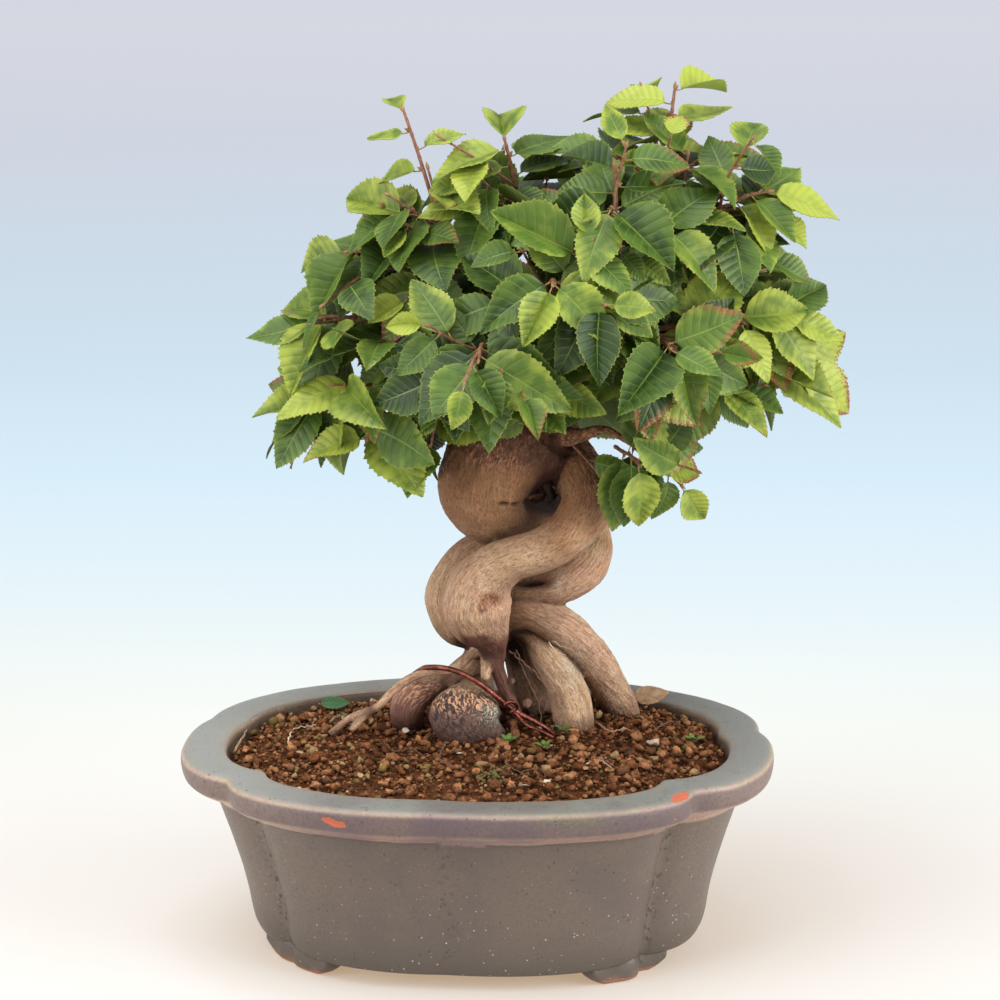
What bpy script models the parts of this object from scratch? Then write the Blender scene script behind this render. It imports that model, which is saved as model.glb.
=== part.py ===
"""Korean hornbeam bonsai in its six-lobed stoneware pot.

The tree is one piece of wood: four twisted strands, surface roots, a tapering stem and its
limbs. Leafy shoots butt on the limbs, the trunk stands in plain holes in the soil, and the
soil fills the pot over two drain screens and one tie wire. Metres, +Z up, and the origin is
under the middle of the whole plant, on the surface that the pot stands on.
"""

import math
import random

import bmesh
import bpy
from mathutils import Matrix, Vector
from mathutils.bvhtree import BVHTree

# Pot
POT_HALF_LENGTH = 0.110
POT_HALF_DEPTH = 0.0848
POT_MIDDLE_BACK = 0.0045
POT_SQUARENESS = 2.3
RIM_HEIGHT = 0.0756
LIP_THICK = 0.0118
LIP_WIDTH = 0.0165
WALL_INSET = 0.0085
FRONT_STEEPNESS = 0.62
FLOOR_UNDER = 0.0062
FLOOR_TOP = 0.0125
LOBE_DEGREES = (12.0, 89.0, 165.0, 214.5, 266.0, 321.5)
LOBE_DEPTHS = (0.034, 0.014, 0.020, 0.060, 0.018, 0.075)
LOBE_WIDTH = 0.11
DRAIN_X = 0.038
DRAIN_RADIUS = 0.0065
WIRE_HOLE_X = 0.060
WIRE_HOLE_RADIUS = 0.0022
FOOT_SPANS = ((196.0, 234.0), (300.0, 332.0), (16.0, 49.0), (131.0, 166.0))
FOOT_HEIGHT = 0.0088
FOOT_THICK = 0.0100
FOOT_INSET = 0.0280
FOOT_BULGE = 0.0016

# Drain screens: square plates with four openings each
SCREEN_SIDE = 0.020
SCREEN_THICK = 0.0012
SCREEN_OPENING = 0.0064
SCREEN_PITCH = 0.0084

# Soil
SOIL_EDGE = 0.0738
SOIL_MOUND = 0.0034
SOIL_RINGS = 5
SOIL_SEED = 36
SOIL_GRAINS = 420
GRAIN_RELIEF = 0.0011
GRAIN_SMALL = 0.0030
GRAIN_LARGE = 0.0055

# A tube's few sides lie inside its true round, so its radius is a little larger
FACET_ALLOWANCE = 1.06

# Clearances
GAP = 0.00035
BLADE_THICK = 0.00070

# Front view: the eye, its tilt and its lens, which place a point seen in the view
VIEW_TURN = math.radians(-4.5)
EYE_AWAY = 1.257
EYE_HEIGHT = 0.4802
EYE_RIGHT = 0.0092
EYE_TILT = math.radians(13.93)
EYE_ROLL = math.radians(-0.5)
EYE_LENS = 3573.0
EYE_MIDDLE = 500.0

# Wood: across and down in the front view, metres behind the pot's middle, half thickness in
# view units (2.7 to a millimetre)
STRANDS = {
    "stem": ((516, 446, .024, 60), (528, 420, .024, 50), (548, 392, .024, 38),
             (572, 358, .024, 28), (600, 326, .024, 22), (626, 298, .024, 18),
             (638, 268, .022, 15), (641, 238, .020, 13.5), (646, 210, .020, 11),
             (655, 185, .022, 8), (667, 162, .024, 5.0)),
    "bulb": ((522, 436, .024, 58), (500, 466, .020, 57), (489, 492, .018, 52),
             (497, 508, .020, 40), (520, 516, .026, 30), (548, 520, .034, 24),
             (576, 530, .040, 22)),
    "front_loop": ((540, 440, .030, 40), (566, 462, .024, 30), (585, 486, .013, 26),
                   (585, 511, .006, 26), (564, 538, .000, 24), (538, 551, -.001, 22),
                   (512, 559, .000, 22), (492, 571, .003, 27), (480, 588, .005, 33),
                   (477, 604, .006, 36), (481, 620, .008, 32), (490, 636, .011, 20),
                   (494, 650, .013, 12), (496, 664, .014, 8)),
    "right_loop": ((560, 490, .046, 26), (580, 520, .042, 23), (590, 545, .032, 22),
                   (585, 567, .022, 22), (563, 583, .019, 20), (537, 589, .021, 17),
                   (514, 598, .026, 15), (513, 618, .028, 14), (530, 636, .024, 15),
                   (547, 655, .019, 17), (560, 676, .018, 19), (570, 698, .018, 20),
                   (574, 722, .018, 20), (576, 740, .019, 18)),
    "left_loop": ((545, 450, .044, 34), (536, 490, .050, 28), (520, 522, .046, 26),
                  (492, 548, .038, 25), (464, 570, .030, 25), (450, 596, .025, 25),
                  (460, 622, .026, 24), (486, 632, .030, 20), (508, 618, .028, 18),
                  (528, 610, .021, 19), (552, 620, .018, 19), (574, 637, .020, 19.5),
                  (592, 658, .026, 19), (607, 682, .033, 18.5), (619, 704, .039, 17.5),
                  (626, 724, .043, 17)),
}
ROOTS = {
    "red_root": ((490, 636, .012, 14), (492, 652, .012, 11), (497, 668, .013, 7.5),
                 (504, 688, .014, 7), (512, 704, .016, 6.5), (519, 722, .019, 6)),
    "pale_root": ((484, 646, .018, 11), (470, 655, .016, 5.5), (456, 668, .014, 5),
                  (437, 672, .012, 4.5), (414, 676, .011, 4.5), (394, 690, .011, 4.5),
                  (376, 708, .010, 4.5), (351, 718, .011, 4.5), (330, 734, .013, 4)),
    "pale_side_root": ((372, 710, .010, 4), (362, 719, .009, 3.5), (350, 731, .006, 3.5)),
    "cut_stub": ((488, 650, .014, 8), (486, 668, .010, 5.5), (485, 681, .008, 5)),
    "left_knee": ((462, 674, .024, 8), (438, 684, .024, 10), (420, 692, .022, 15),
                  (409, 703, .021, 18), (407, 715, .022, 17), (408, 728, .024, 13)),
    "front_knee": ((486, 664, .026, 10), (480, 684, .026, 13), (471, 701, .018, 23),
                   (465, 714, .010, 31), (470, 727, .009, 29), (484, 737, .010, 17),
                   (496, 745, .012, 10)),
    "knee_bridge": ((490, 648, .020, 12), (470, 668, .024, 10), (448, 682, .024, 10)),
    "back_left_root": ((476, 628, .032, 16), (474, 656, .040, 12), (452, 674, .050, 9),
                       (430, 690, .060, 7)),
    "back_right_root": ((552, 619, .018, 15), (574, 650, .040, 12), (594, 676, .052, 9.5),
                        (606, 692, .060, 8)),
    "back_middle_root": ((510, 612, .032, 15), (516, 636, .038, 19), (526, 662, .042, 22),
                         (534, 688, .043, 24), (538, 712, .042, 24)),
}

# Limbs: the stations of the wood
LIMBS = {
    "left_low": ((520, 425, .020, 22), (478, 398, .010, 14), (430, 384, .006, 10),
                 (388, 384, .006, 7), (352, 392, .008, 5)),
    "left_mid": ((542, 394, .024, 20), (490, 350, .022, 12), (440, 330, .016, 9),
                 (396, 322, .012, 7), (356, 318, .014, 5)),
    "left_up": ((560, 374, .025, 16), (506, 312, .027, 11), (462, 276, .022, 8.5),
                (422, 266, .018, 6.5), (388, 256, .018, 5)),
    "left_spur": ((470, 284, .024, 8), (450, 240, .016, 6), (434, 205, .014, 4.5)),
    "top_left": ((588, 340, .024, 14), (556, 280, .026, 10), (530, 226, .022, 7.5),
                 (514, 182, .018, 5)),
    "top_mid": ((612, 312, .024, 12), (602, 250, .032, 8), (594, 196, .038, 5.5)),
    "right_up": ((639, 264, .021, 11), (684, 226, .016, 8), (730, 204, .010, 5)),
    "right_mid": ((606, 320, .024, 14), (664, 300, .014, 10), (712, 298, .006, 7),
                  (748, 312, .002, 5)),
    "right_low": ((554, 388, .023, 18), (610, 382, .014, 12), (664, 372, .008, 9),
                  (714, 362, .006, 7), (748, 366, .006, 5)),
    "right_twig": ((545, 436, .018, 14), (578, 436, .004, 9), (606, 430, -.002, 7),
                   (640, 450, -.006, 5)),
    "front_low": ((532, 410, .018, 20), (508, 386, -.010, 12), (494, 364, -.024, 8),
                  (482, 344, -.034, 5)),
    "front_mid": ((575, 356, .022, 15), (570, 328, -.006, 9), (560, 300, -.022, 6.5),
                  (552, 280, -.032, 5)),
    "front_up": ((630, 292, .023, 11), (622, 252, -.002, 7.5), (610, 218, -.016, 5)),
    "front_right": ((602, 324, .023, 12), (634, 334, -.010, 8), (664, 340, -.026, 5)),
    "back_low": ((546, 400, .028, 18), (556, 368, .060, 11), (556, 340, .074, 7),
                 (552, 322, .082, 5)),
    "back_left": ((540, 398, .027, 15), (490, 354, .056, 9.5), (444, 324, .066, 7),
                  (412, 306, .072, 5)),
    "back_right": ((590, 340, .025, 13), (642, 310, .058, 9), (690, 284, .068, 6.5),
                   (722, 272, .074, 5)),
    "back_up": ((632, 286, .024, 11), (626, 236, .052, 8), (620, 196, .064, 5)),
}
# Shoots: the limb, how far along it, the heading (right, up, away), the length in metres,
# the number of leaves and their size
SHOOTS = {
    "left_low_tip": ("left_low", 1.0, (-1.0, -0.15, -0.1), 0.014, 5, 1.00),
    "left_low_front": ("left_low", 0.76, (-0.5, -0.7, -0.6), 0.018, 5, 1.05),
    "left_low_hang": ("left_low", 0.52, (-0.2, -0.9, -0.1), 0.016, 4, 1.05),
    "left_mid_tip": ("left_mid", 1.0, (-1.0, 0.05, -0.1), 0.014, 5, 1.00),
    "left_mid_front": ("left_mid", 0.70, (-0.5, 0.0, -0.8), 0.020, 5, 1.05),
    "left_mid_back": ("left_mid", 0.66, (-0.6, 0.2, 0.8), 0.018, 4, 1.00),
    "left_up_tip": ("left_up", 1.0, (-1.0, 0.15, 0.0), 0.014, 5, 0.95),
    "left_up_front": ("left_up", 0.70, (-0.4, 0.1, -0.9), 0.020, 5, 1.05),
    "left_up_back": ("left_up", 0.62, (-0.5, 0.5, 0.8), 0.018, 4, 0.95),
    "left_spur_tip": ("left_spur", 1.0, (-0.30, 1.0, 0.0), 0.036, 5, 0.52),
    "left_spur_side": ("left_spur", 0.80, (-0.9, 0.2, -0.3), 0.014, 4, 0.95),
    "top_left_tip": ("top_left", 1.0, (-0.2, 1.0, -0.1), 0.016, 5, 0.90),
    "top_left_front": ("top_left", 0.78, (-0.8, 0.4, -0.5), 0.018, 5, 0.95),
    "top_left_back": ("top_left", 0.62, (-0.3, 0.6, 0.8), 0.018, 4, 0.95),
    "top_mid_tip": ("top_mid", 1.0, (-0.1, 1.0, 0.1), 0.018, 5, 0.90),
    "top_mid_side": ("top_mid", 0.76, (-0.6, 0.6, -0.5), 0.016, 4, 0.95),
    "crown_tip": ("stem", 1.0, (0.10, 1.0, 0.0), 0.027, 5, 0.84),
    "crown_left": ("stem", 0.93, (-0.8, 0.6, -0.3), 0.018, 5, 0.90),
    "crown_right": ("stem", 0.90, (0.8, 0.55, -0.1), 0.020, 5, 0.90),
    "right_up_tip": ("right_up", 1.0, (0.9, 0.35, -0.1), 0.014, 5, 0.95),
    "right_up_front": ("right_up", 0.70, (0.4, 0.1, -0.8), 0.018, 5, 1.00),
    "right_up_back": ("right_up", 0.66, (0.5, 0.5, 0.7), 0.018, 4, 0.95),
    "right_mid_tip": ("right_mid", 1.0, (1.0, 0.0, -0.1), 0.014, 5, 1.00),
    "right_mid_front": ("right_mid", 0.70, (0.5, -0.1, -0.8), 0.018, 5, 1.05),
    "right_mid_back": ("right_mid", 0.72, (0.6, 0.4, 0.7), 0.018, 4, 0.95),
    "right_low_tip": ("right_low", 1.0, (1.0, 0.05, -0.1), 0.018, 5, 1.00),
    "right_low_front": ("right_low", 0.74, (0.4, -0.1, -0.8), 0.016, 5, 1.00),
    "right_low_hang": ("right_low", 0.86, (0.4, -0.2, 0.6), 0.014, 4, 0.90),
    "right_twig_tip": ("right_twig", 1.0, (0.8, -0.65, -0.1), 0.018, 4, 0.60),
    "right_twig_front": ("right_twig", 0.74, (0.4, -0.1, -0.9), 0.014, 5, 0.95),
    "front_low_tip": ("front_low", 1.0, (-0.1, -0.2, -1.0), 0.012, 5, 1.10),
    "front_low_left": ("front_low", 0.70, (-0.9, 0.0, -0.5), 0.020, 5, 1.10),
    "front_low_right": ("front_low", 0.66, (0.8, 0.0, -0.6), 0.018, 5, 1.05),
    "front_mid_tip": ("front_mid", 1.0, (0.0, 0.1, -1.0), 0.014, 5, 1.00),
    "front_mid_left": ("front_mid", 0.70, (-0.9, 0.2, -0.4), 0.020, 5, 1.00),
    "front_mid_right": ("front_mid", 0.72, (0.8, -0.1, -0.5), 0.018, 5, 1.00),
    "front_up_tip": ("front_up", 1.0, (0.0, 0.5, -1.0), 0.014, 5, 0.95),
    "front_up_left": ("front_up", 0.66, (-0.9, 0.3, -0.3), 0.018, 5, 1.00),
    "front_up_right": ("front_up", 0.72, (0.8, 0.3, -0.5), 0.018, 5, 1.00),
    "front_right_tip": ("front_right", 1.0, (0.4, -0.2, -1.0), 0.012, 5, 1.05),
    "front_right_low": ("front_right", 0.70, (-0.2, -0.9, -0.5), 0.016, 5, 1.05),
    "front_right_side": ("front_right", 0.66, (0.9, 0.2, -0.3), 0.018, 5, 1.00),
    "back_low_tip": ("back_low", 1.0, (0.0, -0.1, 1.0), 0.014, 4, 1.00),
    "back_low_left": ("back_low", 0.70, (-0.9, -0.2, 0.5), 0.018, 4, 1.05),
    "back_low_right": ("back_low", 0.70, (0.9, -0.2, 0.5), 0.018, 4, 1.05),
    "back_left_tip": ("back_left", 1.0, (-0.8, 0.0, 0.6), 0.014, 4, 1.00),
    "back_left_side": ("back_left", 0.66, (-0.1, 0.2, 1.0), 0.018, 4, 1.00),
    "back_right_tip": ("back_right", 1.0, (0.8, 0.1, 0.6), 0.014, 4, 1.00),
    "back_right_side": ("back_right", 0.66, (0.1, 0.3, 1.0), 0.018, 4, 1.00),
    "back_up_tip": ("back_up", 1.0, (0.0, 0.5, 0.9), 0.014, 4, 0.95),
    "back_up_left": ("back_up", 0.70, (-0.8, 0.4, 0.5), 0.018, 4, 0.95),
}
LEAF_SEED = 31
CROWN_MIDDLE = (560, 310, .024)
LEAF_LONG = 0.0262
LEAF_TRIES = 18
LEAF_STALK = 0.0032
# The part of a leaf's stalk that may touch its own twig
LEAF_ROOT = 0.0020
TWIG_RADIUS = 0.00075
TWIG_TIP_RADIUS = 0.00055

# Leaves on the soil: the place, the heading and the facing (right, up, away), the length, the
# curl and the colour
LITTER = {
    "fallen_leaf": ((318, 704, .052), (1.0, 0.1, 0.0), (0.0, -0.25, 1.0), 0.0110, 0.05,
                    (0.16, 0.30, 0.22)),
    "dry_leaf": ((632, 706, .046), (0.9, 0.3, 0.35), (-0.5, -0.8, 0.9), 0.0140, 0.30,
                 (0.38, 0.27, 0.16)),
}

# Tie wire: one soft wire up through the soil, over the roots, and back down
WIRE_RADIUS = 0.00075
WIRE_BEND = 0.0006
WIRE_TAIL = 0.0260
WIRE_TURNS = 60
WIRE_OVER = ((404, 706, .040), (406, 690, .034), (411, 677, .020), (423, 667, .010),
             (443, 663, .008),
             (463, 672, .006), (484, 684, .003), (499, 698, .004), (507, 710, .010),
             (520, 716, .012), (542, 722, .012), (556, 732, .011), (566, 744, .010))

PART = "korean_hornbeam_bonsai"


def clear_scene():
    """Removes what a new file holds."""
    for item in list(bpy.data.objects):
        bpy.data.objects.remove(item, do_unlink=True)
    for group in list(bpy.data.collections):
        bpy.data.collections.remove(group)


def new_collection(name):
    """A collection linked to the scene."""
    group = bpy.data.collections.new(name)
    bpy.context.scene.collection.children.link(group)
    return group


def seen(across, down, away):
    """The point that the front view shows there, so many metres behind the pot's middle."""
    x = across - EYE_MIDDLE
    y = down - EYE_MIDDLE
    c, s = math.cos(EYE_ROLL), math.sin(EYE_ROLL)
    u = (c * x + s * y) / EYE_LENS
    v = (c * y - s * x) / EYE_LENS
    ct, st = math.cos(EYE_TILT), math.sin(EYE_TILT)
    reach = EYE_AWAY + away
    drop = reach * (st + v * ct) / (ct - v * st)
    depth = reach * ct + drop * st
    return turned(u * depth + EYE_RIGHT, away, EYE_HEIGHT - drop), depth


def turned(right, away, up):
    """A direction or point of the front view, in the pot's own frame."""
    c, s = math.cos(VIEW_TURN), math.sin(VIEW_TURN)
    return Vector((c * right + s * away, c * away - s * right, up))


def station(across, down, away, half):
    """A station of wood: its point and its radius."""
    point, depth = seen(across, down, away)
    return point, half * FACET_ALLOWANCE * depth / EYE_LENS


def smooth_path(rows, spacing):
    """Points and radii along a smooth curve through the stations, a spacing apart."""
    points = [row[0] for row in rows]
    radii = [row[1] for row in rows]
    fine = []
    last = len(points) - 1
    for i in range(last):
        before = points[max(i - 1, 0)]
        after = points[min(i + 2, last)]
        for k in range(8):
            t = k / 8.0
            a, b = points[i], points[i + 1]
            tangent_a = (b - before) * 0.5
            tangent_b = (after - a) * 0.5
            h1 = 2 * t ** 3 - 3 * t ** 2 + 1
            h2 = t ** 3 - 2 * t ** 2 + t
            h3 = 3 * t ** 2 - 2 * t ** 3
            h4 = t ** 3 - t ** 2
            point = a * h1 + tangent_a * h2 + b * h3 + tangent_b * h4
            fine.append((point, radii[i] * (1 - t) + radii[i + 1] * t))
    fine.append((points[-1], radii[-1]))
    lengths = [0.0]
    for i in range(1, len(fine)):
        lengths.append(lengths[-1] + (fine[i][0] - fine[i - 1][0]).length)
    count = max(2, int(round(lengths[-1] / spacing)) + 1)
    result = []
    j = 0
    for i in range(count):
        want = lengths[-1] * i / (count - 1)
        while j < len(fine) - 2 and lengths[j + 1] < want:
            j += 1
        span = max(lengths[j + 1] - lengths[j], 1e-9)
        t = min(max((want - lengths[j]) / span, 0.0), 1.0)
        result.append((fine[j][0].lerp(fine[j + 1][0], t),
                       fine[j][1] * (1 - t) + fine[j + 1][1] * t))
    return result


def tube(name, rows, resolution, grow=0.0):
    """A closed tube mesh object along the rows, from a curve with a round bevel."""
    curve = bpy.data.curves.new(name, "CURVE")
    curve.dimensions = "3D"
    curve.bevel_depth = 1.0
    curve.bevel_resolution = resolution
    curve.resolution_u = 1
    curve.render_resolution_u = 0
    curve.use_fill_caps = True
    curve.twist_mode = "MINIMUM"
    spline = curve.splines.new("POLY")
    spline.points.add(len(rows) - 1)
    for item, (point, radius) in zip(spline.points, rows):
        item.co = (point.x, point.y, point.z, 1.0)
        item.radius = radius + grow
    source = bpy.data.objects.new(name + "_curve", curve)
    bpy.context.scene.collection.objects.link(source)
    bpy.context.view_layer.update()
    graph = bpy.context.evaluated_depsgraph_get()
    mesh = bpy.data.meshes.new_from_object(source.evaluated_get(graph))
    mesh.name = name
    body = bpy.data.objects.new(name, mesh)
    body.matrix_world = source.matrix_world.copy()
    bpy.data.objects.remove(source, do_unlink=True)
    bpy.data.curves.remove(curve)
    shell = bmesh.new()
    shell.from_mesh(mesh)
    bmesh.ops.remove_doubles(shell, verts=shell.verts, dist=1e-7)
    bmesh.ops.triangulate(shell, faces=shell.faces)
    bmesh.ops.recalc_face_normals(shell, faces=shell.faces)
    shell.to_mesh(mesh)
    shell.free()
    return body


def keep_largest(mesh):
    """Drops every loose scrap and keeps the largest body of a mesh."""
    shell = bmesh.new()
    shell.from_mesh(mesh)
    seen_faces = set()
    bodies = []
    for face in shell.faces:
        if face in seen_faces:
            continue
        stack = [face]
        body = []
        seen_faces.add(face)
        while stack:
            item = stack.pop()
            body.append(item)
            for edge in item.edges:
                for other in edge.link_faces:
                    if other not in seen_faces:
                        seen_faces.add(other)
                        stack.append(other)
        bodies.append(body)
    bodies.sort(key=lambda body: -sum(item.calc_area() for item in body))
    for body in bodies[1:]:
        bmesh.ops.delete(shell, geom=body, context="FACES")
    loose = [vert for vert in shell.verts if not vert.link_faces]
    bmesh.ops.delete(shell, geom=loose, context="VERTS")
    shell.to_mesh(mesh)
    shell.free()


def combine(target, others, operation, solver="MANIFOLD"):
    """One Boolean of a target with a collection of others, applied, the others removed."""
    group = new_collection("joining")
    for item in others:
        for old in list(item.users_collection):
            old.objects.unlink(item)
        group.objects.link(item)
    if not target.users_collection:
        bpy.context.scene.collection.objects.link(target)
    step = target.modifiers.new("Join", "BOOLEAN")
    step.operation = operation
    step.operand_type = "COLLECTION"
    step.collection = group
    step.solver = solver
    bpy.context.view_layer.update()
    graph = bpy.context.evaluated_depsgraph_get()
    mesh = bpy.data.meshes.new_from_object(target.evaluated_get(graph))
    target.modifiers.clear()
    target.data = mesh
    for item in list(group.objects):
        bpy.data.objects.remove(item, do_unlink=True)
    bpy.data.collections.remove(group)
    keep_largest(target.data)
    return target


def finish(body, group, name, colour, roughness, metallic=0.0):
    """Names a piece, gives it its own material and puts it in the plant's collection."""
    body.name = name
    body.data.name = name
    for old in list(body.users_collection):
        old.objects.unlink(body)
    group.objects.link(body)
    material = bpy.data.materials.new(name)
    material.use_nodes = True
    shader = material.node_tree.nodes["Principled BSDF"]
    shader.inputs["Base Color"].default_value = (*colour, 1.0)
    shader.inputs["Roughness"].default_value = roughness
    shader.inputs["Metallic"].default_value = metallic
    body.data.materials.clear()
    body.data.materials.append(material)
    body.data.shade_smooth()
    body.data.set_sharp_from_angle(angle=math.radians(40))
    return body


def tree_of(body):
    """A search tree over a body's triangles."""
    mesh = body.data
    mesh.calc_loop_triangles()
    corners = [body.matrix_world @ vert.co for vert in mesh.vertices]
    faces = [tuple(item.vertices) for item in mesh.loop_triangles]
    return BVHTree.FromPolygons(corners, faces)


def lobed(angle, inset, strength):
    """A point of the pot's lobed outline, moved in from the rim by the inset."""
    radius = 1.0
    for degrees, depth in zip(LOBE_DEGREES, LOBE_DEPTHS):
        turn = math.remainder(angle - math.radians(degrees), math.tau)
        away = math.sqrt(turn * turn + 0.0009) - 0.03
        radius -= strength * depth * math.exp(-away / LOBE_WIDTH)
    c, s = math.cos(angle), math.sin(angle)
    power = 2.0 / POT_SQUARENESS
    x = (POT_HALF_LENGTH - inset) * radius * math.copysign(abs(c) ** power, c)
    steep = min(inset, LIP_WIDTH) + max(inset - LIP_WIDTH, 0.0) * FRONT_STEEPNESS
    y = (POT_HALF_DEPTH - steep) * radius * math.copysign(abs(s) ** power, s)
    return x, y + POT_MIDDLE_BACK


def ring_angles():
    """The angles round the pot, closer together at each crease between two lobes."""
    creases = [math.radians(value) for value in LOBE_DEGREES]
    creases.append(creases[0] + math.tau)
    near, nearer = math.radians(9.0), math.radians(3.5)
    angles = []
    for a, b in zip(creases, creases[1:]):
        inner = max(2, int(round((b - a - 2 * near) / math.radians(14.0))))
        angles += [a, a + nearer]
        angles += [a + near + (b - a - 2 * near) * i / inner for i in range(inner + 1)]
        angles.append(b - nearer)
    return angles


def turned_bowl(name, profile, place):
    """A bowl turned by a Screw from one row a ring, each vertex then put in its place."""
    angles = ring_angles()
    steps = len(angles)
    mesh = bpy.data.meshes.new(name)
    line = bmesh.new()
    verts = []
    for i, row in enumerate(profile):
        verts.append(line.verts.new((0.0 if row[0] is None else 1.0, 0.0, -0.1 * i)))
    for a, b in zip(verts, verts[1:]):
        line.edges.new((a, b))
    line.to_mesh(mesh)
    line.free()
    body = bpy.data.objects.new(name, mesh)
    bpy.context.scene.collection.objects.link(body)
    screw = body.modifiers.new("Turn", "SCREW")
    screw.steps = steps
    screw.render_steps = steps
    screw.use_merge_vertices = True
    screw.merge_threshold = 0.00001
    bpy.context.view_layer.update()
    graph = bpy.context.evaluated_depsgraph_get()
    made = bpy.data.meshes.new_from_object(body.evaluated_get(graph))
    body.modifiers.clear()
    body.data = made
    for vert in made.vertices:
        index = min(int(round(-vert.co.z * 10.0)), len(profile) - 1)
        turn = math.atan2(vert.co.y, vert.co.x) / math.tau * steps
        vert.co = place(index, angles[int(round(turn)) % steps])
    shell = bmesh.new()
    shell.from_mesh(made)
    bmesh.ops.remove_doubles(shell, verts=shell.verts, dist=1e-6)
    bmesh.ops.triangulate(shell, faces=shell.faces)
    bmesh.ops.recalc_face_normals(shell, faces=shell.faces)
    shell.to_mesh(made)
    shell.free()
    return body


def cylinder(name, x, y, radius, low, high, sides=16):
    """A plain round solid."""
    bpy.ops.mesh.primitive_cylinder_add(vertices=sides, radius=radius, depth=high - low,
                                        location=(x, y, (low + high) / 2))
    body = bpy.context.active_object
    body.name = name
    body.data.transform(body.matrix_world)
    body.matrix_world = Matrix.Identity(4)
    return body


def block(middle, size):
    """A plain box."""
    bpy.ops.mesh.primitive_cube_add(size=1.0)
    body = bpy.context.active_object
    body.data.transform(Matrix.Translation(middle) @ Matrix.Diagonal((*size, 1.0)))
    return body


def loft(name, rings):
    """A closed body through rings of points that have the same count."""
    shell = bmesh.new()
    made = [[shell.verts.new(point) for point in ring] for ring in rings]
    for a, b in zip(made, made[1:]):
        for i in range(len(a)):
            j = (i + 1) % len(a)
            shell.faces.new((a[i], a[j], b[j], b[i]))
    shell.faces.new(list(reversed(made[0])))
    shell.faces.new(made[-1])
    bmesh.ops.triangulate(shell, faces=shell.faces)
    bmesh.ops.recalc_face_normals(shell, faces=shell.faces)
    mesh = bpy.data.meshes.new(name)
    shell.to_mesh(mesh)
    shell.free()
    return bpy.data.objects.new(name, mesh)


def pot_foot(name, start, end):
    """A cloud foot under the pot's edge: a curved bar whose ends curl up."""
    rings = []
    steps = 8
    for i in range(steps + 1):
        t = i / steps
        angle = math.radians(start + (end - start) * t)
        curl = abs(2 * t - 1)
        low = FOOT_HEIGHT * 0.55 * max(0.0, (curl - 0.62) / 0.38) ** 1.6
        bulge = FOOT_BULGE * math.cos(3 * math.pi * (t - 0.5))
        outer = lobed(angle, FOOT_INSET - bulge, 1.0)
        outer_top = lobed(angle, FOOT_INSET - bulge * 0.5, 1.0)
        inner = lobed(angle, FOOT_INSET + FOOT_THICK, 1.0)
        rings.append(((*outer, low), (*outer_top, FOOT_HEIGHT), (*inner, FOOT_HEIGHT),
                      (*inner, low)))
    return loft(name, rings)


def build_pot(group):
    """The stoneware pot with its flat lip, feet, drain holes and wire holes."""
    profile = [
        (None, FLOOR_TOP, 0.0),
        (0.0400, FLOOR_TOP, 0.9),
        (0.0322, FLOOR_TOP + 0.0040, 1.0),
        (0.0272, 0.0360, 1.0),
        (0.0205, RIM_HEIGHT - 0.0200, 1.0),
        (LIP_WIDTH, RIM_HEIGHT - 0.0008, 1.0),
        (0.0045, RIM_HEIGHT, 1.0),
        (0.0004, RIM_HEIGHT - 0.0018, 1.0),
        (0.0010, RIM_HEIGHT - 0.0076, 1.0),
        (0.0052, RIM_HEIGHT - LIP_THICK, 1.0),
        (WALL_INSET, RIM_HEIGHT - LIP_THICK - 0.0012, 1.0),
        (0.0126, 0.0590, 1.1),
        (0.0192, 0.0395, 1.1),
        (0.0236, 0.0230, 1.1),
        (0.0256, 0.0120, 1.0),
        (0.0300, FLOOR_UNDER, 1.0),
        (None, FLOOR_UNDER, 0.0),
    ]

    def place(index, angle):
        inset, height, strength = profile[index]
        if inset is None:
            return 0.0, POT_MIDDLE_BACK, height
        return (*lobed(angle, inset, strength), height)

    pot = turned_bowl("pot", profile, place)
    feet = [pot_foot("foot", start, end) for start, end in FOOT_SPANS]
    combine(pot, feet, "UNION")
    cuts = []
    for side in (-1, 1):
        cuts.append(cylinder("drain", side * DRAIN_X, POT_MIDDLE_BACK, DRAIN_RADIUS,
                             0.0, FLOOR_TOP + 0.004, 12))
        cuts.append(cylinder("wire_hole", side * WIRE_HOLE_X, POT_MIDDLE_BACK,
                             WIRE_HOLE_RADIUS, 0.0, FLOOR_TOP + 0.004, 8))
    combine(pot, cuts, "DIFFERENCE")
    return finish(pot, group, "pot", (0.22, 0.22, 0.25), 0.55)


def build_screens(group):
    """The plastic drain screens, each a plate with a grid of square openings."""
    middle = FLOOR_TOP + GAP + SCREEN_THICK / 2
    for side, name in ((-1, "drain_screen_left"), (1, "drain_screen_right")):
        plate = block((side * DRAIN_X, POT_MIDDLE_BACK, middle),
                      (SCREEN_SIDE, SCREEN_SIDE, SCREEN_THICK))
        cuts = []
        for i in (-0.5, 0.5):
            for j in (-0.5, 0.5):
                place = (side * DRAIN_X + i * SCREEN_PITCH, POT_MIDDLE_BACK + j * SCREEN_PITCH,
                         middle)
                cuts.append(block(place, (SCREEN_OPENING, SCREEN_OPENING, SCREEN_THICK * 4)))
        combine(plate, cuts, "DIFFERENCE")
        finish(plate, group, name, (0.03, 0.03, 0.03), 0.6)


def soil_height(x, y, reach, grains):
    """The height of the soil there: a low mound with grains standing out of it."""
    root = math.hypot((x - 0.020) / 0.060, (y - 0.022) / 0.045)
    mound = SOIL_MOUND * math.exp(-root * root)
    grain = 0.0
    for gx, gy, size in grains:
        away = math.hypot(x - gx, y - gy) / size
        if away < 1.0:
            grain = max(grain, math.sqrt(1.0 - away * away))
    edge = -0.0008 if reach > 0.96 else 0.0
    return SOIL_EDGE + mound + GRAIN_RELIEF * (grain - 0.4) + edge


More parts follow.
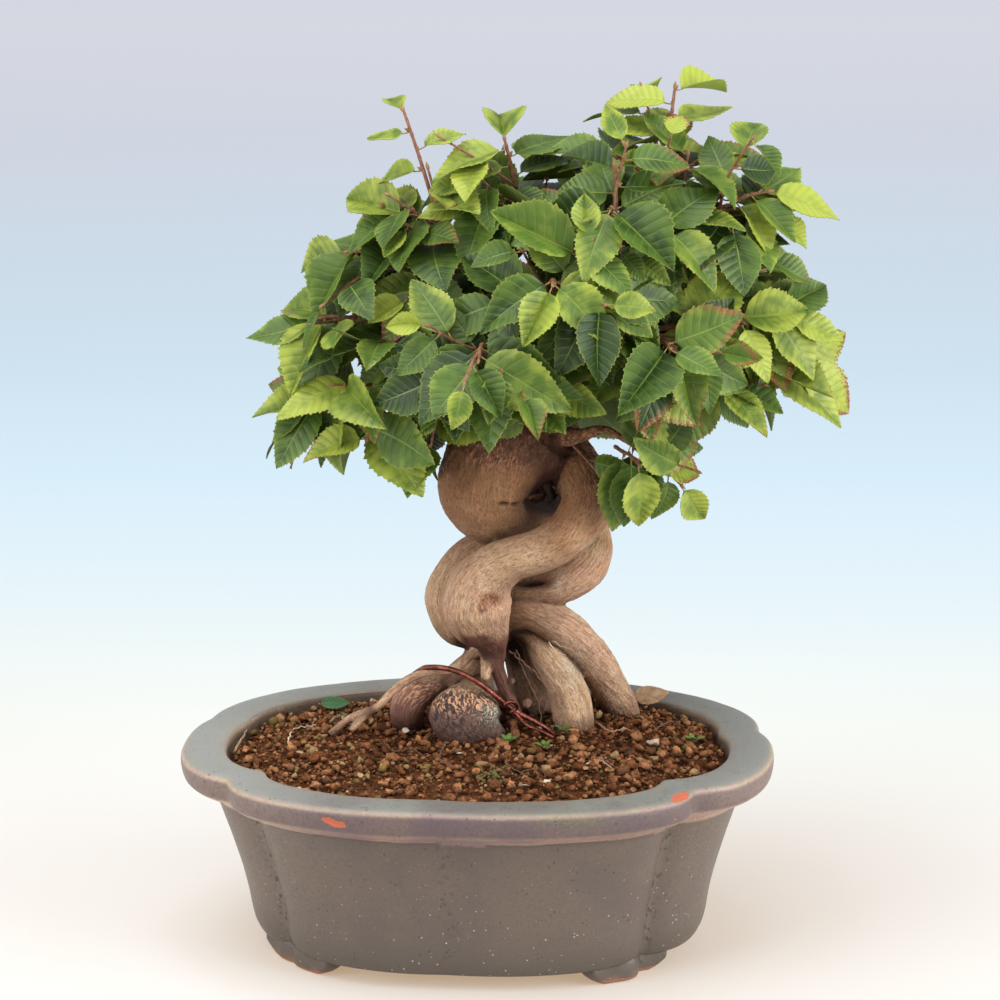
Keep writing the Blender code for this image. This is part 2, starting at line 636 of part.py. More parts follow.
def build_soil(group, cutters):
    """The granular soil, from the pot's floor to its mounded top, with plain holes."""
    rng = random.Random(SOIL_SEED)
    grains = []
    for _ in range(SOIL_GRAINS):
        angle = rng.uniform(0, math.tau)
        reach = math.sqrt(rng.uniform(0, 1))
        grains.append((0.095 * reach * math.cos(angle),
                       0.072 * reach * math.sin(angle) + POT_MIDDLE_BACK,
                       rng.uniform(GRAIN_SMALL, GRAIN_LARGE)))
    profile = [(None, SOIL_EDGE, 0.0)]
    wall = LIP_WIDTH + 0.0012 + GAP
    for i in range(1, SOIL_RINGS):
        profile.append((i / SOIL_RINGS, SOIL_EDGE, 1.0))
    profile += [
        (wall, SOIL_EDGE, 1.0),
        (0.0205 + GAP * 1.6, RIM_HEIGHT - 0.0200, 1.0),
        (0.0272 + GAP * 2.2, 0.0360, 1.0),
        (0.0322 + GAP * 2.6, FLOOR_TOP + 0.0040 + GAP, 1.0),
        (0.0400 + GAP * 2, FLOOR_TOP + GAP, 0.9),
        (None, FLOOR_TOP + GAP, 0.0),
    ]

    def place(index, angle):
        inset, height, strength = profile[index]
        if inset is None and index > 0:
            return 0.0, POT_MIDDLE_BACK, height
        if index > SOIL_RINGS:
            return (*lobed(angle, inset, strength), height)
        reach = index / SOIL_RINGS
        x, y = lobed(angle, wall, 1.0)
        x *= reach
        y = POT_MIDDLE_BACK + (y - POT_MIDDLE_BACK) * reach
        return x, y, soil_height(x, y, reach, grains)

    soil = turned_bowl("soil", profile, place)
    combine(soil, cutters, "DIFFERENCE")
    return finish(soil, group, "soil", (0.16, 0.075, 0.045), 0.95)


def wood_rows():
    """Every stretch of the tree's wood: its rows, its sides and whether it meets the soil."""
    rows = []
    for name, picks in STRANDS.items():
        rows.append((name, smooth_path([station(*p) for p in picks], 0.0104), 2))
    for name, picks in ROOTS.items():
        rows.append((name, smooth_path([station(*p) for p in picks], 0.0128), 1))
    for name, picks in LIMBS.items():
        rows.append((name, smooth_path([station(*p) for p in picks], 0.0340), 1))
    return rows


def build_trunk(group):
    """The tree's wood, fused, and a slightly larger copy of its foot that cuts the soil."""
    rows = wood_rows()
    pieces = [tube(name, path, sides) for name, path, sides in rows]
    trunk = combine(pieces[0], pieces[1:], "UNION")
    cutters = []
    for name, path, sides in rows:
        if name in STRANDS or name in ROOTS:
            low = min(point.z for point, _ in path)
            if low < 0.085:
                last, before = path[-1], path[-2]
                step = (last[0] - before[0]).normalized() * GAP * 1.5
                longer = list(path[:-1]) + [(last[0] + step, last[1])]
                cutters.append(tube(name + "_hole", longer, sides, GAP * 1.3))
    finish(trunk, group, "trunk", (0.27, 0.19, 0.13), 0.85)
    return trunk, cutters, {name: path for name, path, _ in rows}


def build_wire(group, wood):
    """The tie wire: up from the left wire hole, over the roots and down beside the front."""
    over = [seen(*pick)[0] for pick in WIRE_OVER]
    run = FLOOR_UNDER - WIRE_RADIUS - GAP
    back = POT_MIDDLE_BACK
    inside = FLOOR_UNDER + 4 * WIRE_BEND
    under = [(WIRE_HOLE_X, inside), (WIRE_HOLE_X - WIRE_BEND, run + WIRE_BEND),
             (WIRE_HOLE_X - 3 * WIRE_BEND, run)]
    hidden = [Vector((WIRE_HOLE_X, back, WIRE_TAIL))]
    hidden += [Vector((x, back, z)) for x, z in under]
    hidden += [Vector((0.0, back, run))]
    hidden += [Vector((-x, back, z)) for x, z in reversed(under)]
    rise = [Vector((-WIRE_HOLE_X, back, FLOOR_TOP + 0.008)),
            Vector((-WIRE_HOLE_X, back, FLOOR_TOP + 0.020)),
            Vector((over[0].x - 0.010, over[0].y - 0.004, 0.052))]
    rows = [(point, WIRE_RADIUS) for point in hidden]
    rows += smooth_path([(point, WIRE_RADIUS) for point in rise + over], 0.0046)
    points = [row[0].copy() for row in rows]
    first = len(hidden) + 3
    want = WIRE_RADIUS * 1.2 + GAP
    for turn in range(WIRE_TURNS):
        if turn < WIRE_TURNS - 10:
            for i in range(first + 1, len(points) - 1):
                points[i] = points[i].lerp((points[i - 1] + points[i + 1]) / 2, 0.25)
        for i in range(first, len(points)):
            ends = [(points[i], (i,))]
            if i + 1 < len(points):
                ends.append(((points[i] + points[i + 1]) / 2, (i, i + 1)))
            for spot, movers in ends:
                near, normal, _, distance = wood.find_nearest(spot)
                if (spot - near).dot(normal) < 0:
                    shift = normal * (distance + want)
                elif distance < want:
                    shift = (spot - near).normalized() * (want - distance + 0.00002)
                else:
                    continue
                for mover in movers:
                    points[mover] = points[mover] + shift
    return [(point, WIRE_RADIUS) for point in points]


# One leaf: fractions of the length and of the half width, with its teeth
LARGE_EDGE = ((0.04, 0.50), (0.24, 0.98), (0.36, 0.90), (0.52, 0.96), (0.62, 0.74), (0.76, 0.62),
              (0.84, 0.36))
SMALL_EDGE = ((0.04, 0.52), (0.32, 1.00), (0.46, 0.86), (0.64, 0.76), (0.76, 0.46))


def leaf_shape(base, along, face, length, petiole, width, curl, fold, grow=0.0):
    """Corners and faces of a hornbeam blade: toothed edges, a raised rib, and its stalk."""
    side = face.cross(along).normalized()
    up = along.cross(side).normalized()
    edge = LARGE_EDGE if length > 0.0310 else SMALL_EDGE
    half = length * width / 2 + grow
    stalk = 0.00055 + grow
    neck = base + along * petiole

    def place(t, w, z):
        bend = -curl * length * t * t + fold * abs(w) * half
        return neck + along * (t * (length + grow)) + side * (w * half) + up * (bend + z)

    corners = [base - along * 0.0004, neck + side * stalk, neck - side * stalk,
               neck - up * stalk * 1.5]
    corners += [place(t, w, 0.0) for t, w in edge]
    corners.append(place(1.0, 0.0, 0.0))
    corners += [place(t, -w, 0.0) for t, w in reversed(edge)]
    rib = BLADE_THICK / 2 + grow
    top = len(corners)
    low = top + 1
    corners += [place(0.42, 0.0, rib), place(0.42, 0.0, -rib)]
    ring = [1] + list(range(4, top)) + [2]
    faces = [(0, 2, 1), (0, 3, 2), (0, 1, 3)]
    for a, b in zip(ring, ring[1:]):
        faces.append((b, a, top))
        faces.append((a, b, low))
    faces += [(1, 2, top), (3, 1, low), (2, 3, low)]
    return corners, faces


def leaf_body(name, *shape):
    """A leaf as a mesh object."""
    corners, faces = leaf_shape(*shape)
    mesh = bpy.data.meshes.new(name)
    mesh.from_pydata(corners, [], faces)
    shell = bmesh.new()
    shell.from_mesh(mesh)
    bmesh.ops.recalc_face_normals(shell, faces=shell.faces)
    shell.to_mesh(mesh)
    shell.free()
    return bpy.data.objects.new(name, mesh)


def along_path(path, fraction):
    """The point, radius and direction at a fraction of a path."""
    place = fraction * (len(path) - 1)
    i = min(int(place), len(path) - 2)
    t = place - i
    point = path[i][0].lerp(path[i + 1][0], t)
    radius = path[i][1] * (1 - t) + path[i + 1][1] * t
    return point, radius, (path[i + 1][0] - path[i][0]).normalized()


def prism_tree(rows, grow):
    """A search tree over a four-sided prism along the rows."""
    corners = []
    faces = []
    for k, (point, radius) in enumerate(rows):
        a = rows[min(k + 1, len(rows) - 1)][0] - rows[max(k - 1, 0)][0]
        one = a.cross(Vector((0.3, 0.2, 1.0))).normalized()
        two = a.cross(one).normalized()
        for u, v in ((1, 0), (0, 1), (-1, 0), (0, -1)):
            corners.append(point + (one * u + two * v) * (radius + grow))
        if k:
            for i in range(4):
                j = (i + 1) % 4
                faces.append((k * 4 - 4 + i, k * 4 - 4 + j, k * 4 + j, k * 4 + i))
    last = len(corners)
    faces += [(3, 2, 1, 0), (last - 4, last - 3, last - 2, last - 1)]
    return BVHTree.FromPolygons(corners, faces)


def twig_rows(paths, wood, placed, limb, place, heading, length):
    """A twig's rows: it starts a hair off its limb's bark, or off the limb's cut end."""
    point, radius, _ = along_path(paths[limb], place)
    start_gap = GAP if place > 0.99 else radius * 0.6
    for push in range(60):
        start = point + heading * (start_gap + push * 0.0002)
        rise = Vector((0, 0, 0.0006))
        rows = [(start, TWIG_RADIUS),
                (start + heading * length * 0.5 + rise, (TWIG_RADIUS + TWIG_TIP_RADIUS) / 2),
                (start + heading * length - rise, TWIG_TIP_RADIUS)]
        near, normal, _, distance = wood.find_nearest(start)
        outside = (start - near).dot(normal) > 0 and distance > GAP * 0.5
        tree = prism_tree(rows, 0.0002)
        if outside and not tree.overlap(wood):
            if any(tree.overlap(item) for item in placed):
                return None
            return rows
    return None


def leaf_heading(rng, name, i, leaves, spot, heading, middle, shake):
    """The way that a leaf points and the way that it faces: out, up and to the front."""
    outward = spot - middle
    outward.normalize()
    front = turned(0.0, -1.0, 0.0)
    nearness = min(max(0.5 + (spot - middle).dot(front) / 0.06, 0.0), 1.0)
    level = min(max((spot.z - middle.z) / 0.07, -1.0), 1.0)
    wobble = Vector([rng.uniform(-1, 1) * shake for _ in range(3)])
    face = (outward * 0.55 + front * (0.75 * nearness)
            + Vector((0, 0, 0.62 + 0.25 * level)) + wobble).normalized()
    flat = heading.cross(face)
    if flat.length < 0.15:
        flat = Vector((1.0, 0.2, 0.0)).cross(face)
    flat.normalize()
    turn = 1 if i % 2 == 0 else -1
    last = i == leaves - 1
    swing = 0.2 if last else 0.95
    droop = 0.36 - 0.16 * level
    along = (heading * (1.0 if last else 0.55) + flat * turn * swing + outward * 0.35
             + Vector((0, 0, -droop)) + wobble.cross(face) * 0.9)
    along = (along - face * along.dot(face)).normalized()
    return along, face


def leaf_plan(paths, wood, solid):
    """Every shoot with its twig and its leaves' shapes, each clear of all the others."""
    middle = seen(*CROWN_MIDDLE)[0]
    placed = []
    plan = []
    for name, (limb, place, view, length, leaves, size) in SHOOTS.items():
        heading = turned(view[0], view[2], view[1]).normalized()
        rows = twig_rows(paths, wood, placed, limb, place, heading, length)
        if rows is None:
            print("no room for", name)
            continue
        own = []
        shapes = []
        for i in range(leaves):
            spot = along_path(rows, 0.14 + 0.84 * i / (leaves - 1))[0]
            for attempt in range(LEAF_TRIES):
                rng = random.Random("%s %d %d %d" % (name, i, attempt, LEAF_SEED))
                shake = 0.14 + 0.06 * attempt
                along, face = leaf_heading(rng, name, i, leaves, spot, heading, middle, shake)
                long = LEAF_LONG * size * rng.uniform(0.84, 1.20)
                long *= 0.88 if i == leaves - 1 else 1.0
                if attempt > 8:
                    long *= 0.85
                form = (rng.uniform(0.52, 0.62), rng.uniform(0.02, 0.22),
                        rng.uniform(0.02, 0.22))
                corners, faces = leaf_shape(spot + along * LEAF_ROOT, along, face, long,
                                            LEAF_STALK - LEAF_ROOT, *form, 0.00022)
                tree = BVHTree.FromPolygons(corners, faces)
                if not any(tree.overlap(item) for item in solid + placed + own):
                    shapes.append((spot, along, face, long, LEAF_STALK, *form))
                    own.append(tree)
                    break
        if shapes:
            placed += own + [prism_tree(rows, 0.0002)]
            plan.append((name, rows, shapes))
    return plan


def build_shoots(group, paths, trunk, others):
    """The leafy shoots: each a twig with its leaves fused on, clear of every other."""
    wood = tree_of(trunk)
    plan = leaf_plan(paths, wood, [wood] + [tree_of(item) for item in others])
    total = 0
    for name, rows, shapes in plan:
        twig = tube(name, rows, 0)
        combine(twig, [leaf_body("leaf", *shape) for shape in shapes], "UNION")
        finish(twig, group, "shoot_" + name, (0.10, 0.22, 0.05), 0.45)
        total += len(shapes)
    print("leaves %d on %d shoots" % (total, len(plan)))


def build_litter(group, soil, blockers):
    """Two leaves that lie on the soil, one green and one dry."""
    soil_tree = tree_of(soil)
    for name, (pick, heading, face, length, curl, colour) in LITTER.items():
        base = seen(*pick)[0]
        along = turned(heading[0], heading[1], heading[2]).normalized()
        up = turned(*face).normalized()
        up = (up - along * up.dot(along)).normalized()
        base.z = SOIL_EDGE - 0.001
        for _ in range(80):
            base.z += 0.0002
            tree = BVHTree.FromPolygons(*leaf_shape(base, along, up, length, 0.001, 0.7,
                                                    curl, 0.05, 0.00025))
            blocked = any(tree.overlap(item) for item in [soil_tree] + blockers)
            above = soil_tree.ray_cast(base + Vector((0, 0, 0.03)), Vector((0, 0, -1)))[0]
            if not blocked and above is not None and base.z > above.z:
                break
        leaf = leaf_body(name, base, along, up, length, 0.001, 0.7, curl, 0.05)
        finish(leaf, group, name, colour, 0.6)


def main():
    """Builds the plant and moves it so that the origin is under its middle."""
    clear_scene()
    group = new_collection(PART)
    build_pot(group)
    build_screens(group)
    trunk, cutters, paths = build_trunk(group)
    wood = tree_of(trunk)
    wire_rows = build_wire(group, wood)
    wire = tube("tie_wire", wire_rows, 1)
    finish(wire, group, "tie_wire", (0.30, 0.13, 0.08), 0.35, 0.8)
    wire_hole = tube("wire_hole", wire_rows, 1, GAP * 1.3)
    room = SCREEN_SIDE + 2 * GAP
    screens = [block((side * DRAIN_X, POT_MIDDLE_BACK, FLOOR_TOP),
                     (room, room, 2 * SCREEN_THICK + 5 * GAP)) for side in (-1, 1)]
    soil = build_soil(group, cutters + [wire_hole] + screens)
    build_shoots(group, paths, trunk, [soil, wire])
    build_litter(group, soil, [wood, tree_of(wire)])
    bpy.context.view_layer.update()
    corners = [item.matrix_world @ vert.co for item in group.objects
               for vert in item.data.vertices]
    middle_x = (min(c.x for c in corners) + max(c.x for c in corners)) / 2
    middle_y = (min(c.y for c in corners) + max(c.y for c in corners)) / 2
    frame = bpy.data.objects.new("frame", None)
    group.objects.link(frame)
    for item in list(group.objects):
        if item is not frame:
            item.parent = frame
    frame.location = (-middle_x, -middle_y, 0.0)
    print("pot's middle stands at %.5f %.5f" % (-middle_x, -middle_y))
    bpy.context.view_layer.update()


main()
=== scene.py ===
"""Korean hornbeam bonsai: bark, leaves, glaze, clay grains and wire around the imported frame.

The pot, the soil, the wood, the shoots, the wire and the two loose leaves are modelled again,
finer, where the frame's solids stand. Everything is in metres, +Z up.
"""

import logging
import math
import random
from dataclasses import dataclass, field
from enum import Enum

import bpy
import numpy as np
from mathutils import Matrix, Vector, noise
from mathutils.bvhtree import BVHTree


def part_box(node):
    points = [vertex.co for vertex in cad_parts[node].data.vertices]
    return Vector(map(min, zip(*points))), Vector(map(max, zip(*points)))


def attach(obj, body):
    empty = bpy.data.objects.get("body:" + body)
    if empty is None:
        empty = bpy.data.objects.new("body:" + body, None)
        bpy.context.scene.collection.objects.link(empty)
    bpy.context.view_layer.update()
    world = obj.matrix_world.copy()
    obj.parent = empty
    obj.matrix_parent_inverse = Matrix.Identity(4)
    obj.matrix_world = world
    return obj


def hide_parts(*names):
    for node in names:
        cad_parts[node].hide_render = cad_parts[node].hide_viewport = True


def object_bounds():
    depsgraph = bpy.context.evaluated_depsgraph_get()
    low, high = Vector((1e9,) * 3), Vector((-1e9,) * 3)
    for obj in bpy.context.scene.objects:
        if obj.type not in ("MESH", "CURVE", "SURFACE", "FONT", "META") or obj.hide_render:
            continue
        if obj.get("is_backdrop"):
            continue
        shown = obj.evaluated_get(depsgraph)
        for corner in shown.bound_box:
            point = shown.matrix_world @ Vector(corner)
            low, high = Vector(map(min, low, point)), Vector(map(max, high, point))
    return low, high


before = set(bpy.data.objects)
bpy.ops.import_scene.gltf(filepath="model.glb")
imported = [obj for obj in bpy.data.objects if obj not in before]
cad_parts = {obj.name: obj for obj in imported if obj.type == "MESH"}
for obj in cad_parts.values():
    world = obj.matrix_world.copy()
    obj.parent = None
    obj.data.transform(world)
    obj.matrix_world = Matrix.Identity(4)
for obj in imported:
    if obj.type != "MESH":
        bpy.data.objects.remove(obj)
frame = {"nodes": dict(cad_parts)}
CAD_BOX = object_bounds()
log = logging.getLogger("bonsai")

Point = tuple[float, ...]
Rows = list[tuple[Vector, float]]
# How many steps a smooth path takes from one station to the next
CURVE_STEPS = 8
# A direction that no line of wood or wire follows, for the first side of a tube
ACROSS = (0.31, 0.22, 0.92)


class Slot(Enum):
    """The record's material slots, one named for each kind of piece of this script."""

    POT = "pot"
    SOIL = "soil"
    TRUNK = "trunk"
    FOLIAGE = "foliage"
    WIRE = "tie_wire"
    FALLEN_LEAF = "fallen_leaf"
    DRY_LEAF = "dry_leaf"


# Wood: across and down in the front view, metres behind the pot's middle, half thickness in
# view units (2.7 to a millimetre)
STRANDS: dict[str, tuple[Point, ...]] = {
    "stem": ((516, 446, .024, 60), (528, 420, .024, 50), (548, 392, .024, 38),
             (572, 358, .024, 28), (600, 326, .024, 22), (626, 298, .024, 18),
             (638, 268, .022, 15), (641, 238, .020, 13.5), (646, 210, .020, 11),
             (655, 185, .022, 8), (667, 162, .024, 5.0)),
    "bulb": ((522, 436, .024, 58), (500, 466, .020, 57), (489, 492, .018, 52),
             (497, 508, .020, 40), (520, 516, .026, 30), (548, 520, .034, 24),
             (576, 530, .040, 22)),
    "front_loop": ((540, 440, .030, 40), (566, 462, .024, 30), (585, 486, .013, 26),
                   (585, 511, .006, 26), (564, 538, .000, 24), (538, 551, -.001, 22),
                   (512, 559, .000, 22), (492, 571, .003, 27), (480, 588, .005, 33),
                   (477, 604, .006, 36), (481, 620, .008, 32), (490, 636, .011, 20),
                   (494, 650, .013, 12), (496, 664, .014, 8)),
    "right_loop": ((560, 490, .046, 26), (580, 520, .042, 23), (590, 545, .032, 22),
                   (585, 567, .022, 22), (563, 583, .019, 20), (537, 589, .021, 17),
                   (514, 598, .026, 15), (513, 618, .028, 14), (530, 636, .024, 15),
                   (547, 655, .019, 17), (560, 676, .018, 19), (570, 698, .018, 20),
                   (574, 722, .018, 20), (576, 740, .019, 18)),
    "left_loop": ((545, 450, .044, 34), (536, 490, .050, 28), (520, 522, .046, 26),
                  (492, 548, .038, 25), (464, 570, .030, 25), (450, 596, .025, 25),
                  (460, 622, .026, 24), (486, 632, .030, 20), (508, 618, .028, 18),
                  (528, 610, .021, 19), (552, 620, .018, 19), (574, 637, .020, 19.5),
                  (592, 658, .026, 19), (607, 682, .033, 18.5), (619, 704, .039, 17.5),
                  (626, 724, .043, 17)),
}
ROOTS: dict[str, tuple[Point, ...]] = {
    "red_root": ((490, 636, .012, 14), (492, 652, .012, 11), (497, 668, .013, 7.5),
                 (504, 688, .014, 7), (512, 704, .016, 6.5), (519, 722, .019, 6)),
    "pale_root": ((484, 646, .018, 11), (470, 655, .016, 5.5), (456, 668, .014, 5),
                  (437, 672, .012, 4.5), (414, 676, .011, 4.5), (394, 690, .011, 4.5),
                  (376, 708, .010, 4.5), (351, 718, .011, 4.5), (330, 734, .013, 4)),
    "pale_side_root": ((372, 710, .010, 4), (362, 719, .009, 3.5), (350, 731, .006, 3.5)),
    "cut_stub": ((488, 650, .014, 8), (486, 668, .010, 5.5), (485, 681, .008, 5)),
    "left_knee": ((462, 674, .024, 8), (438, 684, .024, 10), (420, 692, .022, 15),
                  (409, 703, .021, 18), (407, 715, .022, 17), (408, 728, .024, 13)),
    "front_knee": ((486, 664, .026, 10), (480, 684, .026, 13), (471, 701, .018, 23),
                   (465, 714, .010, 31), (470, 727, .009, 29), (484, 737, .010, 17),
                   (496, 745, .012, 10)),
    "knee_bridge": ((490, 648, .020, 12), (470, 668, .024, 10), (448, 682, .024, 10)),
    "back_left_root": ((476, 628, .032, 16), (474, 656, .040, 12), (452, 674, .050, 9),
                       (430, 690, .060, 7)),
    "back_right_root": ((552, 619, .018, 15), (574, 650, .040, 12), (594, 676, .052, 9.5),
                        (606, 692, .060, 8)),
    "back_middle_root": ((510, 612, .032, 15), (516, 636, .038, 19), (526, 662, .042, 22),
                         (534, 688, .043, 24), (538, 712, .042, 24)),
}
LIMBS: dict[str, tuple[Point, ...]] = {
    "left_low": ((520, 425, .020, 22), (478, 398, .010, 14), (430, 384, .006, 10),
                 (388, 384, .006, 7), (352, 392, .008, 5)),
    "left_mid": ((542, 394, .024, 20), (490, 350, .022, 12), (440, 330, .016, 9),
                 (396, 322, .012, 7), (356, 318, .014, 5)),
    "left_up": ((560, 374, .025, 16), (506, 312, .027, 11), (462, 276, .022, 8.5),
                (422, 266, .018, 6.5), (388, 256, .018, 5)),
    "left_spur": ((470, 284, .024, 8), (450, 240, .016, 6), (434, 205, .014, 4.5)),
    "top_left": ((588, 340, .024, 14), (556, 280, .026, 10), (530, 226, .022, 7.5),
                 (514, 182, .018, 5)),
    "top_mid": ((612, 312, .024, 12), (602, 250, .032, 8), (594, 196, .038, 5.5)),
    "right_up": ((639, 264, .021, 11), (684, 226, .016, 8), (730, 204, .010, 5)),
    "right_mid": ((606, 320, .024, 14), (664, 300, .014, 10), (712, 298, .006, 7),
                  (748, 312, .002, 5)),
    "right_low": ((554, 388, .023, 18), (610, 382, .014, 12), (664, 372, .008, 9),
                  (714, 362, .006, 7), (748, 366, .006, 5)),
    "right_twig": ((545, 436, .018, 14), (578, 436, .004, 9), (606, 430, -.002, 7),
                   (640, 450, -.006, 5)),
    "front_low": ((532, 410, .018, 20), (508, 386, -.010, 12), (494, 364, -.024, 8),
                  (482, 344, -.034, 5)),
    "front_mid": ((575, 356, .022, 15), (570, 328, -.006, 9), (560, 300, -.022, 6.5),
                  (552, 280, -.032, 5)),
    "front_up": ((630, 292, .023, 11), (622, 252, -.002, 7.5), (610, 218, -.016, 5)),
    "front_right": ((602, 324, .023, 12), (634, 334, -.010, 8), (664, 340, -.026, 5)),
    "back_low": ((546, 400, .028, 18), (556, 368, .060, 11), (556, 340, .074, 7),
                 (552, 322, .082, 5)),
    "back_left": ((540, 398, .027, 15), (490, 354, .056, 9.5), (444, 324, .066, 7),
                  (412, 306, .072, 5)),
    "back_right": ((590, 340, .025, 13), (642, 310, .058, 9), (690, 284, .068, 6.5),
                   (722, 272, .074, 5)),
    "back_up": ((632, 286, .024, 11), (626, 236, .052, 8), (620, 196, .064, 5)),
}
# Shoots: the limb, how far along it, the heading (right, up, away), the length in metres,
# the number of leaves and their size
SHOOTS: dict[str, tuple] = {
    "left_low_tip": ("left_low", 1.0, (-1.0, -0.15, -0.1), 0.014, 5, 1.00),
    "left_low_front": ("left_low", 0.76, (-0.5, -0.7, -0.6), 0.018, 5, 1.05),
    "left_low_hang": ("left_low", 0.52, (-0.2, -0.9, -0.1), 0.016, 4, 1.05),
    "left_mid_tip": ("left_mid", 1.0, (-1.0, 0.05, -0.1), 0.014, 5, 1.00),
    "left_mid_front": ("left_mid", 0.70, (-0.5, 0.0, -0.8), 0.020, 5, 1.05),
    "left_mid_back": ("left_mid", 0.66, (-0.6, 0.2, 0.8), 0.018, 4, 1.00),
    "left_up_tip": ("left_up", 1.0, (-1.0, 0.15, 0.0), 0.014, 5, 0.95),
    "left_up_front": ("left_up", 0.70, (-0.4, 0.1, -0.9), 0.020, 5, 1.05),
    "left_up_back": ("left_up", 0.62, (-0.5, 0.5, 0.8), 0.018, 4, 0.95),
    "left_spur_tip": ("left_spur", 1.0, (-0.30, 1.0, 0.0), 0.036, 5, 0.52),
    "left_spur_side": ("left_spur", 0.80, (-0.9, 0.2, -0.3), 0.014, 4, 0.95),
    "top_left_tip": ("top_left", 1.0, (-0.2, 1.0, -0.1), 0.016, 5, 0.90),
    "top_left_front": ("top_left", 0.78, (-0.8, 0.4, -0.5), 0.018, 5, 0.95),
    "top_left_back": ("top_left", 0.62, (-0.3, 0.6, 0.8), 0.018, 4, 0.95),
    "top_mid_tip": ("top_mid", 1.0, (-0.1, 1.0, 0.1), 0.018, 5, 0.90),
    "top_mid_side": ("top_mid", 0.76, (-0.6, 0.6, -0.5), 0.016, 4, 0.95),
    "crown_tip": ("stem", 1.0, (0.10, 1.0, 0.0), 0.027, 5, 0.84),
    "crown_left": ("stem", 0.93, (-0.8, 0.6, -0.3), 0.018, 5, 0.90),
    "crown_right": ("stem", 0.90, (0.8, 0.55, -0.1), 0.020, 5, 0.90),
    "right_up_tip": ("right_up", 1.0, (0.9, 0.35, -0.1), 0.014, 5, 0.95),
    "right_up_front": ("right_up", 0.70, (0.4, 0.1, -0.8), 0.018, 5, 1.00),
    "right_up_back": ("right_up", 0.66, (0.5, 0.5, 0.7), 0.018, 4, 0.95),
    "right_mid_tip": ("right_mid", 1.0, (1.0, 0.0, -0.1), 0.014, 5, 1.00),
    "right_mid_front": ("right_mid", 0.70, (0.5, -0.1, -0.8), 0.018, 5, 1.05),
    "right_mid_back": ("right_mid", 0.72, (0.6, 0.4, 0.7), 0.018, 4, 0.95),
    "right_low_tip": ("right_low", 1.0, (1.0, 0.05, -0.1), 0.018, 5, 1.00),
    "right_low_front": ("right_low", 0.74, (0.4, -0.1, -0.8), 0.016, 5, 1.00),
    "right_low_hang": ("right_low", 0.86, (0.4, -0.2, 0.6), 0.014, 4, 0.90),
    "right_twig_tip": ("right_twig", 1.0, (0.8, -0.65, -0.1), 0.018, 4, 0.60),
    "right_twig_front": ("right_twig", 0.74, (0.4, -0.1, -0.9), 0.014, 5, 0.95),
    "front_low_tip": ("front_low", 1.0, (-0.1, -0.2, -1.0), 0.012, 5, 1.10),
    "front_low_left": ("front_low", 0.70, (-0.9, 0.0, -0.5), 0.020, 5, 1.10),
    "front_low_right": ("front_low", 0.66, (0.8, 0.0, -0.6), 0.018, 5, 1.05),
    "front_mid_tip": ("front_mid", 1.0, (0.0, 0.1, -1.0), 0.014, 5, 1.00),
    "front_mid_left": ("front_mid", 0.70, (-0.9, 0.2, -0.4), 0.020, 5, 1.00),
    "front_mid_right": ("front_mid", 0.72, (0.8, -0.1, -0.5), 0.018, 5, 1.00),
    "front_up_tip": ("front_up", 1.0, (0.0, 0.5, -1.0), 0.014, 5, 0.95),
    "front_up_left": ("front_up", 0.66, (-0.9, 0.3, -0.3), 0.018, 5, 1.00),
    "front_up_right": ("front_up", 0.72, (0.8, 0.3, -0.5), 0.018, 5, 1.00),
    "front_right_tip": ("front_right", 1.0, (0.4, -0.2, -1.0), 0.012, 5, 1.05),
    "front_right_low": ("front_right", 0.70, (-0.2, -0.9, -0.5), 0.016, 5, 1.05),
    "front_right_side": ("front_right", 0.66, (0.9, 0.2, -0.3), 0.018, 5, 1.00),
    "back_low_tip": ("back_low", 1.0, (0.0, -0.1, 1.0), 0.014, 4, 1.00),
    "back_low_left": ("back_low", 0.70, (-0.9, -0.2, 0.5), 0.018, 4, 1.05),
    "back_low_right": ("back_low", 0.70, (0.9, -0.2, 0.5), 0.018, 4, 1.05),
    "back_left_tip": ("back_left", 1.0, (-0.8, 0.0, 0.6), 0.014, 4, 1.00),
    "back_left_side": ("back_left", 0.66, (-0.1, 0.2, 1.0), 0.018, 4, 1.00),
    "back_right_tip": ("back_right", 1.0, (0.8, 0.1, 0.6), 0.014, 4, 1.00),
    "back_right_side": ("back_right", 0.66, (0.1, 0.3, 1.0), 0.018, 4, 1.00),
    "back_up_tip": ("back_up", 1.0, (0.0, 0.5, 0.9), 0.014, 4, 0.95),
    "back_up_left": ("back_up", 0.70, (-0.8, 0.4, 0.5), 0.018, 4, 0.95),
}
# Tie wire: where it shows in the front view, and metres behind the pot's middle
WIRE_OVER: tuple[Point, ...] = (
    (404, 706, .040), (406, 690, .034), (411, 677, .020), (423, 667, .010), (443, 663, .008),
    (463, 672, .006), (484, 684, .003), (499, 698, .004), (507, 710, .010), (520, 716, .012),
    (542, 722, .012), (556, 732, .011), (566, 744, .010))


def deselect_all() -> None:
    """Leaves edit mode and deselects every object."""
    if bpy.context.mode != "OBJECT":
        bpy.ops.object.mode_set(mode="OBJECT")
    bpy.ops.object.select_all(action="DESELECT")


def make_active(piece: bpy.types.Object) -> None:
    """Selects one object alone and makes it active.

    Args:
        piece: The object.
    """
    deselect_all()
    piece.select_set(True)
    bpy.context.view_layer.objects.active = piece


def apply_modifier(piece: bpy.types.Object, kind: str, **settings: object) -> None:
    """Adds a modifier with its settings and applies it.

    Args:
        piece: The object that it shapes.
        kind: Blender's name of the modifier's type.
        settings: The modifier's values.
    """
    step = piece.modifiers.new("Step", kind)
    for name, value in settings.items():
        setattr(step, name, value)
    make_active(piece)
    bpy.ops.object.modifier_apply(modifier=step.name)


